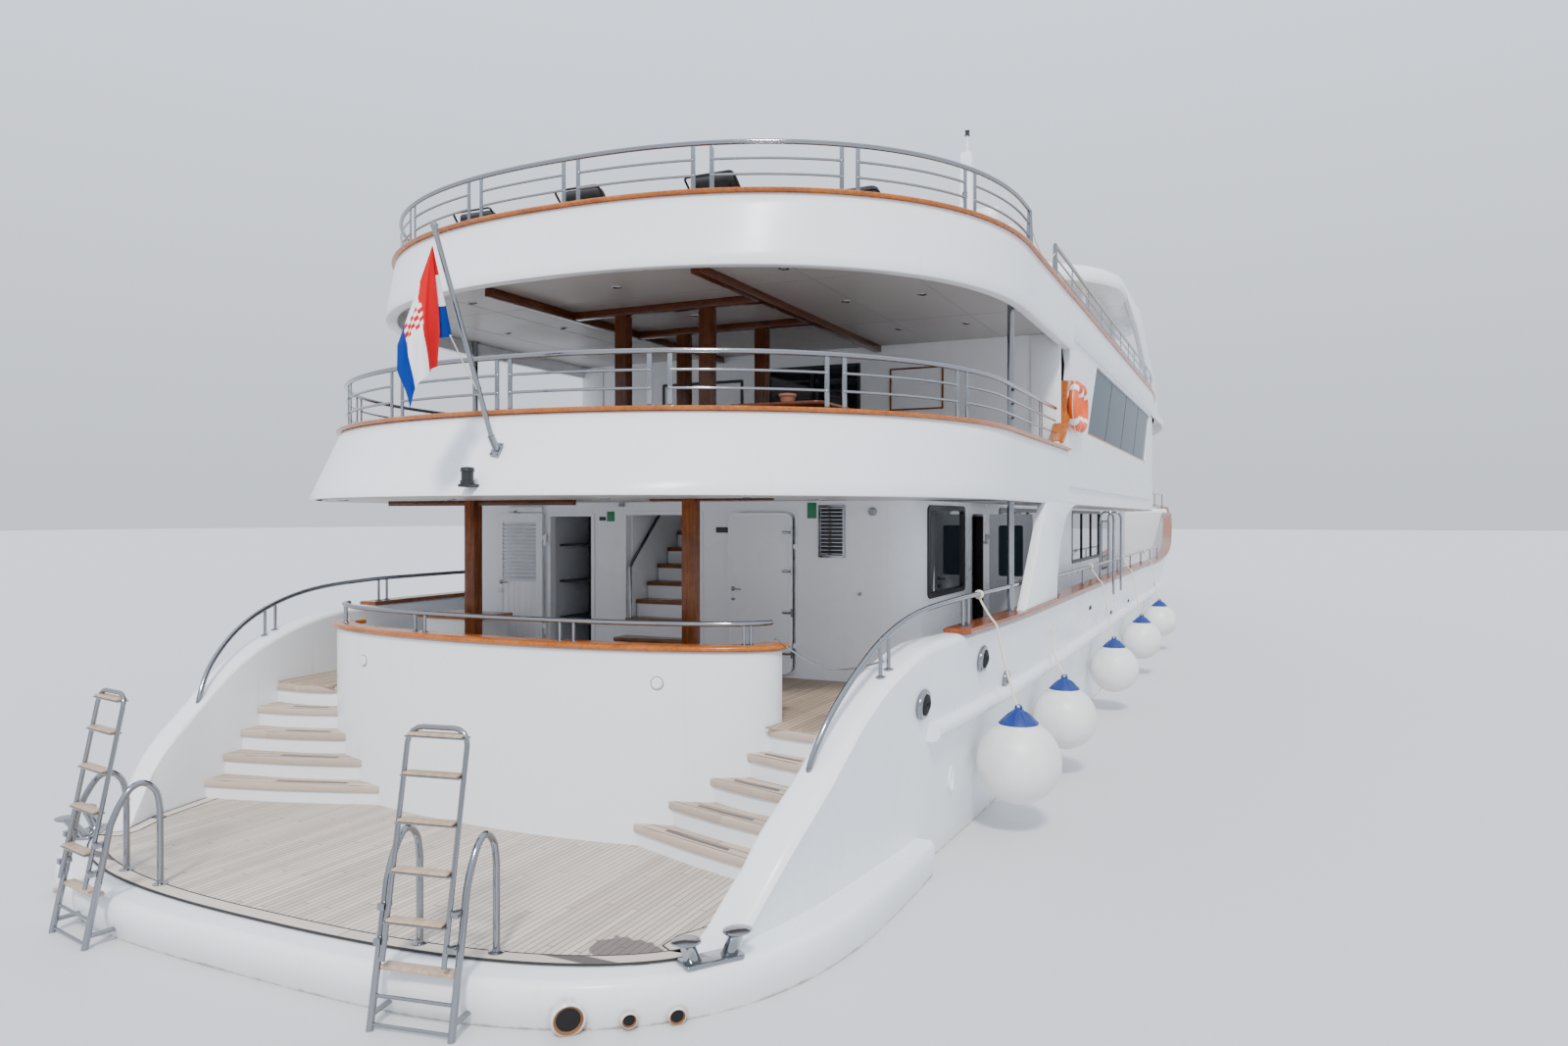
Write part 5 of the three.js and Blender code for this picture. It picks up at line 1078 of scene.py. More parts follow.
    def done(self, *replaced: str, angle: float = 32.0) -> bpy.types.Object:
        """Finishes the piece.

        Args:
            replaced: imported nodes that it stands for.
            angle: edges sharper than this stay crisp.

        Returns:
            The object.
        """
        mesh = bpy.data.meshes.new(self.name)
        self.mesh.to_mesh(mesh)
        self.mesh.free()
        mesh.transform(Matrix.Scale(K, 4) @ Matrix.Translation((0, 0, -DATUM)))
        mesh.shade_smooth()
        mesh.set_sharp_from_angle(angle=math.radians(angle))
        mesh.materials.append(self.finish.material())
        made = bpy.data.objects.new(self.name, mesh)
        bpy.context.scene.collection.objects.link(made)
        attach(made, self.body)
        if replaced:
            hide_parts(*replaced)
        LOG.info("%s: %d faces", self.name, len(mesh.polygons))
        return made


class Assembly:
    """A sub-assembly of the ship."""

    def build(self) -> None:
        """Makes the sub-assembly's pieces."""
        raise NotImplementedError


# Hull


@dataclass(frozen=True)
class HullForm:
    """Stations of the hull: x, half beam at the rail, at the water, keel, rail height, bilge and flare."""

    rows: tuple[tuple[float, ...], ...] = (
        (-22.4, 3.55, 3.30, -0.35, 0.52, 4.0, 1.0), (-21.9, 3.78, 3.50, -0.42, 1.15, 4.0, 1.0),
        (-21.4, 3.90, 3.65, -0.50, 1.55, 4.0, 1.0), (-20.8, 4.00, 3.75, -0.60, 2.00, 3.8, 1.0),
        (-20.2, 4.07, 3.82, -0.70, 2.26, 3.8, 1.0), (-19.4, 4.14, 3.90, -0.84, 2.43, 3.6, 1.0),
        (-18.5, 4.22, 3.95, -1.00, 2.45, 3.6, 1.0), (-16.5, 4.33, 4.02, -1.30, 2.45, 3.4, 1.0),
        (-13.0, 4.36, 4.06, -1.75, 2.45, 3.2, 1.0), (-8.0, 4.36, 4.08, -2.20, 2.45, 3.2, 1.0),
        (-2.0, 4.36, 4.08, -2.40, 2.45, 3.0, 1.0), (4.0, 4.36, 3.95, -2.40, 2.45, 2.8, 1.0),
        (8.0, 4.25, 3.55, -2.38, 2.80, 2.5, 1.1), (11.5, 3.98, 2.85, -2.35, 3.85, 2.3, 1.2),
        (14.0, 3.55, 2.20, -2.30, 4.05, 2.1, 1.3), (17.0, 2.75, 1.35, -2.25, 4.20, 2.0, 1.4),
        (19.5, 1.75, 0.65, -2.15, 4.35, 2.0, 1.5), (21.0, 0.90, 0.28, -2.05, 4.45, 2.0, 1.5),
        (21.9, 0.06, 0.05, -1.95, 4.50, 2.0, 1.0),
    )
    columns: tuple[str, ...] = ("x", "rail", "water", "keel", "top", "bilge", "flare")
    wing_inner: tuple[Plan, ...] = ((-25, 3.1), (-22.4, 3.22), (-22.0, 3.42), (-21.3, 3.58), (-20.3, 3.68),
                                    (-19.4, 3.78))
    aft_deck: tuple[Plan, ...] = ((-19.4, 3.78), (-18.5, 3.95), (-17.5, 4.09))

    def column(self, name: str, x: float) -> float:
        """Value of a column at any station, smooth between rows.

        Args:
            name: the column's name.
            x: the station.

        Returns:
            The value.
        """
        k = self.columns.index(name)
        rows = [(row[0], row[k]) for row in self.rows]
        i = 0
        while i < len(rows) - 2 and x > rows[i + 1][0]:
            i += 1
        b, c = rows[i], rows[i + 1]
        a = rows[i - 1] if i else (2 * b[0] - c[0], 2 * b[1] - c[1])
        d = rows[i + 2] if i + 2 < len(rows) else (2 * c[0] - b[0], 2 * c[1] - b[1])
        span = c[0] - b[0]
        t = (x - b[0]) / span
        slopes = (c[1] - a[1]) / (c[0] - a[0]), (d[1] - b[1]) / (d[0] - b[0])
        return ((2 * t ** 3 - 3 * t ** 2 + 1) * b[1] + (t ** 3 - 2 * t ** 2 + t) * span * slopes[0]
                + (3 * t ** 2 - 2 * t ** 3) * c[1] + (t ** 3 - t ** 2) * span * slopes[1])

    def shift(self, x: float, z: float) -> float:
        """Lean of the bow's stations: forward above the water, aft below it."""
        t = min(max((x - 11.0) / 10.9, 0), 1)
        return x + t * t * (0.467 * z if z > 0 else -0.495 * z * z)

    def side(self, x: float, z: float) -> float:
        """Half beam of the topside at a height.

        Args:
            x: the station.
            z: the height.

        Returns:
            The half beam.
        """
        share = min(max(z / self.column("top", x), 0), 1)
        water = self.column("water", x)
        return water + (self.column("rail", x) - water) * share ** self.column("flare", x)

    def cap_top(self, x: float) -> float:
        """Height of the top of the bulwark's cap."""
        return self.column("top", x) + SEAT + 0.05


FORM = HullForm()
PLATFORM = SternForm(-23.68, -19.7, 4.14, 3.3)
TRANSOM = SternForm(-20.86, -20.05, 2.84, 2.0)
UPPER_LOW = SternForm(-21.55, -16.9, 4.36, 2.15)
UPPER_TOP = SternForm(-20.95, -16.9, 4.36, 2.15)
SUN_LOW = SternForm(-20.1, -16.0, 4.4, 2.3)
SUN_TOP = SternForm(-19.85, -16.0, 4.4, 2.3)
SUN_FRONT = SternForm(9.0, -1.0, 4.4, 2.3)
SUN_FRONT_END = 3.3
FENDERS = ((-17.7, 1.0, 0.46), (-14.95, 1.0, 0.42), (-9.9, 0.98, 0.42), (-5.2, 0.98, 0.42),
           (-0.6, 0.98, 0.42))
HARDTOP = SternForm(-6.5, -3.5, 4.1, 2.2)
POST_X, POST_Y = -16.28, 4.2  # steel posts between the decks
CAP = 0.042  # thickness of a deck's cap
BAR_SHARES = (0.66, 0.33)  # heights of a rail's two lower bars


@dataclass(frozen=True)
class Line:
    """A free line: its name, finish, path in ship metres, thickness and how it lies; how it lies is not
    used.
    """

    name: str
    finish: Finish
    path: tuple[Point, ...]
    thick: float
    lay: str = "hanging"
    steps: int = 5

    def build(self) -> None:
        fine = curve_through(self.path, self.steps)
        piece = Piece(self.name, self.finish)
        piece.tube(fine, self.thick / 2, 10)
        piece.ball(fine[0], self.thick * 0.8, 12).ball(fine[-1], self.thick * 0.8, 12)
        piece.done()


@dataclass
class Lines(Assembly):
    """Every free line: fender lanyards, the flag's halyard, the line over a rail's gap, a stair's chain."""

    def build(self) -> None:
        """Lays the lines."""
        knots = Piece("lanyard_knots", FINISH.rope)
        for k, (x, z, r) in enumerate(FENDERS):
            y = -(FORM.side(x, z + r * 0.5) + r + 0.01)
            edge = -(FORM.column("rail", x) + 0.085)
            rail = (x, -4.16, 2.775) if x < -17 else (x, -4.24, 2.755)
            path = (rail, (x, rail[1] - 0.05, 2.68), (x, edge + 0.07, 2.555), (x, edge, 2.46),
                    (x, edge - 0.03, 2.3), (x, y + 0.05, z + r * 1.5), (x, y, z + r * 1.3))
            if k == 1:
                eye = -FORM.side(-14.2, 2.07)
                path = ((-14.2, eye - 0.012, 2.07), (-14.25, eye - 0.06, 2.0), (-14.6, y + 0.2, 1.8),
                        (x, y, z + r * 1.3))
            else:
                for shift in (-0.017, 0.017):
                    knots.torus((x + shift, rail[1], rail[2] + 0.025), (1, 0, 0), 0.036, 0.015, sides=8,
                                around=24)
            Line(f"fender_lanyard_{k + 1}", FINISH.rope, path, 0.026).build()
        knots.done()
        flag = Ensign()
        low = flag.cloth(0.0, 1.0)
        tie = (flag.at(flag.cleat) - 0.02, flag.foot[1], flag.cleat)
        middle = (low + Vector(tie)) / 2 - Vector((0, 0, 0.01))
        Line("flag_halyard", FINISH.rope, (tuple(low), tuple(middle), tie), 0.012, "taut", 8).build()
        gap = tuple((-15.8 + 1.8 * t, -4.33, 7.42 - 0.26 * math.sin(math.pi * t) ** 0.8)
                    for t in (0.02, 0.2, 0.4, 0.6, 0.8, 0.98))
        Line("sun_gap_line", FINISH.rope, gap, 0.014).build()
        chain = tuple((-20.08 - 0.1 * t, -2.8 - 1.1 * t, 2.5 - 0.14 * t - 0.17 * math.sin(math.pi * t))
                      for t in (0.0, 0.2, 0.4, 0.6, 0.8, 1.0))
        Line("stair_gate_line", FINISH.steel, chain, 0.018).build()


@dataclass
class HullSkin(Assembly):
    """The hull with its stern wings, bulwarks, wells, rubbing rail and bathing platform."""

    keel_steps: int = 12
    side_steps: int = 6
    shoulder: float = 0.1
    fine: int = 5
    exhausts: tuple[tuple[float, float, float, float], ...] = (
        (-23.3, -2.774, 0.312, 0.105), (-23.09, -3.119, 0.276, 0.05), (-22.875, -3.365, 0.26, 0.056),
        (-23.17, 3.0, 0.28, 0.05))
    fairleads: tuple[Point, ...] = ((-19.53, 1.88, 0.12), (-17.82, 2.11, 0.12), (-16.73, 1.74, 0.075))
    scuppers: tuple[Plan, ...] = ((-10.5, 2.09), (-7.4, 1.75), (-4.4, 1.76), (2.2, 1.76))
    platform_rim: tuple[Point, ...] = ((-0.2, 0.3, 0.08), (0.0, 0.18, 0.05), (0.2, 0.065, 0.022),
                                       (0.32, 0.02, 0.008), (0.38, 0.004, 0.002), (0.42, 0.0, 0.0),
                                       (0.47, 0.003, 0.003), (0.5, 0.012, 0.01), (0.522, 0.028, 0.026),
                                       (0.536, 0.05, 0.045), (0.54, 0.07, 0.06))

    def stations(self) -> list[tuple[float, float, float, float]]:
        """Rows of x, floor height and the inner faces' half widths at the floor and the rail.

        Returns:
            The rows from astern forward.
        """
        made = []

        def add(x: float, zone: str) -> None:
            """Adds the row of one station.

            Args:
                x: the station.
                zone: the part of the ship that it lies in.
            """
            top = FORM.column("top", x)
            aft = between(FORM.aft_deck, x) if x < -17.5 else 9.0
            if zone == "cockpit":
                wing = between(FORM.wing_inner, x)
                made.append((x, min(0.53, top), wing, wing))
            elif zone == "well":
                made.append((x, 1.68, min(FORM.side(x, 1.68) - 0.12, aft),
                             min(FORM.column("rail", x) - 0.2, aft)))
            elif zone == "fore":
                made.append((x, 3.05, max(FORM.side(x, 3.05) - 0.12, 0.02),
                             max(FORM.column("rail", x) - 0.2, 0.05)))
            else:
                rail = FORM.column("rail", x)
                made.append((x, top, rail * 0.7, rail * 0.8))

        edges = [row[0] for row in FORM.rows]
        grid = [a + (b - a) * k / self.fine for a, b in zip(edges, edges[1:])
                for k in range(self.fine)] + [edges[-1]]
        zones = (("cockpit", -22.4, -19.4), ("well", -19.4, 11.5), ("deck", 11.5, 12.6),
                 ("fore", 12.6, 21.0), ("deck", 21.0, 21.9))
        for zone, low, high in zones:
            inside = [x for x in grid if low + 1e-4 < x < high - 1e-4]
            for x in (low, *inside, high):
                add(x, zone)
        return made

    def ring(self, x: float, floor: float, low: float, high: float) -> list[Point]:
        """The closed section at a station.

        Args:
            x: the station.
            floor: the floor's height.
            low: the inner face's half width at the floor.
            high: the inner face's half width at the rail.

        Returns:
            The section's points.
        """
        water, keel, top, bilge = (FORM.column(n, x) for n in ("water", "keel", "top", "bilge"))
        if 11.0 < x <= 12.42:
            top = min(top, 3.848)
            floor = min(floor, top)
        half = []
        for i in range(self.keel_steps + 1):
            turn = math.pi / 2 * i / self.keel_steps
            z = 0.0 if i == self.keel_steps else keel * math.cos(turn) ** (2 / bilge)
            half.append((water * math.sin(turn) ** (2 / bilge) if i else 0.0, z))
        r = min(self.shoulder, top / 4)
        for i in range(1, self.side_steps + 1):
            z = (top - r) * i / self.side_steps
            half.append((FORM.side(x, z), z))
        rail = FORM.side(x, top)
        inner = min(r, rail * 0.4)
        half += [(rail - inner + inner * math.cos(t), top - r + r * math.sin(t))
                 for t in (0.4, 0.8, 1.2, math.pi / 2)]
        high = min(high, half[-1][0] - 0.004)
        low = min(low, half[-1][0] - 0.004)
        edge = min(0.05, (half[-1][0] - high) * 0.8, max(top - floor, 0.0))
        half += [(high + edge - edge * math.sin(t), top - edge + edge * math.cos(t))
                 for t in (0.0, 0.5, 1.1, math.pi / 2)]
        half += [(low, floor), (0.0, floor)]
        ring = half + [(-y, z) for y, z in reversed(half[1:-1])]
        return [(FORM.shift(x, z), y, z) for y, z in ring]

    def build(self) -> None:
        """Makes the hull and the platform."""
        hull = Piece("hull_shell", FINISH.hull)
        hull.skin([self.ring(*row) for row in self.stations()])
        for side in Side:
            s = side.value
            line = [(x, s * (FORM.side(x, 1.58) + 0.03), 1.58) for x in [-19.3 + 0.6 * i for i in range(48)]]
            hull.tube(line, 0.085, 16)
            hull.lathe([(0, -0.012), (0.1, -0.01), (0.1, 0.02), (0, 0.022)], line[0], (-1, 0, 0), 20)
            hull.tube([(-19.75, s * 1.55, -1.06), (-19.75, s * 1.55, -0.3)], 0.108, 16)
            hull.torus((-18.47, s * (FORM.side(-18.47, 0.94) + 0.002), 0.94), (0, 1, 0), 0.13, 0.018, 0.5)
        hull.done("hull", angle=38)
        self.platform()
        self.fittings()

    def platform(self) -> None:
        """The bathing platform's rim and skirt."""
        rings = [[(x, y, z) for x, y in PLATFORM.shifted(a, s).line(-19.33)]
                 for z, a, s in self.platform_rim]
        Piece("platform_shell", FINISH.hull).skin(rings).done("hull", angle=30)

    def fittings(self) -> None:
        """Exhaust mouths, fairleads and scuppers."""
        pipes = Piece("exhaust_rims", FINISH.hull)
        liners = Piece("exhaust_liners", FINISH.rust)
        # The near-black discs in the pipe mouths are soot, and also painted shade for the bore, which the
        # solid hull fills.
        holes = Piece("exhaust_mouths", FINISH.soot_and_hole_shade)
        for x, y, z, r in self.exhausts:
            out = Vector((-0.72, math.copysign(0.66, y), -0.1)).normalized()
            spot = Vector((x, y, z)) + out * r * 0.35
            pipes.lathe([(r, -0.2), (r * 1.12, -0.2), (r * 1.12, 0.012), (r * 1.04, 0.02), (r * 0.96, 0.014),
                         (r * 0.9, -0.1)], spot, out, 28)
            liners.lathe([(r * 0.98, -0.02), (r * 0.98, 0.012), (r * 0.94, 0.014), (r * 0.76, 0.0),
                          (r * 0.76, -0.02)], spot, out, 28)
            holes.lathe([(0, 0.002), (r * 0.84, 0.002), (r * 0.84, -0.02), (0, -0.02)], spot, out, 28)
        pipes.done()
        liners.done()
        holes.done()
        leads = Piece("fairleads", FINISH.steel)
        # The fairlead throats and scupper blocks are painted shade for openings that the hull doesn't have.
        throats = Piece("fairlead_throats", FINISH.soot_and_hole_shade)
        for side in Side:
            s = side.value
            for x, z, wide in self.fairleads:
                y = FORM.side(x, z)
                leads.torus((x, s * (y + 0.012), z), (0.05, s, -0.08), wide, 0.03, 1.35, 12, 40)
                throats.torus((x, s * (y + 0.004), z), (0.05, s, -0.08), wide * 0.46, wide * 0.5, 1.5, 8, 32)
            for x, z in self.scuppers:
                y = FORM.side(x, z)
                throats.box(x - 0.13, x + 0.13, s * (y - 0.02), s * (y + 0.006), z - 0.035, z + 0.035, 0.005)
        leads.done()
        throats.done()


@dataclass
class BathingDeck(Assembly):
    """Teak of the platform and its margin."""

    form: SternForm = SternForm(-23.44, -21.88, 3.567, 2.51)
    sides: tuple[Plan, ...] = ((-22.5, 3.2), (-22.4, 3.205), (-22.0, 3.4), (-21.3, 3.56), (-19.5, 3.6))
    margin: float = 0.13
    low: float = Level.PLATFORM + SEAT
    top: float = Level.PLATFORM + SEAT + 0.02

    def outline(self, inset: float) -> list[Plan]:
        """The teak's edge, from starboard round the stern to port.

        Args:
            inset: distance inwards from the edge.

        Returns:
            The edge's points.
        """
        aft = [p for p in self.form.rounded() if p[0] < -22.6]
        edge = [Vector(p) for p in [*((x, -y) for x, y in reversed(self.sides)), *aft, *self.sides]]
        made = []
        for i, spot in enumerate(edge):
            one = (spot - edge[i - 1] if i else edge[1] - spot).normalized()
            two = (edge[i + 1] - spot if i + 1 < len(edge) else one).normalized()
            both = Vector((one.y + two.y, -one.x - two.x))
            made.append(tuple(spot + both * (inset / (1 + max(one.dot(two), 0.0)))))
        return made

    def build(self) -> None:
        """Lays the planks, the margin and the dark caulking round it."""
        Piece("platform_planking", FINISH.platform_teak).prism(self.outline(0.0), self.low, self.top,
                0.003).done("platform_teak")
        margin = Piece("platform_margin", FINISH.margin_teak)
        section = [(0.006, self.top - 0.004), (0.006, self.top + 0.0025), (self.margin, self.top + 0.0025),
                   (self.margin, self.top - 0.004)]
        margin.band(lambda inset, z: self.outline(inset), section)
        margin.done()
        seal = Piece("platform_caulking", FINISH.rubber)
        for inset in (-0.012, self.margin - 0.006):
            section = [(inset, self.top - 0.01), (inset, self.top + 0.0035),
                       (inset + 0.014, self.top + 0.0035), (inset + 0.014, self.top - 0.01)]
            seal.band(lambda i, z: self.outline(i), section)
        seal.done()


@dataclass
class Stairs(Assembly):
    """The two flights from the platform to the main deck."""

    nosings: tuple[tuple[Plan, Plan], ...] = (
        ((-20.29, 3.68), (-20.23, 2.84)), ((-20.57, 3.65), (-20.31, 2.59)), ((-20.81, 3.62), (-20.48, 2.31)),
        ((-21.05, 3.60), (-20.61, 1.95)), ((-21.30, 3.58), (-20.70, 1.62)))
    thick: float = 0.075
    overhang: float = 0.03
    grip: Plan = (0.075, 0.13)

    def outline(self, k: int, ahead: float) -> list[Plan]:
        """A step's plan with its nosing moved ahead.

        Args:
            k: the step's number.
            ahead: how far the nosing is moved.

        Returns:
            The plan's points.
        """
        (wx, _), (ix, iy) = self.nosings[k]
        wing = [(x, y - SEAT) for x, y in reversed(FORM.wing_inner) if x > wx + 0.02 and x < -19.41]
        y0 = between(FORM.wing_inner, wx) - SEAT
        bow = [(wx + (ix - wx) * t - ahead - 0.05 * math.sin(math.pi * t), y0 + (iy - y0) * t)
               for t in (0, 0.2, 0.4, 0.6, 0.8, 1)]
        return [*bow, (-20.0, iy - 0.3), (-19.41, iy - 0.3),
                (-19.41, between(FORM.wing_inner, -19.41) - SEAT), *wing]

    def build(self) -> None:
        """Makes risers, teak treads and black grip strips."""
        rise = (Level.MAIN_DECK - Level.PLATFORM) / len(self.nosings)
        for side in Side:
            risers = Piece(f"stair_risers_{side.label}", FINISH.white)
            treads = Piece(f"stair_treads_{side.label}", FINISH.tread_teak[side])
            grips = Piece(f"stair_grips_{side.label}", FINISH.tread_grip)
            for piece in (risers, treads, grips):
                piece.place = Matrix.Diagonal((1, side.value, 1, 1))
            for k in range(len(self.nosings)):
                z = Level.MAIN_DECK - k * rise
                risers.prism(self.outline(k, 0.0), Level.PLATFORM + 0.003, z - self.thick)
                treads.prism(self.outline(k, self.overhang), z - self.thick, z, 0.012)
                a = self.outline(k, self.overhang - self.grip[0])[:6]
                b = self.outline(k, self.overhang - self.grip[1])[:6]
                grips.prism([*a[2:5], *reversed(b[2:5])], z - 0.001, z + 0.002)
            risers.done(f"stair_{side.label}")
            treads.done()
            grips.done()


@dataclass
class Transom(Assembly):
    """The curved transom with its wood cap, rail and round fittings."""

    wall: float = 0.18
    top: float = 2.4
    posts: tuple[float, ...] = (-2.6, -0.86, 1.03, 2.52)
    sockets: tuple[Plan, ...] = ((1.904, 2.089), (-1.842, 2.097))

    def build(self) -> None:
        """Makes the transom."""
        piece = Piece("transom_face", FINISH.white)
        low, deck, top = Level.PLATFORM + SEAT, Level.MAIN_DECK, self.top
        block = [(0.004, low), (0.004, deck), (0.4, deck), (0.4, low)]
        piece.band(lambda i, z: TRANSOM.line(-19.4, i), block)
        wall = [(0.0, low), (0.0, top - 0.02), (0.02, top), (self.wall - 0.02, top), (self.wall, top - 0.02),
                (self.wall, low)]
        piece.band(lambda i, z: TRANSOM.line(TRANSOM.shoulder + 0.02, i), wall)
        piece.prism(TRANSOM.line(-19.41, 0.1), deck - 0.1, deck)
        piece.done("transom_block")
        self.cap()
        self.rail()
        discs = Piece("transom_sockets", FINISH.white)
        rings = Piece("transom_socket_rings", FINISH.grey)
        for y, z in self.sockets:
            spot = (TRANSOM.at(y) + 0.004, y, z)
            discs.lathe([(0, 0), (0.055, 0), (0.055, 0.014), (0.045, 0.022), (0, 0.024)], spot,
                        (-1, y * 0.12, 0))
            rings.torus((spot[0] - 0.006, y, z), (-1, y * 0.12, 0), 0.06, 0.006)
        discs.done()
        rings.done()

    def cap(self) -> None:
        """The varnished cap with its rounded edges."""
        outer = TRANSOM.shifted(-0.05, -0.05)
        low, top, wide = self.top + SEAT, self.top + SEAT + 0.05, self.wall + 0.1
        section = [(0.014, low), (0.0, low + 0.012), (0.0, low + 0.03), (0.01, top - 0.006), (0.024, top),
                   (wide - 0.024, top), (wide - 0.01, top - 0.006), (wide, low + 0.03), (wide, low + 0.012),
                   (wide - 0.014, low)]
        cap = Piece("transom_capping", FINISH.cap_wood)
        cap.band(lambda i, z: outer.line(TRANSOM.shoulder + 0.1, i), section)
        cap.done("transom_cap", angle=40)

    def rail(self) -> None:
        """The low stainless rail on the cap."""
        line = TRANSOM.shifted(0.09, 0.09)
        z0, z1 = self.top + SEAT + 0.05, self.top + SEAT + 0.25
        rail = Piece("transom_handrail", FINISH.steel)
        path = [(x, y, z1) for x, y in line.rounded(0, 48) if x < TRANSOM.shoulder - 0.03]
        ends = [Vector((TRANSOM.shoulder - 0.03, s * (line.half - 0.002), z1)) for s in (-1, 1)]
        rail.tube([ends[0], *path, ends[1]], 0.026, 14)
        for end in ends:
            rail.ball(end, 0.026, 14)
        for middle in self.posts:
            for d in (-0.08, 0.08):
                y = middle + d * math.sqrt(max(1 - (middle / line.half) ** 2, 0.1))
                x = line.at(y)
                rail.tube([(x, y, z0), (x, y, z1)], 0.015, 12)
                rail.lathe([(0.034, 0), (0.034, 0.006), (0.018, 0.012), (0.018, 0.02)], (x, y, z0), sides=18)
        rail.done("transom_rail")


# Decks, caps and rails


def side_wall(side: Side, half: float) -> Matrix:
    """Turns (x, z, outward) into a place on a side wall."""
    s = side.value
    return Matrix(((1, 0, 0, 0), (0, 0, s, s * half), (0, 1, 0, 0), (0, 0, 0, 1)))


def aft_wall(x: float) -> Matrix:
    """Turns (y, z, outward) into a place on a wall that faces astern."""
    return Matrix(((0, 0, -1, x), (1, 0, 0, 0), (0, 1, 0, 0), (0, 0, 0, 1)))


def inset_polygon(points: Sequence[Plan], d: float) -> list[Plan]:
    """A convex polygon with its sides moved inwards, or outwards for a negative d.

    Args:
        points: its corners.
        d: how far the sides move.

    Returns:
        The new corners.
    """
    count = len(points)
    area = sum(a[0] * b[1] - b[0] * a[1] for a, b in zip(points, [*points[1:], points[0]]))
    sign = math.copysign(1, area)
    made = []
    for i in range(count):
        a, b, c = Vector(points[i - 1]), Vector(points[i]), Vector(points[(i + 1) % count])
        one, two = (b - a).normalized(), (c - b).normalized()
        n1, n2 = Vector((-one.y, one.x)) * sign, Vector((-two.y, two.x)) * sign
        made.append(tuple(b + (n1 + n2) * (d / (1 + n1.dot(n2)))))
    return made


def cap_section(z: float, wide: float, shift: float = 0.0) -> list[Plan]:
    """Section of a deck's varnished cap as (inset, height), moved outwards by shift.

    Args:
        z: the height that it lies on.
        wide: its width.
        shift: how far it is moved outwards.

    Returns:
        The section's points.
    """
    rim = [(0.012, 0.0), (0.0, 0.01), (0.0, 0.026), (0.01, 0.038), (0.022, CAP), (wide - 0.02, CAP),
           (wide, 0.026), (wide, 0.01), (wide - 0.012, 0.0)]
    return [(inset - shift, z + height) for inset, height in rim]


def ceiling_lights(name: str, rows: Sequence[float], across: Sequence[float], z: float) -> None:
    """Recessed steel lights, one at each crossing of the rows.

    Args:
        name: the piece's name.
        rows: their places along the ship.
        across: their places across it.
        z: the ceiling's height.
    """
    rim = [(0, 0.002), (0.03, 0.002), (0.045, -0.012), (0.06, -0.008), (0.062, 0.0)]
    lights = Piece(name, FINISH.steel)
    for x in rows:
        for y in across:
            lights.lathe(rim, (x, y, z), sides=20)
    lights.done()


def frame_ring(piece: Piece, outer: Sequence[Plan], inner: Sequence[Plan], low: float, high: float,
               matrix: Matrix) -> None:
    """A flat frame between two outlines of equal counts.

    Args:
        piece: the piece that it joins.
        outer: the outer outline.
        inner: the inner outline.
        low: its bottom.
        high: its top.
        matrix: moves the whole shape, if given.
    """
    rings = [[(*o, low), (*o, high - 0.004), (o[0] * 0.96 + i[0] * 0.04, o[1] * 0.96 + i[1] * 0.04, high),
              (*i, high), (*i, low)] for o, i in zip(outer, inner)]
    piece.skin([*rings, rings[0]], caps=False, matrix=matrix)


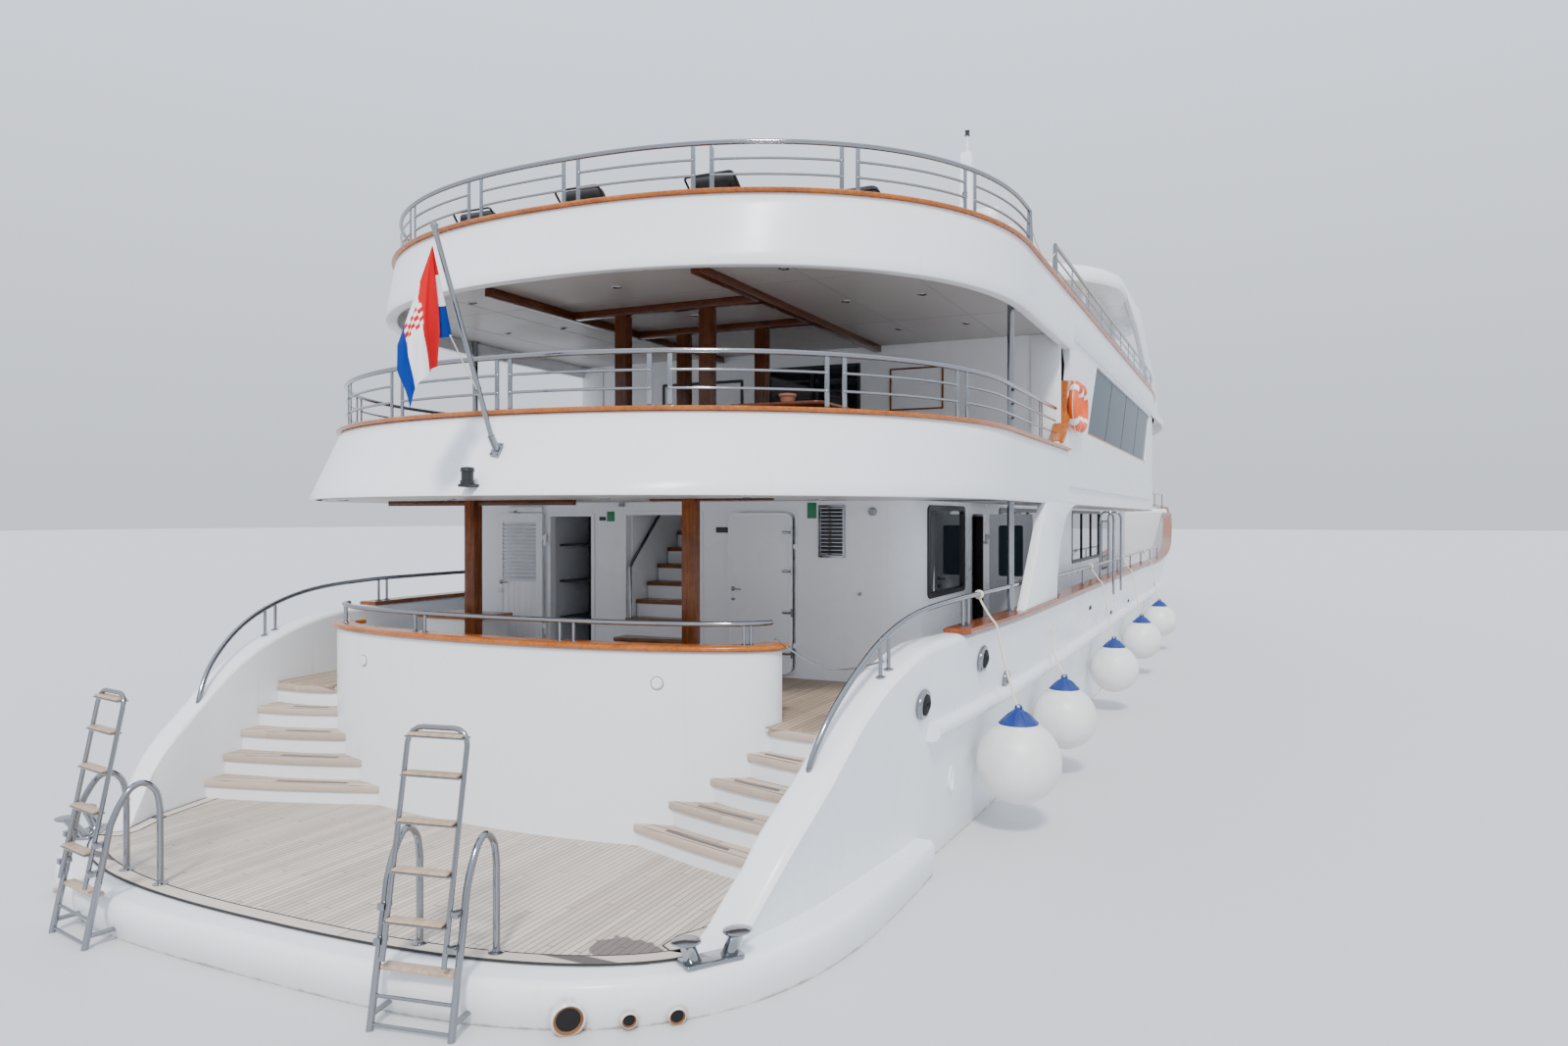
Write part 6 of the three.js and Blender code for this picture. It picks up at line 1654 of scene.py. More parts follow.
@dataclass
class DeckRim(Assembly):
    """A deck that overhangs the stern: raked fascia, slab, ceiling, planking and wood cap."""

    name: str
    low: SternForm
    top: SternForm
    z_low: float
    z_top: float
    slab: tuple[float, float]
    x_end: float
    fore: SternForm
    teak_end: float
    cap_end: float
    hole: tuple[float, float, float] | None = None
    thick: float = 0.14

    def form(self, z: float) -> SternForm:
        """The fascia's line at a height.

        Args:
            z: the height.

        Returns:
            The line at that height.
        """
        share = (z - self.z_low) / (self.z_top - self.z_low)
        return SternForm(self.low.apex + (self.top.apex - self.low.apex) * share, self.low.shoulder,
                         self.low.half, self.low.full)

    def layer(self, piece: Piece, z0: float, z1: float, inset: float, x_fore: float | None = None) -> None:
        """A level sheet of the deck, round the stair's hole.

        Args:
            piece: the piece that it joins.
            z0: its bottom.
            z1: its top.
            inset: distance inwards from the edge.
            x_fore: its fore end, if it isn't the usual one.
        """
        form = self.form(min(max(z0, self.z_low), self.z_top))
        half = form.half - inset
        bow = self.fore.rounded(inset)[::-1] if x_fore is None else [(x_fore, half), (x_fore, -half)]
        if self.hole is None:
            piece.prism([*form.rounded(inset), *bow], z0, z1)
            return
        a, b, w = self.hole
        piece.prism(form.line(a, inset), z0, z1)
        for s in (-1, 1):
            piece.prism([(a, s * w), (b, s * w), (b, s * half), (a, s * half)], z0, z1)
        piece.prism([(b, -half), (b, half), *bow], z0, z1)

    def build(self) -> None:
        """Makes the deck's pieces."""
        node = self.name
        fascia = Piece(f"{node}_fascia", FINISH.white)
        z0, z1, t = self.z_low, self.z_top, self.thick
        section = [(0.03, z0), (0.012, z0 + 0.006), (0.002, z0 + 0.022)]
        section += [(-0.004 * math.sin(math.pi * k / 6), z0 + 0.022 + (z1 - z0 - 0.04) * k / 6)
                    for k in range(1, 6)]
        section += [(0.002, z1 - 0.016), (0.016, z1), (t - 0.016, z1), (t, z1 - 0.016), (t, z0 + 0.01),
                    (t - 0.01, z0)]
        fascia.band(lambda i, z: self.form(z).line(self.x_end, i), section)
        self.dress(fascia)
        fascia.done(node, angle=40)
        # The ceiling's grey finish is painted shade.
        ceiling = Piece(f"{node}_ceiling", FINISH.ceiling)
        self.layer(ceiling, self.slab[0], self.slab[0] + 0.03, 0.07)
        ceiling.done(node)
        waterway = Piece(f"{node}_waterway", FINISH.white)
        self.layer(waterway, self.slab[1] - 0.03, self.slab[1], 0.1)
        half = self.low.half - 0.035
        waterway.prism([(self.x_end, -half), (self.x_end, half), *reversed(self.fore.rounded(0.035))],
                       self.slab[0] + 0.012, self.slab[1] + 0.0003)
        waterway.done()
        planks = Piece(f"{node}_planking", FINISH.deck_teak)
        self.layer(planks, self.slab[1] + 0.0006, self.slab[1] + 0.014, self.thick + 0.05, self.teak_end)
        planks.done()
        self.cap()

    def dress(self, fascia: Piece) -> None:
        """Adds the solids that are one with the fascia."""

    def cap(self) -> None:
        """The varnished cap along the fascia's top."""
        outer = self.top.shifted(-0.05, -0.04)
        section = cap_section(self.z_top + SEAT, self.thick + 0.12)
        cap = Piece(f"{self.name.split('_')[0]}_capping", FINISH.cap_wood)
        cap.band(lambda i, _z: outer.line(self.cap_end, i), section)
        self.dress_cap(cap)
        cap.done(f"{self.name.split('_')[0]}_cap", angle=40)

    def dress_cap(self, cap: Piece) -> None:
        """Adds the wood that goes on from the cap."""


@dataclass
class UpperDeck(DeckRim):
    """The upper deck, with the swept webs that come down to the bulwarks."""

    web: tuple[Plan, ...] = ((-13.93, 2.5006), (-13.86, 2.9), (-13.62, 3.3), (-13.25, 3.6), (-12.75, 3.78),
                             (-12.2, 3.86))
    curl: tuple[Plan, ...] = ((-13.78, 4.722), (-13.62, 4.79), (-13.45, 4.89), (-13.18, 5.14), (-13.0, 5.42),
                              (-12.9, 5.72))

    def dress(self, fascia: Piece) -> None:
        """The two webs.

        Args:
            fascia: the fascia's piece.
        """
        curve = [tuple(p) for p in curve_through(self.web, 6)]
        outline = [(-16.12, 2.5006), *curve, (-12.2, 3.9), (-14.7, 3.9)]
        for s in (-1, 1):
            fascia.side_prism(outline, s * 4.24, s * 4.357, 0.008)

    def dress_cap(self, cap: Piece) -> None:
        """The cap's ends, which curl up the swept edge of the house.

        Args:
            cap: the cap's piece.
        """
        path = curve_through([(x, 0, z) for x, z in self.curl], 5)
        for s in (-1, 1):
            rings = []
            for i, spot in enumerate(path):
                run = (path[min(i + 1, len(path) - 1)] - path[max(i - 1, 0)]).normalized()
                out = Vector((-run.z, 0, run.x))
                rings.append([Vector((spot.x, y, spot.z)) + out * h
                              for y, h in ((s * 4.41, 0.0), (s * 4.41, 0.03), (s * 4.395, 0.042),
                                           (s * 4.2, 0.042), (s * 4.18, 0.03), (s * 4.18, 0.0))])
            cap.skin(rings)


@dataclass
class SunDeck(DeckRim):
    """The sun deck, with straight sides over the house."""

    def dress(self, fascia: Piece) -> None:
        """The sides, which turn in over the fore part of the house.

        Args:
            fascia: the fascia's piece.
        """
        low, top, t = self.slab[0], self.z_top, self.thick
        self.front(fascia, [(0.006, low), (0, low + 0.01), (-0.003, (low + top) / 2), (0.002, top - 0.016),
                            (0.016, top), (t - 0.016, top), (t, top - 0.016), (t, low)])

    def dress_cap(self, cap: Piece) -> None:
        """The cap over both sides."""
        self.front(cap, cap_section(self.z_top + SEAT, self.thick + 0.12, 0.04))

    @staticmethod
    def front(piece: Piece, section: Sequence[Plan]) -> None:
        """A band along both sides, from the stern part to where they have turned in.

        Args:
            piece: the piece that it joins.
            section: (inset, height) points of the band's section.
        """
        rows = (-12.79, -6.0, -1.0, -0.4, 0.2, 0.8, 1.4, 2.0, 2.6, SUN_FRONT_END)
        for s in (-1, 1):
            piece.skin([[(x, s * (SUN_FRONT.half_at(x) - d), z) for d, z in section] for x in rows])


def flat_post(rail: Piece, place: Matrix, z0: float, z1: float) -> None:
    """A flat post with its foot plate and pins, its broad way along the rail.

    Args:
        rail: the rail's piece.
        place: its place, with its length upright.
        z0: its bottom.
        z1: its top.
    """
    rail.box(-0.024, 0.024, -0.007, 0.007, z0 + 0.004, z1 - 0.01, 0.003, place)
    rail.box(-0.045, 0.045, -0.03, 0.03, z0, z0 + 0.008, 0.003, place)
    for z in (z0 + (z1 - z0) * 0.33, z0 + (z1 - z0) * 0.66):
        rail.ball((0, 0, z), (0.02, 0.016, 0.02), 10, place)


@dataclass
class Rails(Assembly):
    """Stainless rails of the upper deck and the sun deck."""

    upper_pairs: tuple[float, ...] = (-4.1, -3.25, -1.82, -0.21, 1.33, 2.7, 3.75)
    sun_pairs: tuple[float, ...] = (-4.04, -3.09, -1.73, -0.21, 1.2, 2.6, 3.8)
    side_posts: tuple[float, ...] = (
        -14.0, -12.5, -10.8, -9.2, -7.8, -6.3, -4.9, -3.7, -2.4, -1.0, 0.5, 2.28)
    gap: float = 0.15
    gate_posts: Plan = (-14.9, -14.75)

    def run(self, rail: Piece, form: SternForm, x_end: float, z_cap: float, z_top: float,
            pairs: Sequence[float]) -> SternForm:
        """The top tube round the stern, pairs of posts, and two bars from each pair to the next.

        Args:
            rail: the rail's piece.
            form: the deck's edge.
            x_end: where the rail ends.
            z_cap: the cap's height.
            z_top: the top tube's height.
            pairs: places of the pairs across the ship.

        Returns:
            The rail's line.
        """
        line = form.shifted(0.07, 0.07)
        rise = z_top - z_cap
        path = [Vector((x, y, 0)) for x, y in line.line(x_end, 0, 400)]
        rail.tube([p + Vector((0, 0, z_top)) for p in [*path[::5], path[-1]]], 0.027, 12)
        feet = []
        for y in pairs:
            first = min(range(1, len(path) - 1), key=lambda i: abs(path[i].y - y))
            for step in (-1, 1):
                i = first
                while (path[i] - path[first]).length < self.gap / 2 and 1 < i < len(path) - 2:
                    i += step
                feet.append(i)
        for i in feet:
            run = path[i + 1] - path[i - 1]
            place = Matrix.Translation(path[i]) @ Matrix.Rotation(math.atan2(run.y, run.x), 4, "Z")
            flat_post(rail, place, z_cap + SEAT, z_top)
        spans = [(0, feet[0]), *zip(feet[1::2], feet[2::2]), (feet[-1], len(path) - 1)]
        for a, b in spans:
            track = [path[i] for i in (*range(a, b, 5), b)]
            for share in BAR_SHARES:
                rail.tube([p + Vector((0, 0, z_cap + rise * share)) for p in track], 0.014, 8)
        return line

    def build(self) -> None:
        """Makes the rails."""
        z_cap = Level.UPPER_TOP + SEAT + CAP
        upper = Piece("upper_handrail", FINISH.steel)
        line = self.run(upper, UPPER_TOP, -13.75, z_cap, Level.UPPER_RAIL, self.upper_pairs)
        for s in (-1, 1):
            for x in self.gate_posts:
                flat_post(upper, Matrix.Translation((x, s * line.half, 0)), z_cap + SEAT, Level.UPPER_RAIL)
            upper.tube([(POST_X, s * POST_Y, z_cap + SEAT), (POST_X, s * POST_Y, 6.398)], 0.042, 20)
            for z in (z_cap + SEAT, 6.392):
                upper.lathe([(0, 0), (0.085, 0), (0.085, 0.006), (0, 0.006)], (POST_X, s * POST_Y, z),
                            sides=24)
            upper.tube([(POST_X, s * POST_Y, Level.UPPER_RAIL), (POST_X, s * line.half, Level.UPPER_RAIL)],
                       0.014, 8)
        upper.done("upper_rail", angle=40)
        z_cap = Level.SUN_TOP + SEAT + CAP
        aft = Piece("sun_handrail_aft", FINISH.steel)
        line = self.run(aft, SUN_TOP, -15.8, z_cap, Level.SUN_RAIL, self.sun_pairs)
        for s in (-1, 1):
            aft.tube([(-15.8, s * line.half, z_cap + SEAT), (-15.8, s * line.half, Level.SUN_RAIL)],
                     [0.05, 0.03], 14)
        aft.done("sun_rail_aft", angle=40)
        for side in Side:
            self.forward(side, z_cap)

    def forward(self, side: Side, z_cap: float) -> None:
        """The rail over one side of the house.

        Args:
            side: the side it stands on.
            z_cap: the cap's height.
        """
        rail = Piece(f"sun_handrail_{side.label}", FINISH.steel)
        rise = Level.SUN_RAIL - z_cap
        y = [side.value * (SUN_FRONT.half_at(x) - 0.07) for x in self.side_posts]
        track = [-14.0, -7.0, -1.0, -0.35, 0.3, 0.85, 1.4, 1.85, 2.3]
        for share, r in ((1.0, 0.027), *((share, 0.014) for share in BAR_SHARES)):
            rail.tube([(x, side.value * (SUN_FRONT.half_at(x) - 0.07), z_cap + rise * share) for x in track],
                      r, 12)
        rail.tube([(-14.0, y[0], z_cap + SEAT), (-14.0, y[0], Level.SUN_RAIL)], [0.045, 0.028], 14)
        for x, across in zip(self.side_posts[1:], y[1:]):
            flat_post(rail, Matrix.Translation((x, across, 0)), z_cap + SEAT, Level.SUN_RAIL)
        rail.done(f"sun_rail_{side.label}", angle=40)


@dataclass
class SideRails(Assembly):
    """Bulwark caps, wing handrails and the low side rails with their boarding hoops."""

    wing: tuple[Point, ...] = ((-21.3, 3.68, 1.5), (-21.3, 3.68, 1.66), (-21.1, 3.76, 2.0),
                               (-20.7, 3.86, 2.34), (-20.2, 3.93, 2.58), (-19.5, 4.01, 2.74),
                               (-18.5, 4.12, 2.8), (-17.4, 4.18, 2.81), (-16.28, 4.2, 2.81),
                               (-15.5, 4.19, 2.81))
    posts: tuple[float, ...] = (-13.2, -10.8, -6.0, -3.6, -1.2, 1.2, 3.5)
    hoops: Plan = (-8.65, -7.5)

    def build(self) -> None:
        """Makes both sides."""
        for side in Side:
            self.cap(side)
            self.wing_rail(side)
            self.low_rail(side)

    def cap(self, side: Side) -> None:
        """The varnished cap along the bulwark.

        Args:
            side: the side it stands on.
        """
        cap = Piece(f"bulwark_capping_{side.label}", FINISH.bulwark_wood)
        rings = []
        for i in range(117):
            x = -18.5 + 38.5 * i / 116
            z, outer = FORM.column("top", x) + SEAT, FORM.column("rail", x) + 0.06
            if 11.0 < x < 12.5:
                z = min(z, 3.79)
            lean = FORM.shift(x, FORM.column("top", x))
            rings.append([(lean, side.value * (outer - d), z + h)
                          for d, h in ((0.012, 0), (0, 0.012), (0, 0.034), (0.012, 0.05), (0.286, 0.05),
                                       (0.3, 0.034), (0.3, 0.012), (0.288, 0))])
        cap.skin(rings)
        cap.done(f"bulwark_cap_{side.label}", angle=40)

    def wing_rail(self, side: Side) -> None:
        """The handrail that sweeps down the stern wing.

        Args:
            side: the side it stands on.
        """
        s = side.value
        rail = Piece(f"wing_handrail_{side.label}", FINISH.steel)
        path = [Vector((x, s * y, z)) for x, y, z in (tuple(p) for p in curve_through(self.wing, 5))]
        rail.tube(path, 0.028, 14)
        rail.ball(path[0], 0.028, 14)
        rail.ball(path[-1], 0.028, 14)
        for x, y in ((-18.3, 4.14), (-18.14, 4.155)):
            rail.tube([(x, s * y, FORM.cap_top(x)), (x, s * y, 2.8)], 0.018, 12)
            rail.lathe([(0.045, 0), (0.045, 0.008), (0.02, 0.014)], (x, s * y, FORM.cap_top(x) + SEAT),
                       sides=18)
        for x, y in ((-20.28, 3.92), (-20.12, 3.94)):
            rail.tube([(x, s * y, FORM.column("top", x) - 0.03), (x, s * y, 2.58)], 0.018, 12)
            rail.lathe([(0.045, 0), (0.045, 0.012), (0.02, 0.018)],
                       (x, s * y, FORM.column("top", x) - 0.004), sides=18)
        rail.tube([(POST_X, s * POST_Y, FORM.cap_top(POST_X) + SEAT),
                   (POST_X, s * POST_Y, Level.UPPER_UNDER)], 0.042, 20)
        rail.lathe([(0.085, 0), (0.085, 0.008), (0.044, 0.012)],
                   (POST_X, s * POST_Y, FORM.cap_top(POST_X) + SEAT), sides=24)
        rail.done(f"wing_rail_{side.label}", angle=40)

    def low_rail(self, side: Side) -> None:
        """The low rail, its posts and the two hoops of the boarding gate.

        Args:
            side: the side it stands on.
        """
        s = side.value
        rail = Piece(f"side_handrail_{side.label}", FINISH.steel)
        z0, y = Level.RAIL_TOP + SEAT + 0.05, s * 4.24
        rail.tube([(-13.3, y, Level.SIDE_RAIL), (3.6, y, Level.SIDE_RAIL)], 0.026, 12)
        for x in self.posts:
            rail.tube([(x, y, z0), (x, y, Level.SIDE_RAIL)], 0.018, 10)
            rail.lathe([(0.04, 0), (0.04, 0.008), (0.02, 0.012)], (x, y, z0 + SEAT), sides=14)
        for x in self.hoops:
            hoop = curve_through([(x, y, 3.4), (x, y, 3.62), (x, s * 4.27, 3.72), (x, s * 4.36, 3.76),
                                  (x, s * 4.45, 3.72), (x, s * 4.48, 3.62), (x, s * 4.48, 3.4)], 4)
            rail.tube([(x, y, z0), *hoop, (x, s * 4.48, 2.2)], 0.022, 12)
        rail.done(f"side_rail_{side.label}", angle=40)


# Houses


@dataclass
class MainHouse(Assembly):
    """The main deckhouse: walls, windows, doorways, grille and the stair inside."""

    aft: float = -17.53
    half: float = 3.4
    windows: tuple[Plan, ...] = ((-17.1, -15.46), (-13.4, -10.1), (-6.7, -2.55))
    window_z: Plan = (2.7, 3.78)
    fore_window: tuple[float, ...] = (-2.2, -0.7, 2.34, 3.58)
    room_top: float = 3.845
    surrounds: tuple[tuple[float, ...], ...] = ((1.1, 1.8, 1.74, 3.68), (-0.55, 0.58, 1.72, 3.7))
    lamps: tuple[Point, ...] = ((-2.86, 3.72, 0.05), (-2.7, 2.75, 0.02), (2.35, 3.72, 0.05))
    shelves: Point = (2.25, 2.75, 3.25)

    def build(self) -> None:
        """Makes the house."""
        Piece("main_walls", FINISH.white).copy_node("main_house").done("main_house", angle=28)
        frames = Piece("main_window_frames", FINISH.black)
        panes = Piece("main_window_panes", FINISH.glass)
        for side in Side:
            wall = side_wall(side, self.half)
            for a, b in self.windows:
                outer = rounded_rect(a - 0.02, b + 0.02, self.window_z[0] - 0.02, self.window_z[1] + 0.02,
                                     0.07)
                inner = rounded_rect(a + 0.045, b - 0.045, self.window_z[0] + 0.045,
                                     self.window_z[1] - 0.045, 0.05)
                frame_ring(frames, outer, inner, -0.05, 0.014, wall)
                panes.prism(rounded_rect(a + 0.03, b - 0.03, self.window_z[0] + 0.03,
                                         self.window_z[1] - 0.03, 0.05), -0.03, -0.018, matrix=wall)
                if b - a > 2.5:
                    for k in range(1, 3):
                        x = a + (b - a) * k / 3
                        frames.box(x - 0.02, x + 0.02, *self.window_z, -0.03, 0.008, 0.003, wall)
            outer = rounded_rect(*self.fore_window, 0.07)
            frame_ring(frames, outer, inset_polygon(outer, 0.045), -0.01, 0.014, wall)
            panes.prism(inset_polygon(outer, 0.03), -0.01, 0.004, matrix=wall)
            door = rounded_rect(-15.05, -14.41, 1.75, 3.7, 0.06)
            frame_ring(frames, door, inset_polygon(door, 0.03), -0.1, 0.006, wall)
        frames.done()
        panes.done()
        self.aft_face()
        self.stair()

    def aft_face(self) -> None:
        """Door surrounds, grille, lamps and the low locker."""
        wall = aft_wall(self.aft)
        trim = Piece("main_door_surrounds", FINISH.white)
        for y0, y1, low, top in self.surrounds:
            outer = rounded_rect(y0 - 0.035, y1 + 0.035, low, top + 0.035, 0.05)
            frame_ring(trim, outer, inset_polygon(outer, 0.05), -0.1, 0.016, wall)
        outer = rounded_rect(-1.9, -0.95, 1.74, 3.74, 0.1)
        frame_ring(trim, outer, inset_polygon(outer, 0.035), -0.02, 0.012, wall)
        frame_ring(trim, inset_polygon(outer, -0.02), inset_polygon(outer, 0.09), -0.1, -0.058, wall)
        trim.box(1.9, 2.48, 3.72, 3.8, 0.0, 0.05, 0.012, wall)
        trim.done()
        signs = Piece("blank_green_plates", FINISH.green)
        signs.box(0.75, 0.87, 3.6, 3.73, 0.0, 0.008, 0.002, wall)
        signs.box(-2.14, -2.02, 3.64, 3.83, 0.0, 0.008, 0.002, wall)
        signs.done()
        backing = Piece("grille_backing", FINISH.black)
        backing.box(-0.96, -0.77, 3.46, 3.53, 0.0, 0.008, 0.002, wall)
        backing.box(0.89, 0.99, 3.61, 3.66, 0.0, 0.008, 0.002, wall)
        backing.box(-2.48, -2.2, 3.2, 3.78, 0.0, 0.003, 0.001, wall)
        backing.done()
        grille = Piece("vent_grille", FINISH.steel)
        outer = rounded_rect(-2.51, -2.17, 3.17, 3.8, 0.015)
        frame_ring(grille, outer, inset_polygon(outer, 0.025), 0.0, 0.024, wall)
        for k in range(13):
            z = 3.21 + k * 0.0455
            slat = [(-2.49, z), (-2.19, z), (-2.19, z + 0.014), (-2.49, z + 0.014)]
            grille.prism(slat, 0.004, 0.02, 0.002, wall)
        grille.done()
        bits = Piece("aft_wall_fittings", FINISH.grey)
        for y, z, r in self.lamps:
            bits.lathe([(0, 0.0), (r, 0.0), (r, 0.03), (r * 0.7, 0.05), (0, 0.055)], (self.aft, y, z),
                       (-1, 0, 0), 20)
        bits.box(0.59, 0.66, 3.79, 3.84, 0.0, 0.05, 0.006, wall)
        bits.done()
        Piece("cockpit_locker", FINISH.white).box(-18.6, -17.95, 2.15, 3.05, 1.702, 2.34, 0.03).done()
        Piece("cockpit_locker_top", FINISH.cap_wood).box(-18.64, -17.93, 2.1, 3.1, 2.34, 2.38, 0.012).done()

    def stair(self) -> None:
        """The stair to the upper deck between its partitions, with thick wood treads and a handrail."""
        start, going, count, thick = -18.175, 0.265, 11, 0.055
        rise = (Level.UPPER_DECK - Level.MAIN_DECK) / count
        body = Piece("inner_stair_body", FINISH.white)
        profile = [(start + 0.03, Level.MAIN_PLANKS)]
        treads = Piece("inner_stair_treads", FINISH.stair_wood)
        for i in range(count - 1):
            x, z = start + going * i, Level.MAIN_DECK + rise * (i + 1)
            profile += [(x + 0.03, z - thick), (x + going + 0.03, z - thick)]
            treads.box(x, x + going + 0.028, -0.5, 0.52, z - thick, z, 0.01)
        profile += [(start + going * 10, Level.MAIN_DECK + rise * 8), (start + going * 2, Level.MAIN_PLANKS)]
        body.side_prism(profile, -0.498, 0.518)
        body.done("inner_stair")
        treads.done()
        walls = Piece("stair_partitions", FINISH.white)
        walls.box(-17.42, -15.5, 0.545, 0.575, Level.MAIN_PLANKS, self.room_top, 0.004)
        walls.box(-17.42, -15.5, -0.555, -0.525, Level.MAIN_PLANKS, self.room_top, 0.004)
        for y in (0.98, 1.9):
            walls.box(-17.42, -16.5, y, y + 0.03, Level.MAIN_PLANKS, self.room_top, 0.004)
        walls.done()
        # The store's back wall and shelves are near-black: painted shade for the unlit room.
        back = Piece("store_back", FINISH.store_shade)
        back.box(-16.5, -16.47, 0.6, 2.1, Level.MAIN_PLANKS, self.room_top, 0.004)
        for z in self.shelves:
            back.box(-17.2, -16.5, 1.5, 1.89, z, z + 0.03, 0.006)
        back.done()
        rail = Piece("inner_stair_handrail", FINISH.steel)
        rail.tube([(-17.56, 0.49, 1.72), (-17.56, 0.49, 3.0), (-17.5, 0.49, 3.08), (-16.5, 0.49, 4.0),
                   (-15.7, 0.49, 4.75)], 0.022, 12)
        rail.done()


@dataclass
class Door(Assembly):
    """A hinged door leaf on its own body."""

    name: str
    axis: Plan
    run: Plan
    out: Plan
    width: float
    height: float
    swung: float
    louvred: bool = False
    solid: bool = False
    sill: float = 1.75
    half_thick: float = 0.0225
    clamps: tuple[float, ...] = (0.25, 0.75, 1.25, 1.72)
    hinges: Plan = (2.13, 3.33)

    def place(self) -> Matrix:
        """Turns (along the leaf, outwards, up) into the leaf's place at rest.

        Returns:
            The matrix.
        """
        basis = Matrix(((self.run[0], self.out[0], 0, 0), (self.run[1], self.out[1], 0, 0), (0, 0, 1, 0),
                        (0, 0, 0, 1)))
        return Matrix.Translation((*self.axis, 0)) @ Matrix.Rotation(math.radians(self.swung), 4,
                "Z") @ basis

    def build(self) -> None:
        """Makes the leaf, its hinges, its lever and its pane."""
        z0, w, h, t = self.sill, self.width, self.height, self.half_thick
        place = self.place()
        upright = place @ Matrix(((1, 0, 0, 0), (0, 0, 1, 0), (0, 1, 0, 0), (0, 0, 0, 1)))
        leaf = Piece(f"{self.name}_leaf", FINISH.white, body=self.name)
        metal = Piece(f"{self.name}_fittings", FINISH.steel, self.name)
        outline = rounded_rect(0.04, w, z0, z0 + h, 0.09 if self.solid else 0.02)
        if self.solid:
            leaf.prism(outline, -t, t, 0.006, upright)
            frame_ring(leaf, outline, inset_polygon(outline, 0.035), t - 0.001, t + 0.01, upright)
            leaf.prism(inset_polygon(outline, 0.02), -0.046, 0.001 - t, matrix=upright)
            for z in (z0 + height for height in self.clamps):
                metal.tube([(0.03, t + 0.012, z - 0.05), (0.03, t + 0.012, z + 0.05)], 0.014, 12, place)
                metal.box(0.03, 0.16, t, t + 0.012, z - 0.016, z + 0.016, 0.004, place)
        else:
            window = rounded_rect(0.17, w - 0.13, z0 + h * 0.55, z0 + h - 0.16, 0.03)
            frame_ring(leaf, outline, rounded_rect(0.13, w - 0.09, z0 + 0.12, z0 + h - 0.12, 0.02), -t, t,
                       upright)
            leaf.prism(rounded_rect(0.12, w - 0.08, z0 + 0.1, z0 + h * 0.53, 0.01), -t * 0.6, t * 0.6, 0.004,
                       upright)
            if self.louvred:
                for k in range(15):
                    z = z0 + h * 0.53 + 0.02 + k * 0.052
                    slat = Matrix.Translation((0, 0, z)) @ Matrix.Rotation(math.radians(38), 4, "X")
                    leaf.box(0.12, w - 0.08, -0.022, 0.022, -0.004, 0.004, 0.002, place @ slat)
                for k in range(1, 6):
                    u = 0.13 + (w - 0.22) * k / 6
                    for face in (-1, 1):
                        leaf.tube([(u, face * t * 0.6, z0 + 0.13), (u, face * t * 0.6, z0 + h * 0.52)],
                                  0.005, 6, place)
            else:
                frame_ring(leaf, rounded_rect(0.12, w - 0.08, z0 + h * 0.52, z0 + h - 0.1, 0.02), window,
                           -t * 0.8, t * 0.8, upright)
                # The pane's colour is a painted reflection of the sky.
                pane = Piece(f"{self.name}_pane", FINISH.painted_sky_glass, self.name)
                pane.prism(inset_polygon(window, -0.01), -0.004, 0.004, matrix=upright)
                pane.done()
            for z in self.hinges:
                leaf.tube([(0, 0, z + SEAT), (0, 0, z + 0.09)], 0.022, 14, place)
                leaf.box(0.0, 0.06, -0.015, 0.015, z + 0.015, z + 0.075, 0.003, place)
        for s in (-1, 1):
            metal.lathe([(0, 0), (0.028, 0), (0.028, 0.008), (0.012, 0.014), (0.012, 0.04), (0, 0.042)],
                        place @ Vector((w - 0.07, s * t, z0 + 1.02)),
                        (place.to_3x3() @ Vector((0, s, 0))).to_tuple(), 18)
            metal.tube([(w - 0.07, s * (t + 0.036), z0 + 1.02), (w - 0.19, s * (t + 0.036), z0 + 1.015)],
                       0.009, 10, place)
            metal.lathe([(0, 0), (0.024, 0), (0.024, 0.01), (0, 0.012)],
                        place @ Vector((w - 0.07, s * t, z0 + 0.9)),
                        (place.to_3x3() @ Vector((0, s, 0))).to_tuple(), 16)
        leaf.done(self.name)
        metal.done()


DOORS: tuple[Door, ...] = (
    Door("steel_door", (-17.58, -1.88), (0, 1), (-1, 0), 0.9, 1.96, 0, solid=True),
    Door("louvred_door", (-17.58, 1.84), (0, -1), (-1, 0), 0.74, 1.96, -172, louvred=True),
    Door("side_door_port", (-14.41, 3.45), (-1, 0), (0, 1), 0.64, 1.95, -95),
    Door("side_door_starboard", (-14.41, -3.45), (-1, 0), (0, -1), 0.64, 1.95, 95),
)


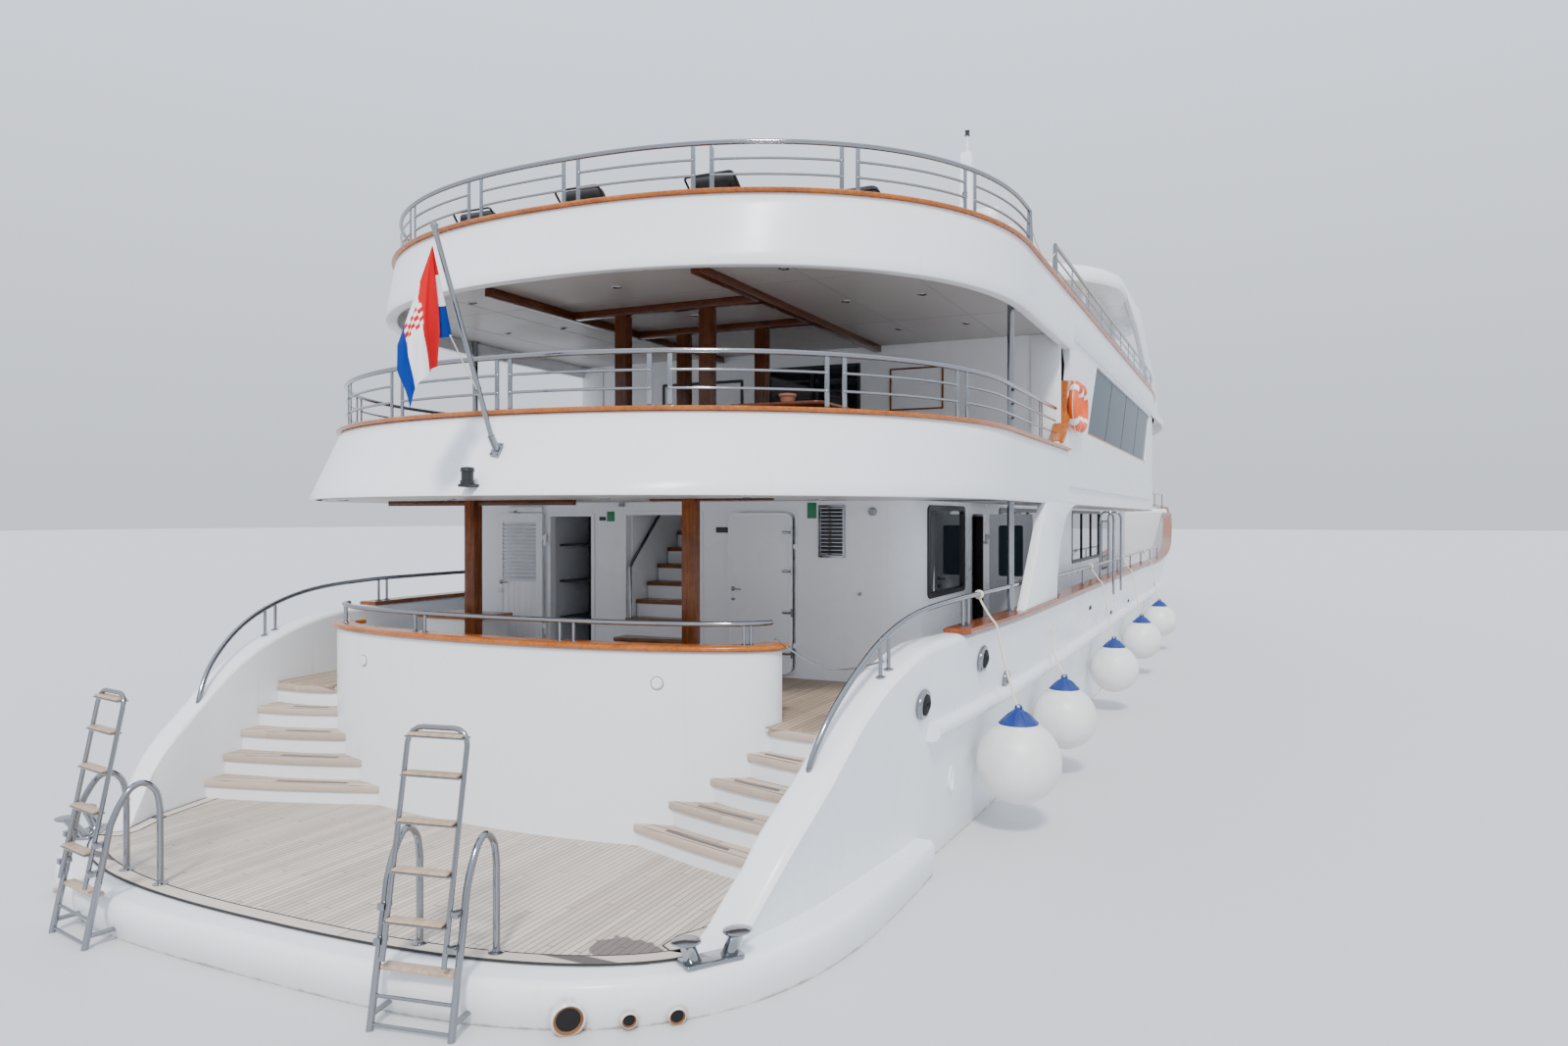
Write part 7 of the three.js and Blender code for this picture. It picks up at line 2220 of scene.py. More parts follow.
@dataclass
class Lounge(Assembly):
    """The open lounge under the sun deck: posts, beams, lights, bulkhead and seats."""

    post_x: tuple[float, ...] = (-17.5, -15.92)
    post_y: float = 0.63
    beam_y: float = 1.42
    glazed: tuple[tuple[float, ...], ...] = ((-1.12, 0.57, 4.21, 6.15), (1.0, 2.6, 5.0, 6.0))
    tables: tuple[Point, ...] = (
        (-18.45, 0.4, 0.96), (-18.45, -2.2, 0.58), (-18.2, 2.6, 0.5), (-15.6, 2.2, 0.6), (-15.6, -2.2, 0.6))

    def build(self) -> None:
        """Makes the lounge."""
        low, high = Level.UPPER_DECK + 0.015, Level.SUN_SLAB - SEAT
        posts = Piece("lounge_posts", FINISH.lounge_wood)
        beams = Piece("lounge_beams", FINISH.dark_wood)
        for x in self.post_x:
            for s in (-1, 1):
                y = s * self.post_y
                posts.box(x - 0.085, x + 0.085, y - 0.085, y + 0.085, low, high - 0.1, 0.012)
                posts.box(x - 0.1, x + 0.1, y - 0.1, y + 0.1, low, low + 0.09, 0.01)
            beams.box(x - 0.06, x + 0.06, -self.beam_y, self.beam_y, high - 0.1, high, 0.008)
        for s in (-1, 1):
            beams.box(-19.2, -13.302, s * self.beam_y - 0.06, s * self.beam_y + 0.06, high - 0.1, high,
                      0.008)
        posts.done("lounge_frame")
        beams.done("lounge_frame")
        self.lights(high)
        self.bulkhead()
        self.seats(low)

    def lights(self, high: float) -> None:
        """Recessed ceiling lights and panel joints.

        Args:
            high: the ceiling's height.
        """
        ceiling_lights("ceiling_lights", (-18.6, -16.7, -14.6), (-3.2, -2.2, 0.0, 2.2, 3.2), high)
        seams = Piece("ceiling_joints", FINISH.grey)
        for y in (-3.4, -2.3, 2.3, 3.4):
            end = SUN_LOW.at(y) + 0.25
            seams.box(end, -13.32, y - 0.004, y + 0.004, high - 0.0015, high + 0.001, 0)
        for x in (-18.0, -15.2):
            seams.box(x - 0.004, x + 0.004, -3.9, 3.9, high - 0.0015, high + 0.001, 0)
        seams.done()

    def bulkhead(self) -> None:
        """Dark glass doors, black frames and blank framed panels on the far wall."""
        wall = aft_wall(-13.3)
        frames = Piece("lounge_door_frames", FINISH.black)
        panes = Piece("lounge_door_panes", FINISH.glass)
        for y0, y1, z0, z1 in self.glazed:
            outer = rounded_rect(y0, y1, z0, z1, 0.03)
            frame_ring(frames, outer, inset_polygon(outer, 0.05), -0.06, 0.012, wall)
            panes.prism(inset_polygon(outer, 0.03), -0.05, -0.03, matrix=wall)
            middle = (y0 + y1) / 2
            frames.box(middle - 0.025, middle + 0.025, z0, z1, -0.04, 0.008, 0.003, wall)
        picture = Piece("lounge_picture_frame", FINISH.post_wood)
        outer = rounded_rect(-2.5, -1.62, 5.35, 6.02, 0.01)
        frame_ring(picture, outer, inset_polygon(outer, 0.025), 0.0, 0.018, wall)
        picture.done()
        frames.done()
        panes.done()
        corners = Piece("lounge_corner_panels", FINISH.white)
        for s in (-1, 1):
            corners.prism([(s * 3.85, 4.27), (s * 4.3, 4.27), (s * 4.3, 6.38), (s * 3.85, 6.38)], 0.002,
                          0.022, 0.004, wall)
        corners.done()

    def seats(self, low: float) -> None:
        """Low tables and padded benches that show over the cap.

        Args:
            low: the deck's height.
        """
        wood = Piece("lounge_tables", FINISH.dark_wood)
        benches: list[tuple[float, float, float]] = []
        for x, y, half in self.tables:
            wood.prism([(x + u, y + v) for u, v in rounded_rect(-0.45, 0.45, -half, half, 0.12)], low + 0.71,
                       low + 0.75, 0.012)
            for v in (-half * 0.55, half * 0.55):
                wood.tube([(x, y + v, low), (x, y + v, low + 0.72)], 0.04, 12)
                wood.lathe([(0, 0), (0.22, 0), (0.22, 0.015), (0.05, 0.04), (0, 0.04)], (x, y + v, low),
                           sides=24)
            benches.append((x + 0.85, y, half))
        for k, (x, y, half) in enumerate(benches):
            for v in (-half + 0.1, half - 0.1):
                wood.box(x - 0.24, x + 0.24, y + v - 0.03, y + v + 0.03, low, low + 0.36, 0.006)
            wood.box(x - 0.25, x + 0.25, y - half, y + half, low + 0.33, low + 0.37, 0.006)
            pad = Piece(f"lounge_pad_{k + 1}", FINISH.cushion)
            cushion(pad, 0.5, half * 2, 0.12, Matrix.Translation((x, y, low + 0.43)))
            pad.done(angle=60)
        wood.done()
        plant = Piece("plant_pot", FINISH.clay)
        plant.lathe([(0, 0), (0.06, 0), (0.09, 0.1), (0.1, 0.105), (0.1, 0.13), (0.085, 0.13), (0.08, 0.1),
                     (0, 0.1)], (-18.5, -2.2, low + 0.75), sides=24)
        plant.done()


@dataclass
class UpperHouse(Assembly):
    """The upper deckhouse with its big slanted side windows."""

    aft_window: tuple[Plan, ...] = ((-11.1, 5.05), (-1.43, 5.05), (-0.25, 6.33), (-10.0, 6.33))

    def build(self) -> None:
        """Dresses the house."""
        Piece("upper_walls", FINISH.white).copy_node("upper_house").done("upper_house", angle=28)
        frames = Piece("upper_window_joints", FINISH.black)
        sill = Piece("upper_window_sills", FINISH.cap_wood)
        # The panes' colour is a painted reflection of the sky.
        panes = Piece("upper_window_panes", FINISH.painted_sky_glass)
        for side in Side:
            wall = side_wall(side, 4.36)
            panes.prism(inset_polygon(self.aft_window, 0.004), -0.05, -0.038, matrix=wall)
            sill.box(-11.1, -1.45, 5.05, 5.075, -0.038, 0.006, 0.004, wall)
            for k in range(1, 4):
                a, b = -11.1 + 9.67 * k / 4, -10.0 + 9.75 * k / 4
                frames.prism([(a - 0.01, 5.06), (a + 0.01, 5.06), (b + 0.01, 6.32), (b - 0.01, 6.32)], -0.05,
                             -0.034, matrix=wall)
        sill.done()
        frames.done()
        panes.done()


# Top hamper


@dataclass
class Topside(Assembly):
    """Wheelhouse, hardtop, mast, domes and radar."""

    aft: float = -1.5
    half: float = 3.3
    mast_x: float = -2.3
    scanner: Point = (-1.35, 0.0, 11.75)
    windows: tuple[Plan, ...] = ((-1.0, 0.6), (1.0, 2.4))
    sunbeds: tuple[Plan, ...] = ((2.04, 50), (0.18, 42), (-1.49, 38), (-2.95, 17))
    fin: tuple[Plan, ...] = ((-3.0, 9.1), (0.2, 9.1), (1.8, 8.5), (3.6, 7.95), (5.1, 7.2), (6.0, 6.6006),
                             (4.2, 6.6006), (3.0, 7.25), (1.2, 8.0), (-0.8, 8.6), (-3.0, 8.95))

    def build(self) -> None:
        """Makes everything above the sun deck."""
        Piece("wheelhouse_walls", FINISH.white).copy_node("wheelhouse").done("wheelhouse", angle=28)
        frames = Piece("wheelhouse_window_frames", FINISH.black)
        for side in Side:
            for a, b in self.windows:
                outer = rounded_rect(a - 0.03, b + 0.03, 7.52, 8.53, 0.06)
                frame_ring(frames, outer, inset_polygon(outer, 0.06), -0.06, 0.012,
                           side_wall(side, self.half))
        frames.done()
        self.hardtop()
        self.mast()
        self.domes()
        self.furniture()

    def hardtop(self) -> None:
        """The crowned roof with its swept fins and aft posts."""
        roof = Piece("hardtop_roof", FINISH.white)
        low, top = Level.HARDTOP_LOW, Level.HARDTOP_TOP
        fore = SternForm(4.6, 0.0, HARDTOP.half, 2.2)
        crown = [(low, 0.08), (low + 0.02, 0.03), (low + 0.08, 0.0), (low + 0.16, 0.01), (low + 0.3, 0.035)]
        crown += [(low + 0.3 + 0.25 * math.sin(t), 0.035 + 1.25 * (1 - math.cos(t)))
                  for t in (0.25, 0.5, 0.75, 1.0, 1.25, 1.5)]
        roof.skin([[(x, y, min(z, top)) for x, y in [*HARDTOP.rounded(i), *reversed(fore.rounded(i))]]
                   for z, i in crown])
        for s in (-1, 1):
            roof.side_prism(rounded_polygon(self.fin, 0.3), s * 3.97, s * 4.1, 0.02)
            roof.tube([(-4.6, s * 3.3, Level.SUN_DECK + SEAT), (-4.6, s * 3.3, 9.0)], 0.06, 20)
        roof.done("hardtop", angle=35)

    def mast(self) -> None:
        """The boxed mast with its lights and radar."""
        z0, x = Level.HARDTOP_TOP + SEAT, self.mast_x
        mast = Piece("mast_column", FINISH.white)
        rings = [[(x + a * k, b * k, z) for a, b in rounded_rect(-0.3, 0.3, -0.2, 0.2, 0.05, 4)]
                 for z, k in ((z0, 1.08), (z0 + 0.04, 1.0), (z0 + 1.9, 0.84), (13.16, 0.68), (13.2, 0.64))]
        mast.skin(rings)
        mast.box(x, self.scanner[0] + 0.3, -0.25, 0.25, 11.61, 11.67, 0.015)
        mast.tube([(-1.35, 0, 11.65), (-1.35, 0, 11.75)], 0.07, 20)
        mast.tube([(x, 0, 13.1), (x, 0, 13.7)], 0.03, 14)
        mast.done("mast", angle=35)
        lamps = Piece("mast_lights", FINISH.black)
        for lx, ly, z in ((x, 0.0, 13.68), (x - 0.24, 0.0, 12.0), (x - 0.26, 0.0, 10.9)):
            lamps.lathe([(0, 0), (0.07, 0), (0.07, 0.02), (0.055, 0.03), (0.055, 0.11), (0.07, 0.12),
                         (0.07, 0.13), (0, 0.14)], (lx, ly, z), sides=18)
        for z in (10.89, 11.99):
            lamps.box(x - 0.32, x - 0.16, -0.03, 0.03, z - 0.02, z + 0.01, 0.005)
        lamps.done()
        radar = Piece("radar_bar", FINISH.white, body="radar_scanner")
        sx, sy, sz = self.scanner
        radar.lathe([(0, SEAT), (0.09, SEAT), (0.09, 0.1), (0.07, 0.13), (0, 0.13)], (sx, sy, sz), sides=24)
        radar.box(sx - 0.07, sx + 0.07, -0.62, 0.62, sz + 0.12, sz + 0.26, 0.04, segments=4)
        radar.done("radar_scanner")

    def domes(self) -> None:
        """The two white domes on their pedestals."""
        z0 = Level.HARDTOP_TOP + SEAT
        for name, x, r, stem in (("small", -5.3, 0.2, 0.95), ("large", -3.5, 0.3, 0.85)):
            dome = Piece(f"dome_{name}_shell", FINISH.white)
            profile = [(0, 0), (r * 0.62, 0), (r * 0.62, 0.015), (r * 0.47, 0.05), (r * 0.42, stem * 0.5),
                       (r * 0.45, stem - 0.02), (r * 0.8, stem + 0.02), (r * 0.97, stem + r * 0.22),
                       (r * 1.0, stem + r * 0.3), (r * 1.0, stem + r * 0.95)]
            profile += [(r * math.cos(t), stem + r * 0.95 + r * 1.02 * math.sin(t))
                        for t in (0.25, 0.5, 0.75, 1.0, 1.25)]
            profile.append((0, stem + r * 1.97))
            dome.lathe(profile, (x, -1.3, z0), sides=48)
            dome.done(f"dome_{name}", angle=50)
            seam = Piece(f"dome_{name}_seam", FINISH.grey)
            seam.torus((x, -1.3, z0 + stem + r * 0.3), (0, 0, 1), r * 1.0, 0.005, sides=8, around=48)
            seam.done()

    def furniture(self) -> None:
        """Sun beds on the sun deck, with frames and raised backs."""
        deck = Level.SUN_DECK + 0.016
        frames = Piece("sunbed_frames", FINISH.post_wood)
        backs = Piece("sunbed_back_frames", FINISH.black)
        for k, (y, tilt) in enumerate(self.sunbeds):
            x = SUN_TOP.at(y) + 0.75
            for dy in (-0.28, 0.28):
                frames.box(x, x + 1.9, y + dy - 0.03, y + dy + 0.03, deck + 0.26, deck + 0.32, 0.008)
                for dx in (0.15, 1.7):
                    frames.box(x + dx - 0.03, x + dx + 0.03, y + dy - 0.03, y + dy + 0.03, deck, deck + 0.27,
                               0.006)
            for s in range(10):
                frames.box(x + 0.08 + s * 0.18, x + 0.16 + s * 0.18, y - 0.27, y + 0.27, deck + 0.31,
                           deck + 0.325, 0.003)
            pad = Piece(f"sunbed_pad_{k + 1}", FINISH.canvas)
            lean = Matrix.Translation((x + 0.5, y, deck + 0.4)) @ Matrix.Rotation(math.radians(tilt), 4, "Y")
            rim = rounded_rect(-0.7, 0.02, -0.3, 0.3, 0.04)
            backs.tube([lean @ Vector((u, v, -0.06)) for u, v in [*rim, rim[0]]], 0.014, 8)
            for dy in (0.2, -0.2):
                backs.tube([lean @ Vector((-0.55, dy, -0.06)), (x + 0.75, y + dy, deck + 0.3)], 0.01, 8)
            cushion(pad, 0.62, 0.56, 0.1, lean @ Matrix.Translation((-0.33, 0, 0)))
            cushion(pad, 1.3, 0.56, 0.1, Matrix.Translation((x + 1.22, y, deck + 0.38)))
            pad.done(angle=60)
        frames.done()
        backs.done()


def cushion(piece: Piece, length: float, width: float, thick: float, matrix: Matrix) -> None:
    """A crowned pad with soft corners and a seam round its edge.

    Args:
        piece: the piece that it joins.
        length: its length.
        width: its width.
        thick: its thickness.
        matrix: moves the whole shape, if given.
    """
    rings = []
    for z, d in ((-0.5, 0.05), (-0.42, 0.015), (-0.2, 0.002), (0.0, 0.0), (0.2, 0.002), (0.42, 0.015),
                 (0.5, 0.05)):
        outline = rounded_rect(-length / 2 + d, length / 2 - d, -width / 2 + d, width / 2 - d, 0.07)
        rings.append([(u, v, z * thick) for u, v in outline])
    for share in (0.7, 0.4, 0.12):
        height = thick * (0.5 + 0.28 * (1 - share * share))
        rings.append([(u * share * 0.95, v * share * 0.9, height) for u, v, _ in rings[6]])
    piece.skin(rings, matrix=matrix)
    edge = [(u, v, 0) for u, v in rounded_rect(-length / 2 - 0.002, length / 2 + 0.002, -width / 2 - 0.002,
            width / 2 + 0.002, 0.07)]
    piece.tube([*edge, edge[0]], 0.006, 6, matrix)


# Stern gear


@dataclass
class SwimLadder(Assembly):
    """A fixed hoop frame over the platform's rim and the ladder that slides in it."""

    side: Side
    feet: Plan = (-23.21, 1.745)
    turn: float = 10.0
    frame_half: float = 0.31
    slide_half: float = 0.235
    treads: tuple[float, ...] = (0.93, 1.25, 1.57, 1.88, 2.14)

    def place(self) -> Matrix:
        """Turns (outward, along the rim, up) into the ladder's place.

        Returns:
            The matrix.
        """
        t, s = math.radians(self.turn), self.side.value
        out = Vector((-math.cos(t), s * math.sin(t), 0))
        along = Vector((0, 0, 1)).cross(out)
        turn = Matrix((out, along, (0, 0, 1))).transposed().to_4x4()
        return Matrix.Translation((self.feet[0], s * self.feet[1], 0)) @ turn

    def reach(self, z: float) -> float:
        """How far the outer legs stand out at a height."""
        return 0.5 + (Level.PLATFORM - z) * 0.2

    def build(self) -> None:
        """Makes the frame and the sliding ladder."""
        label, place = self.side.label, self.place()
        metal = Piece(f"ladder_hoops_{label}", FINISH.steel)
        z0 = Level.PLATFORM + 0.0212
        loop = curve_through([(0, z0 + 0.6, 0), (0, 1.2, 0), (0.03, 1.35, 0), (0.12, 1.44, 0),
                              (0.22, 1.42, 0), (0.31, 1.3, 0), (self.reach(1.15), 1.15, 0)], 4)
        line = [(0, z0), *[(p.x, p.y) for p in loop], (self.reach(0.7), 0.7), (self.reach(0.1), 0.1)]
        for s in (-1, 1):
            v = s * self.frame_half
            metal.tube([(u, v, z) for u, z in line], 0.026, 16, place)
            metal.lathe([(0, 0), (0.06, 0), (0.06, 0.008), (0.03, 0.016), (0.026, 0.03)],
                        place @ Vector((0, v, z0)), sides=24)
            for z in (0.98, 0.76):
                u = self.reach(z)
                a, b = sorted((s * 0.2546, s * self.frame_half))
                metal.box(u - 0.02, u + 0.08, a, b, z, z + 0.045, 0.006, place)
            u = self.reach(0.3)
            metal.tube([(u, v, 0.3), (u - 0.2, v, 0.3)], 0.02, 12, place)
        for z in (0.42, 0.24):
            metal.tube([(self.reach(z), v, z) for v in (-self.frame_half, self.frame_half)], 0.013, 12,
                       place)
        metal.done(f"ladder_frame_{label}")
        step = Piece(f"ladder_lower_tread_{label}", FINISH.tread_wood)
        u = self.reach(0.6) - 0.035
        step.box(u - 0.045, u + 0.045, -0.284, 0.284, 0.58, 0.615, 0.01, place)
        step.done()
        self.slide(place)

    def slide(self, place: Matrix) -> None:
        """The inner ladder with its arched top and steps.

        Args:
            place: the ladder's place.
        """
        label, half, body = self.side.label, self.slide_half, f"swim_ladder_{self.side.label}"
        inner = Piece(f"ladder_slide_{label}", FINISH.steel, body)
        path = [(-half, 0.66), (-half, 2.08)]
        path += [(-half + 0.11 - 0.11 * math.cos(t), 2.08 + 0.11 * math.sin(t))
                 for t in (0.4, 0.8, 1.2, 1.57)]
        path += [(-v, z) for v, z in reversed(path)]
        inner.tube([(self.reach(z) + 0.06, v, z) for v, z in path], 0.019, 16, place)
        steps = Piece(f"ladder_treads_{label}", FINISH.tread_wood, body)
        for z in self.treads:
            u = self.reach(z) + 0.07
            inner.box(u - 0.045, u + 0.045, -half, half, z - 0.016, z - 0.004, 0.004, place)
            steps.box(u - 0.042, u + 0.042, -half + 0.022, half - 0.022, z - 0.004, z + 0.016, 0.006, place)
        inner.done(body)
        steps.done()


@dataclass
class Bollard(Assembly):
    """A double bollard with leaning stems and slanted caps."""

    side: Side
    spot: Point = (-22.593, 3.478, Level.PLATFORM + SEAT)

    def build(self) -> None:
        """Makes the bollard."""
        s = self.side.value
        place = Matrix.Translation((self.spot[0], s * self.spot[1],
                                    self.spot[2])) @ Matrix.Rotation(math.radians(s * 36), 4, "Z")
        piece = Piece(f"bollard_body_{self.side.label}", FINISH.steel)
        piece.prism(rounded_rect(-0.23, 0.23, -0.093, 0.093, 0.03), 0.0, 0.03, 0.01, place)
        for d, along in ((-1, -0.5), (1, 0.05)):
            rings = []
            for r, z in ((0.066, 0), (0.054, 0.02), (0.05, 0.1), (0.05, 0.165), (0.06, 0.18), (0.088, 0.19),
                         (0.094, 0.2), (0.09, 0.213), (0.06, 0.223), (0.0005, 0.226)):
                rings.append([(r * math.cos(t) * 1.15 + along * z, r * math.sin(t) + s * 0.55 * z, z)
                              for t in (2 * math.pi * k / 28 for k in range(28))])
            piece.skin(rings, matrix=place @ Matrix.Translation((d * 0.14, 0, 0.02)))
        piece.done(f"bollard_{self.side.label}", angle=45)


@dataclass
class Ensign(Assembly):
    """The flagstaff, its hanging flag and the stern light."""

    foot: Point = (-21.27, -0.42, 4.34)
    top: Point = (-22.03, -0.42, 6.18)
    fly: float = 1.25
    hoist: float = 0.8
    cleat: float = 4.83

    def at(self, z: float) -> float:
        """x of the staff at a height."""
        share = (z - self.foot[2]) / (self.top[2] - self.foot[2])
        return self.foot[0] + (self.top[0] - self.foot[0]) * share

    def build(self) -> None:
        """Makes the staff, the flag and the light."""
        staff = Piece("flag_pole", FINISH.steel)
        y = self.foot[1]
        staff.tube([self.foot, self.top], 0.024, 18)
        staff.lathe([(0, -0.03), (0.03, -0.03), (0.036, -0.01), (0.036, 0.01), (0.02, 0.03), (0, 0.032)],
                    (self.top[0], y, self.top[2] + 0.02), (-0.38, 0, 0.92), 20)
        x = self.at(self.cleat)
        staff.box(x - 0.03, x + 0.03, y - 0.008, y + 0.008, self.cleat - 0.03, self.cleat + 0.03, 0.005)
        for dz in (-0.024, 0.024):
            staff.lathe([(0, -0.012), (0.016, -0.01), (0.016, 0.01), (0, 0.012)],
                        (x - 0.03, y, self.cleat + dz), sides=12)
        staff.done("flagstaff")
        socket = Piece("flag_pole_socket", FINISH.steel)
        rake = Matrix(((0, 0.595, -0.804, -21.235), (1, 0, 0, y), (0, 0.804, 0.595, 4.275), (0, 0, 0, 1)))
        socket.prism([(-0.06, -0.07), (0.05, -0.05), (0.06, 0.11), (-0.05, 0.09)], 0.0, 0.014, 0.003, rake)
        for u, v in ((-0.042, -0.05), (0.034, -0.034), (0.042, 0.09), (-0.034, 0.074)):
            socket.lathe([(0, 0.012), (0.011, 0.014), (0.011, 0.022), (0, 0.026)], rake @ Vector((u, v, 0)),
                         (-0.804, 0, 0.595), 10)
        socket.tube([(self.at(4.3) + 0.03, y, 4.29), (self.at(4.42) - 0.005, y, 4.42)], [0.036, 0.032], 18)
        socket.done()
        light = Piece("stern_light_body", FINISH.black)
        x, ly, z = UPPER_LOW.apex, -0.36, 3.96
        light.box(x - 0.07, x + 0.09, ly - 0.06, ly + 0.06, z - 0.03, z, 0.008)
        light.lathe([(0, 0), (0.066, 0), (0.066, 0.03), (0.056, 0.035), (0.056, 0.11), (0.066, 0.115),
                     (0.06, 0.15), (0, 0.16)], (x - 0.005, ly, z), sides=24)
        light.done("stern_light")
        self.flag()

    def cloth(self, u: float, v: float) -> Vector:
        """A place on the hanging flag; u runs along its fly and v down its hoist.

        Args:
            u: share of the way along the fly.
            v: share of the way down the hoist.

        Returns:
            The place.
        """
        a, b = u * self.fly, v * self.hoist
        reach = math.hypot(a, b)
        turn = math.atan2(b, a) / (math.pi / 2) if reach else 0.5
        near = min(reach / 0.9, 1.0)
        if turn < 0.62:
            share = turn / 0.62
            ease = share * share * (3 - 2 * share)
            right = (0.06 - 0.33 * ease) * near
            ahead = -0.19 * math.sin(math.pi * share) * near - 0.06 * near * (1 - share)
        else:
            share = (turn - 0.62) / 0.38
            ease = share * share * (3 - 2 * share)
            right = -0.27 * near * (1 - ease) + 0.19 * reach * ease
            ahead = 0.1 * math.sin(math.pi * share) * near
        ripple = (0.035 * math.sin(turn * 19.0 + reach * 1.4) + 0.012 * math.sin(turn * 47.0 + 1.0)) * near
        right += 0.021 * math.sin(turn * 26.0 + reach * 3.0) * near
        drop = reach * (0.86 + 0.14 * min(2.5 * turn, 1.0))
        place = Vector((self.at(6.04) - 0.03, self.foot[1] + 0.05, 6.05 - drop))
        return place + Vector((0.418, -0.908, 0)) * right + Vector((0.908, 0.418, 0)) * (ahead + ripple)

    def flag(self) -> None:
        """The flag, hanging by its upper corner in deep folds."""
        count, rows = 72, 48
        part = bmesh.new()
        grid = [[part.verts.new(self.cloth(i / count, j / rows)) for i in range(count + 1)]
                for j in range(rows + 1)]
        uv = part.loops.layers.uv.new("UVMap")
        for j in range(rows):
            for i in range(count):
                face = part.faces.new((grid[j][i], grid[j][i + 1], grid[j + 1][i + 1], grid[j + 1][i]))
                for loop, (a, b) in zip(face.loops, ((i, j), (i + 1, j), (i + 1, j + 1), (i, j + 1))):
                    loop[uv].uv = (a / count, 1 - b / rows)
        cloth = Piece("ensign", FINISH.flag)
        cloth.mesh.free()
        cloth.mesh = part
        made = cloth.done("flag", angle=180)


@dataclass
class Fenders(Assembly):
    """Round fenders along the starboard side."""

    def build(self) -> None:
        """Makes the balls, their blue ends with an eye, and their seams."""
        balls = Piece("fender_balls", FINISH.fender)
        tops = Piece("fender_tops", FINISH.fender_blue)
        for x, z, r in FENDERS:
            y = -(FORM.side(x, z + r * 0.5) + r + 0.01)
            profile = [(0, -r)]
            profile += [(r * math.cos(t), r * math.sin(t))
                        for t in (math.radians(-80 + 10 * k) for k in range(15))]
            profile += [(r * 0.5, r * 0.88), (r * 0.22, r * 0.98), (0, r * 0.99)]
            balls.lathe(profile, (x, y, z), sides=48)
            balls.torus((x, y, z), (0, 1, 0), r * 0.999, 0.004, sides=8, around=64)
            tops.lathe([(0, r * 0.7), (r * 0.46, r * 0.86), (r * 0.475, r * 0.885), (r * 0.4, r * 0.98),
                        (r * 0.26, r * 1.1), (r * 0.15, r * 1.18), (r * 0.11, r * 1.23),
                        (r * 0.08, r * 1.25), (0, r * 1.255)], (x, y, z), sides=40)
            for k in range(10):
                t = 2 * math.pi * k / 10
                rib = [(x + r * d * math.cos(t), y + r * d * math.sin(t), z + r * h)
                       for d, h in ((0.46, 0.9), (0.27, 1.09), (0.15, 1.175))]
                tops.tube(rib, 0.009, 8)
            tops.torus((x, y, z + r * 1.26), (1, 0, 0), 0.03, 0.014, sides=10, around=24)
        balls.done("fender_second", angle=60)
        tops.done()


@dataclass
class Underwater(Assembly):
    """Shafts, propellers and rudders."""

    side: Side

    def build(self) -> None:
        """Makes one side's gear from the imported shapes, smoothed."""
        label = self.side.label
        Piece(f"shaft_line_{label}", FINISH.bronze).copy_node(f"shaft_{label}").done(f"shaft_{label}")
        blades = Piece(f"propeller_blades_{label}", FINISH.bronze, f"propeller_{label}")
        blades.copy_node(f"propeller_{label}").done(f"propeller_{label}", angle=40)
        blade = Piece(f"rudder_blade_{label}", FINISH.antifoul, f"rudder_{label}")
        blade.copy_node(f"rudder_{label}").done(f"rudder_{label}", angle=30)


@dataclass
class Foredeck(Assembly):
    """Bow rail and windlass."""

    rows: tuple[float, ...] = (13.5, 15.5, 17.5, 19.5)

    def point(self, x: float, side: Side, z: float | None = None) -> Point:
        """A point of the bow rail.

        Args:
            x: the station.
            side: the side it stands on.
            z: its height, if it isn't on the cap.

        Returns:
            The point.
        """
        top = FORM.column("top", x)
        return (FORM.shift(x, top), side.value * (FORM.column("rail", x) - 0.09),
                top + 0.5 if z is None else z)

    def build(self) -> None:
        """Makes the bow gear."""
        rail = Piece("bow_handrail", FINISH.steel)
        start = [self.point(x, Side.STARBOARD) for x in self.rows]
        nose = (FORM.shift(20.6, 4.4) + 0.3, 0, 5.0)
        rail.tube(curve_through([*start, nose, *[self.point(x, Side.PORT) for x in reversed(self.rows)]], 6),
                  0.026, 14)
        for x in self.rows:
            for side in Side:
                p = self.point(x, side)
                rail.tube([(p[0], p[1], FORM.cap_top(x) + SEAT), p], 0.02, 12)
                rail.lathe([(0.04, 0), (0.04, 0.008), (0.022, 0.014)], (p[0], p[1], FORM.cap_top(x) + SEAT),
                           sides=16)
        rail.done("bow_rail", angle=50)
        gear = Piece("windlass_gear", FINISH.grey)
        z0 = Level.FORE_DECK + SEAT
        gear.box(16.9, 17.9, -0.55, 0.55, z0, z0 + 0.06, 0.02)
        for y in (-0.3, 0.3):
            gear.box(17.15, 17.65, y - 0.06, y + 0.06, z0, z0 + 0.45, 0.05, segments=3)
        profile = [(0, -0.5), (0.2, -0.5), (0.2, -0.46), (0.13, -0.42), (0.13, -0.36), (0.2, -0.32),
                   (0.2, 0.32), (0.13, 0.36), (0.13, 0.42), (0.2, 0.46), (0.2, 0.5), (0, 0.5)]
        gear.lathe(profile, (17.4, 0, z0 + 0.4), (0, 1, 0), 32)
        gear.done("windlass")


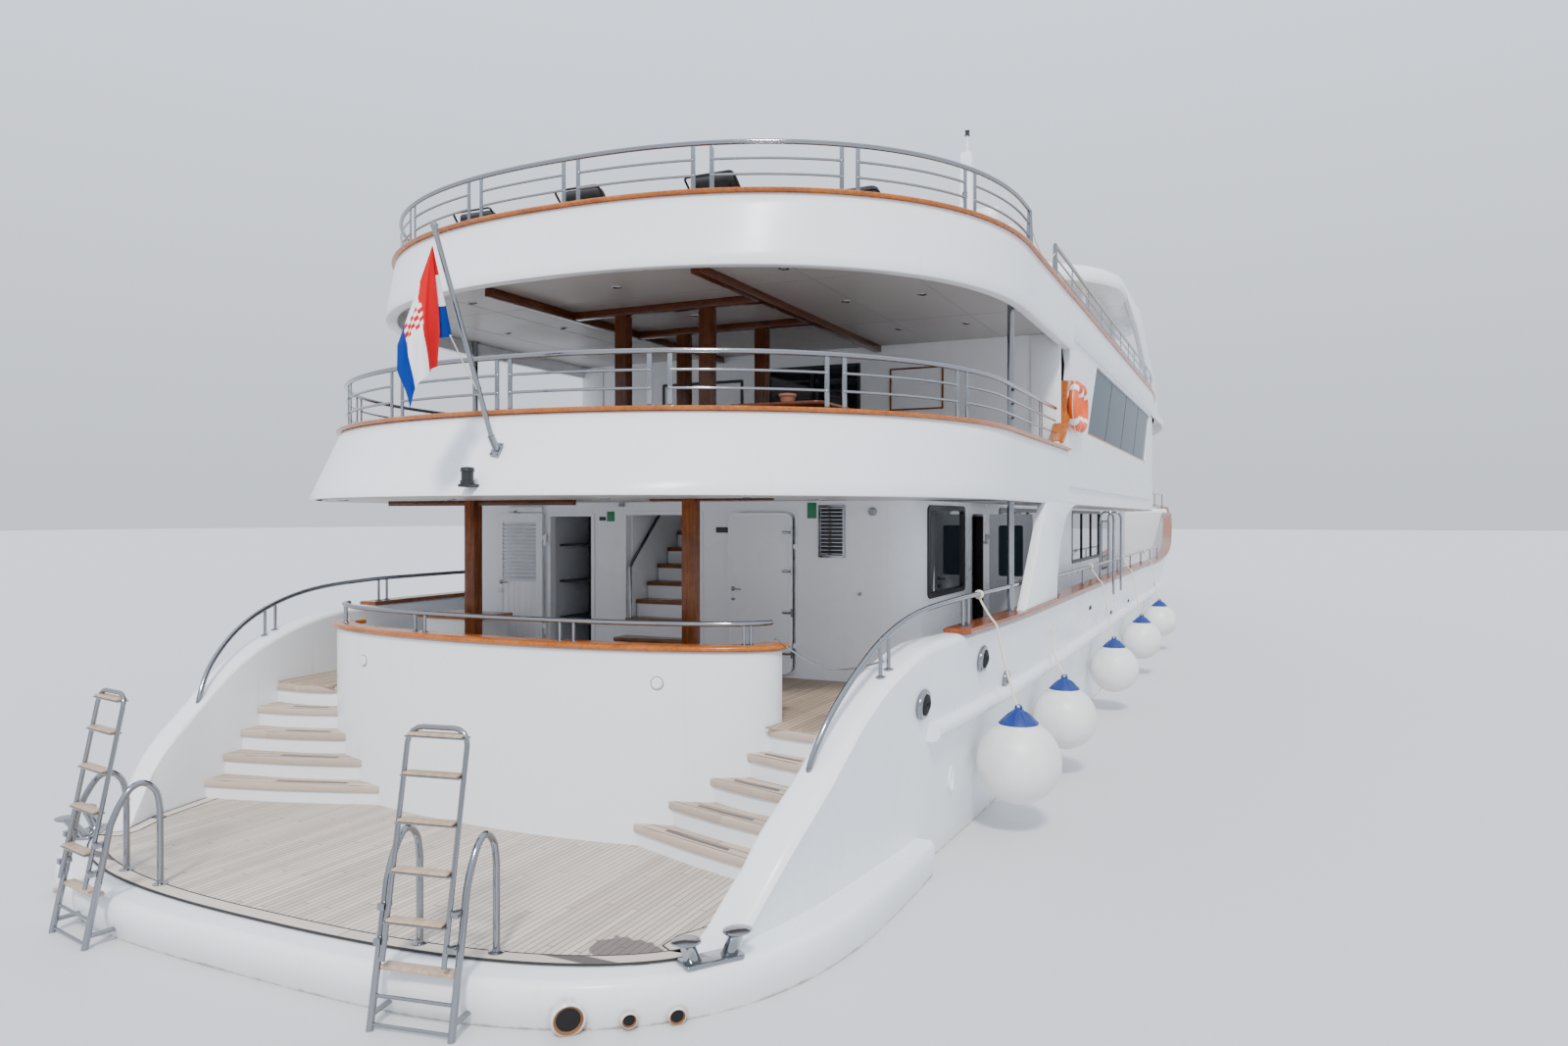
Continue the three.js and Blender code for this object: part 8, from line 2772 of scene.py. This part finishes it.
@dataclass
class MainDeck(Assembly):
    """Teak of the main deck, the aft posts, the wood on the slab above and the ceiling lights."""

    def build(self) -> None:
        """Makes the deck's pieces."""
        Piece("main_planking", FINISH.deck_teak).copy_node("main_deck_teak").done("main_deck_teak")
        for side in Side:
            post = Piece(f"aft_pillar_{side.label}", FINISH.post_wood)
            y = side.value * 1.48
            post.box(-19.475, -19.325, y - 0.075, y + 0.075, 1.7016, Level.UPPER_UNDER, 0.012)
            post.done(f"aft_post_{side.label}")
        # The trims under the slab use the dark beam wood as painted shade.
        shaded_trims = Piece("slab_trims_painted_shade", FINISH.dark_wood)
        shaded_trims.box(-19.43, -19.37, 0.02, 2.8, 3.79, Level.UPPER_UNDER, 0.006)
        shaded_trims.box(-19.43, -19.37, -2.45, -0.98, 3.825, Level.UPPER_UNDER, 0.006)
        shaded_trims.done()
        ceiling_lights("cockpit_lights", (-20.3, -18.5), (-2.6, -1.0, 1.0, 2.6), 3.8498)


@dataclass
class Lifebuoys(Assembly):
    """Two lifebuoys on the starboard side of the upper house."""

    spots: tuple[Point, ...] = ((-12.9, -4.46, 5.34), (-12.35, -4.44, 5.36))

    def build(self) -> None:
        """Makes the rings, their bands and grab lines."""
        rings = Piece("lifebuoy_rings", FINISH.orange)
        bands = Piece("lifebuoy_bands", FINISH.white)
        lines = Piece("lifebuoy_lines", FINISH.rope)
        for x, y, z in self.spots:
            rings.torus((x, y, z), (0, 1, 0), 0.31, 0.07, sides=18, around=60)
            for k in range(4):
                a = 45 + 90 * k
                bands.torus((x, y, z), (0, 1, 0), 0.31, 0.0715, sides=18, around=6, sweep=(a - 9, a + 9))
            lines.torus((x, y, z), (0, 1, 0), 0.388, 0.006, sides=6, around=60)
        rings.done()
        bands.done()
        lines.done()


# Studio


@dataclass
class Studio:
    """Camera, lights and floor."""

    eye: Point = (-14.465, -3.48, 1.725)
    yaw: float = 24.73
    pitch: float = -0.3
    lens: float = 23.625
    horizon: Color = (0.5, 0.53, 0.57, 1)
    zenith: Color = (0.8, 0.87, 1.0, 1)

    def build(self) -> None:
        """Makes the studio."""
        scene = bpy.context.scene
        data = bpy.data.cameras.new("camera")
        data.lens, data.sensor_width, data.clip_end = self.lens, 36, 300
        camera = bpy.data.objects.new("camera", data)
        scene.collection.objects.link(camera)
        yaw, pitch = math.radians(self.yaw), math.radians(self.pitch)
        aim = Vector((math.cos(pitch) * math.cos(yaw), math.cos(pitch) * math.sin(yaw), math.sin(pitch)))
        camera.location = self.eye
        camera.rotation_euler = aim.to_track_quat("-Z", "Y").to_euler()
        scene.camera = camera
        self.world(scene)
        self.sun()
        self.floor()

    def world(self, scene: bpy.types.Scene) -> None:
        """Pale even surroundings, a little brighter overhead.

        Args:
            scene: the scene.
        """
        world = bpy.data.worlds.new("studio")
        scene.world = world
        world.use_nodes = True
        graph = Graph(world.node_tree, world.node_tree.nodes["Background"])
        height = graph.axis(graph.put("TexCoord").outputs["Generated"], 2)
        graph.shade(Color=graph.mix(graph.remap(height, -0.1, 0.7), self.horizon, self.zenith), Strength=1.7)

    def sun(self) -> None:
        """Soft key light from high on the starboard quarter."""
        data = bpy.data.lights.new("key", "SUN")
        data.energy, data.angle, data.color = 3.0, math.radians(8), (1.0, 0.98, 0.95)
        lamp = bpy.data.objects.new("key", data)
        lamp.rotation_euler = Vector((0.75, 0.32, -0.85)).to_track_quat("-Z", "Y").to_euler()
        bpy.context.scene.collection.objects.link(lamp)

    def floor(self) -> None:
        """The wide pale floor at the waterline."""
        part = bmesh.new()
        bmesh.ops.create_grid(part, x_segments=1, y_segments=1, size=150)
        mesh = bpy.data.meshes.new("floor")
        part.to_mesh(mesh)
        part.free()
        mesh.materials.append(FINISH.floor.material())
        ground = bpy.data.objects.new("floor", mesh)
        bpy.context.scene.collection.objects.link(ground)


def dress_nodes() -> None:
    """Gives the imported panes, which stay in sight, their glass."""
    for house in ("main_house", "upper_house", "wheelhouse"):
        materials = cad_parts[f"{house}_glass"].data.materials
        materials.clear()
        materials.append(FINISH.glass.material())


def main() -> None:
    """Builds every assembly in order."""
    Studio().build()
    upper = UpperDeck("upper_deck", UPPER_LOW, UPPER_TOP, Level.UPPER_LOW, Level.UPPER_TOP,
                      (Level.UPPER_LOW, Level.UPPER_DECK), -13.0, SternForm(10.2, -1.0, 4.36, 2.3),
                      -13.3, -13.0, hole=(-17.4, -15.52, 0.53))
    sun = SunDeck("sun_deck", SUN_LOW, SUN_TOP, Level.SUN_LOW, Level.SUN_TOP,
                  (Level.SUN_SLAB, Level.SUN_DECK), -12.78, SternForm(11.0, 3.0, 4.4, 2.3), -1.0, -12.78)
    parts: list[Assembly] = [
        Lines(), HullSkin(), BathingDeck(), Stairs(), Transom(), MainDeck(), MainHouse(), SideRails(),
        upper, sun, Rails(), Lounge(), UpperHouse(), Topside(), Lifebuoys(), Ensign(), Fenders(),
        Foredeck(), *DOORS, *map(SwimLadder, Side), *map(Bollard, Side), *map(Underwater, Side),
    ]
    for part in parts:
        LOG.info("-- %s", type(part).__name__)
        part.build()
    dress_nodes()


if __name__ == "__main__":
    main()
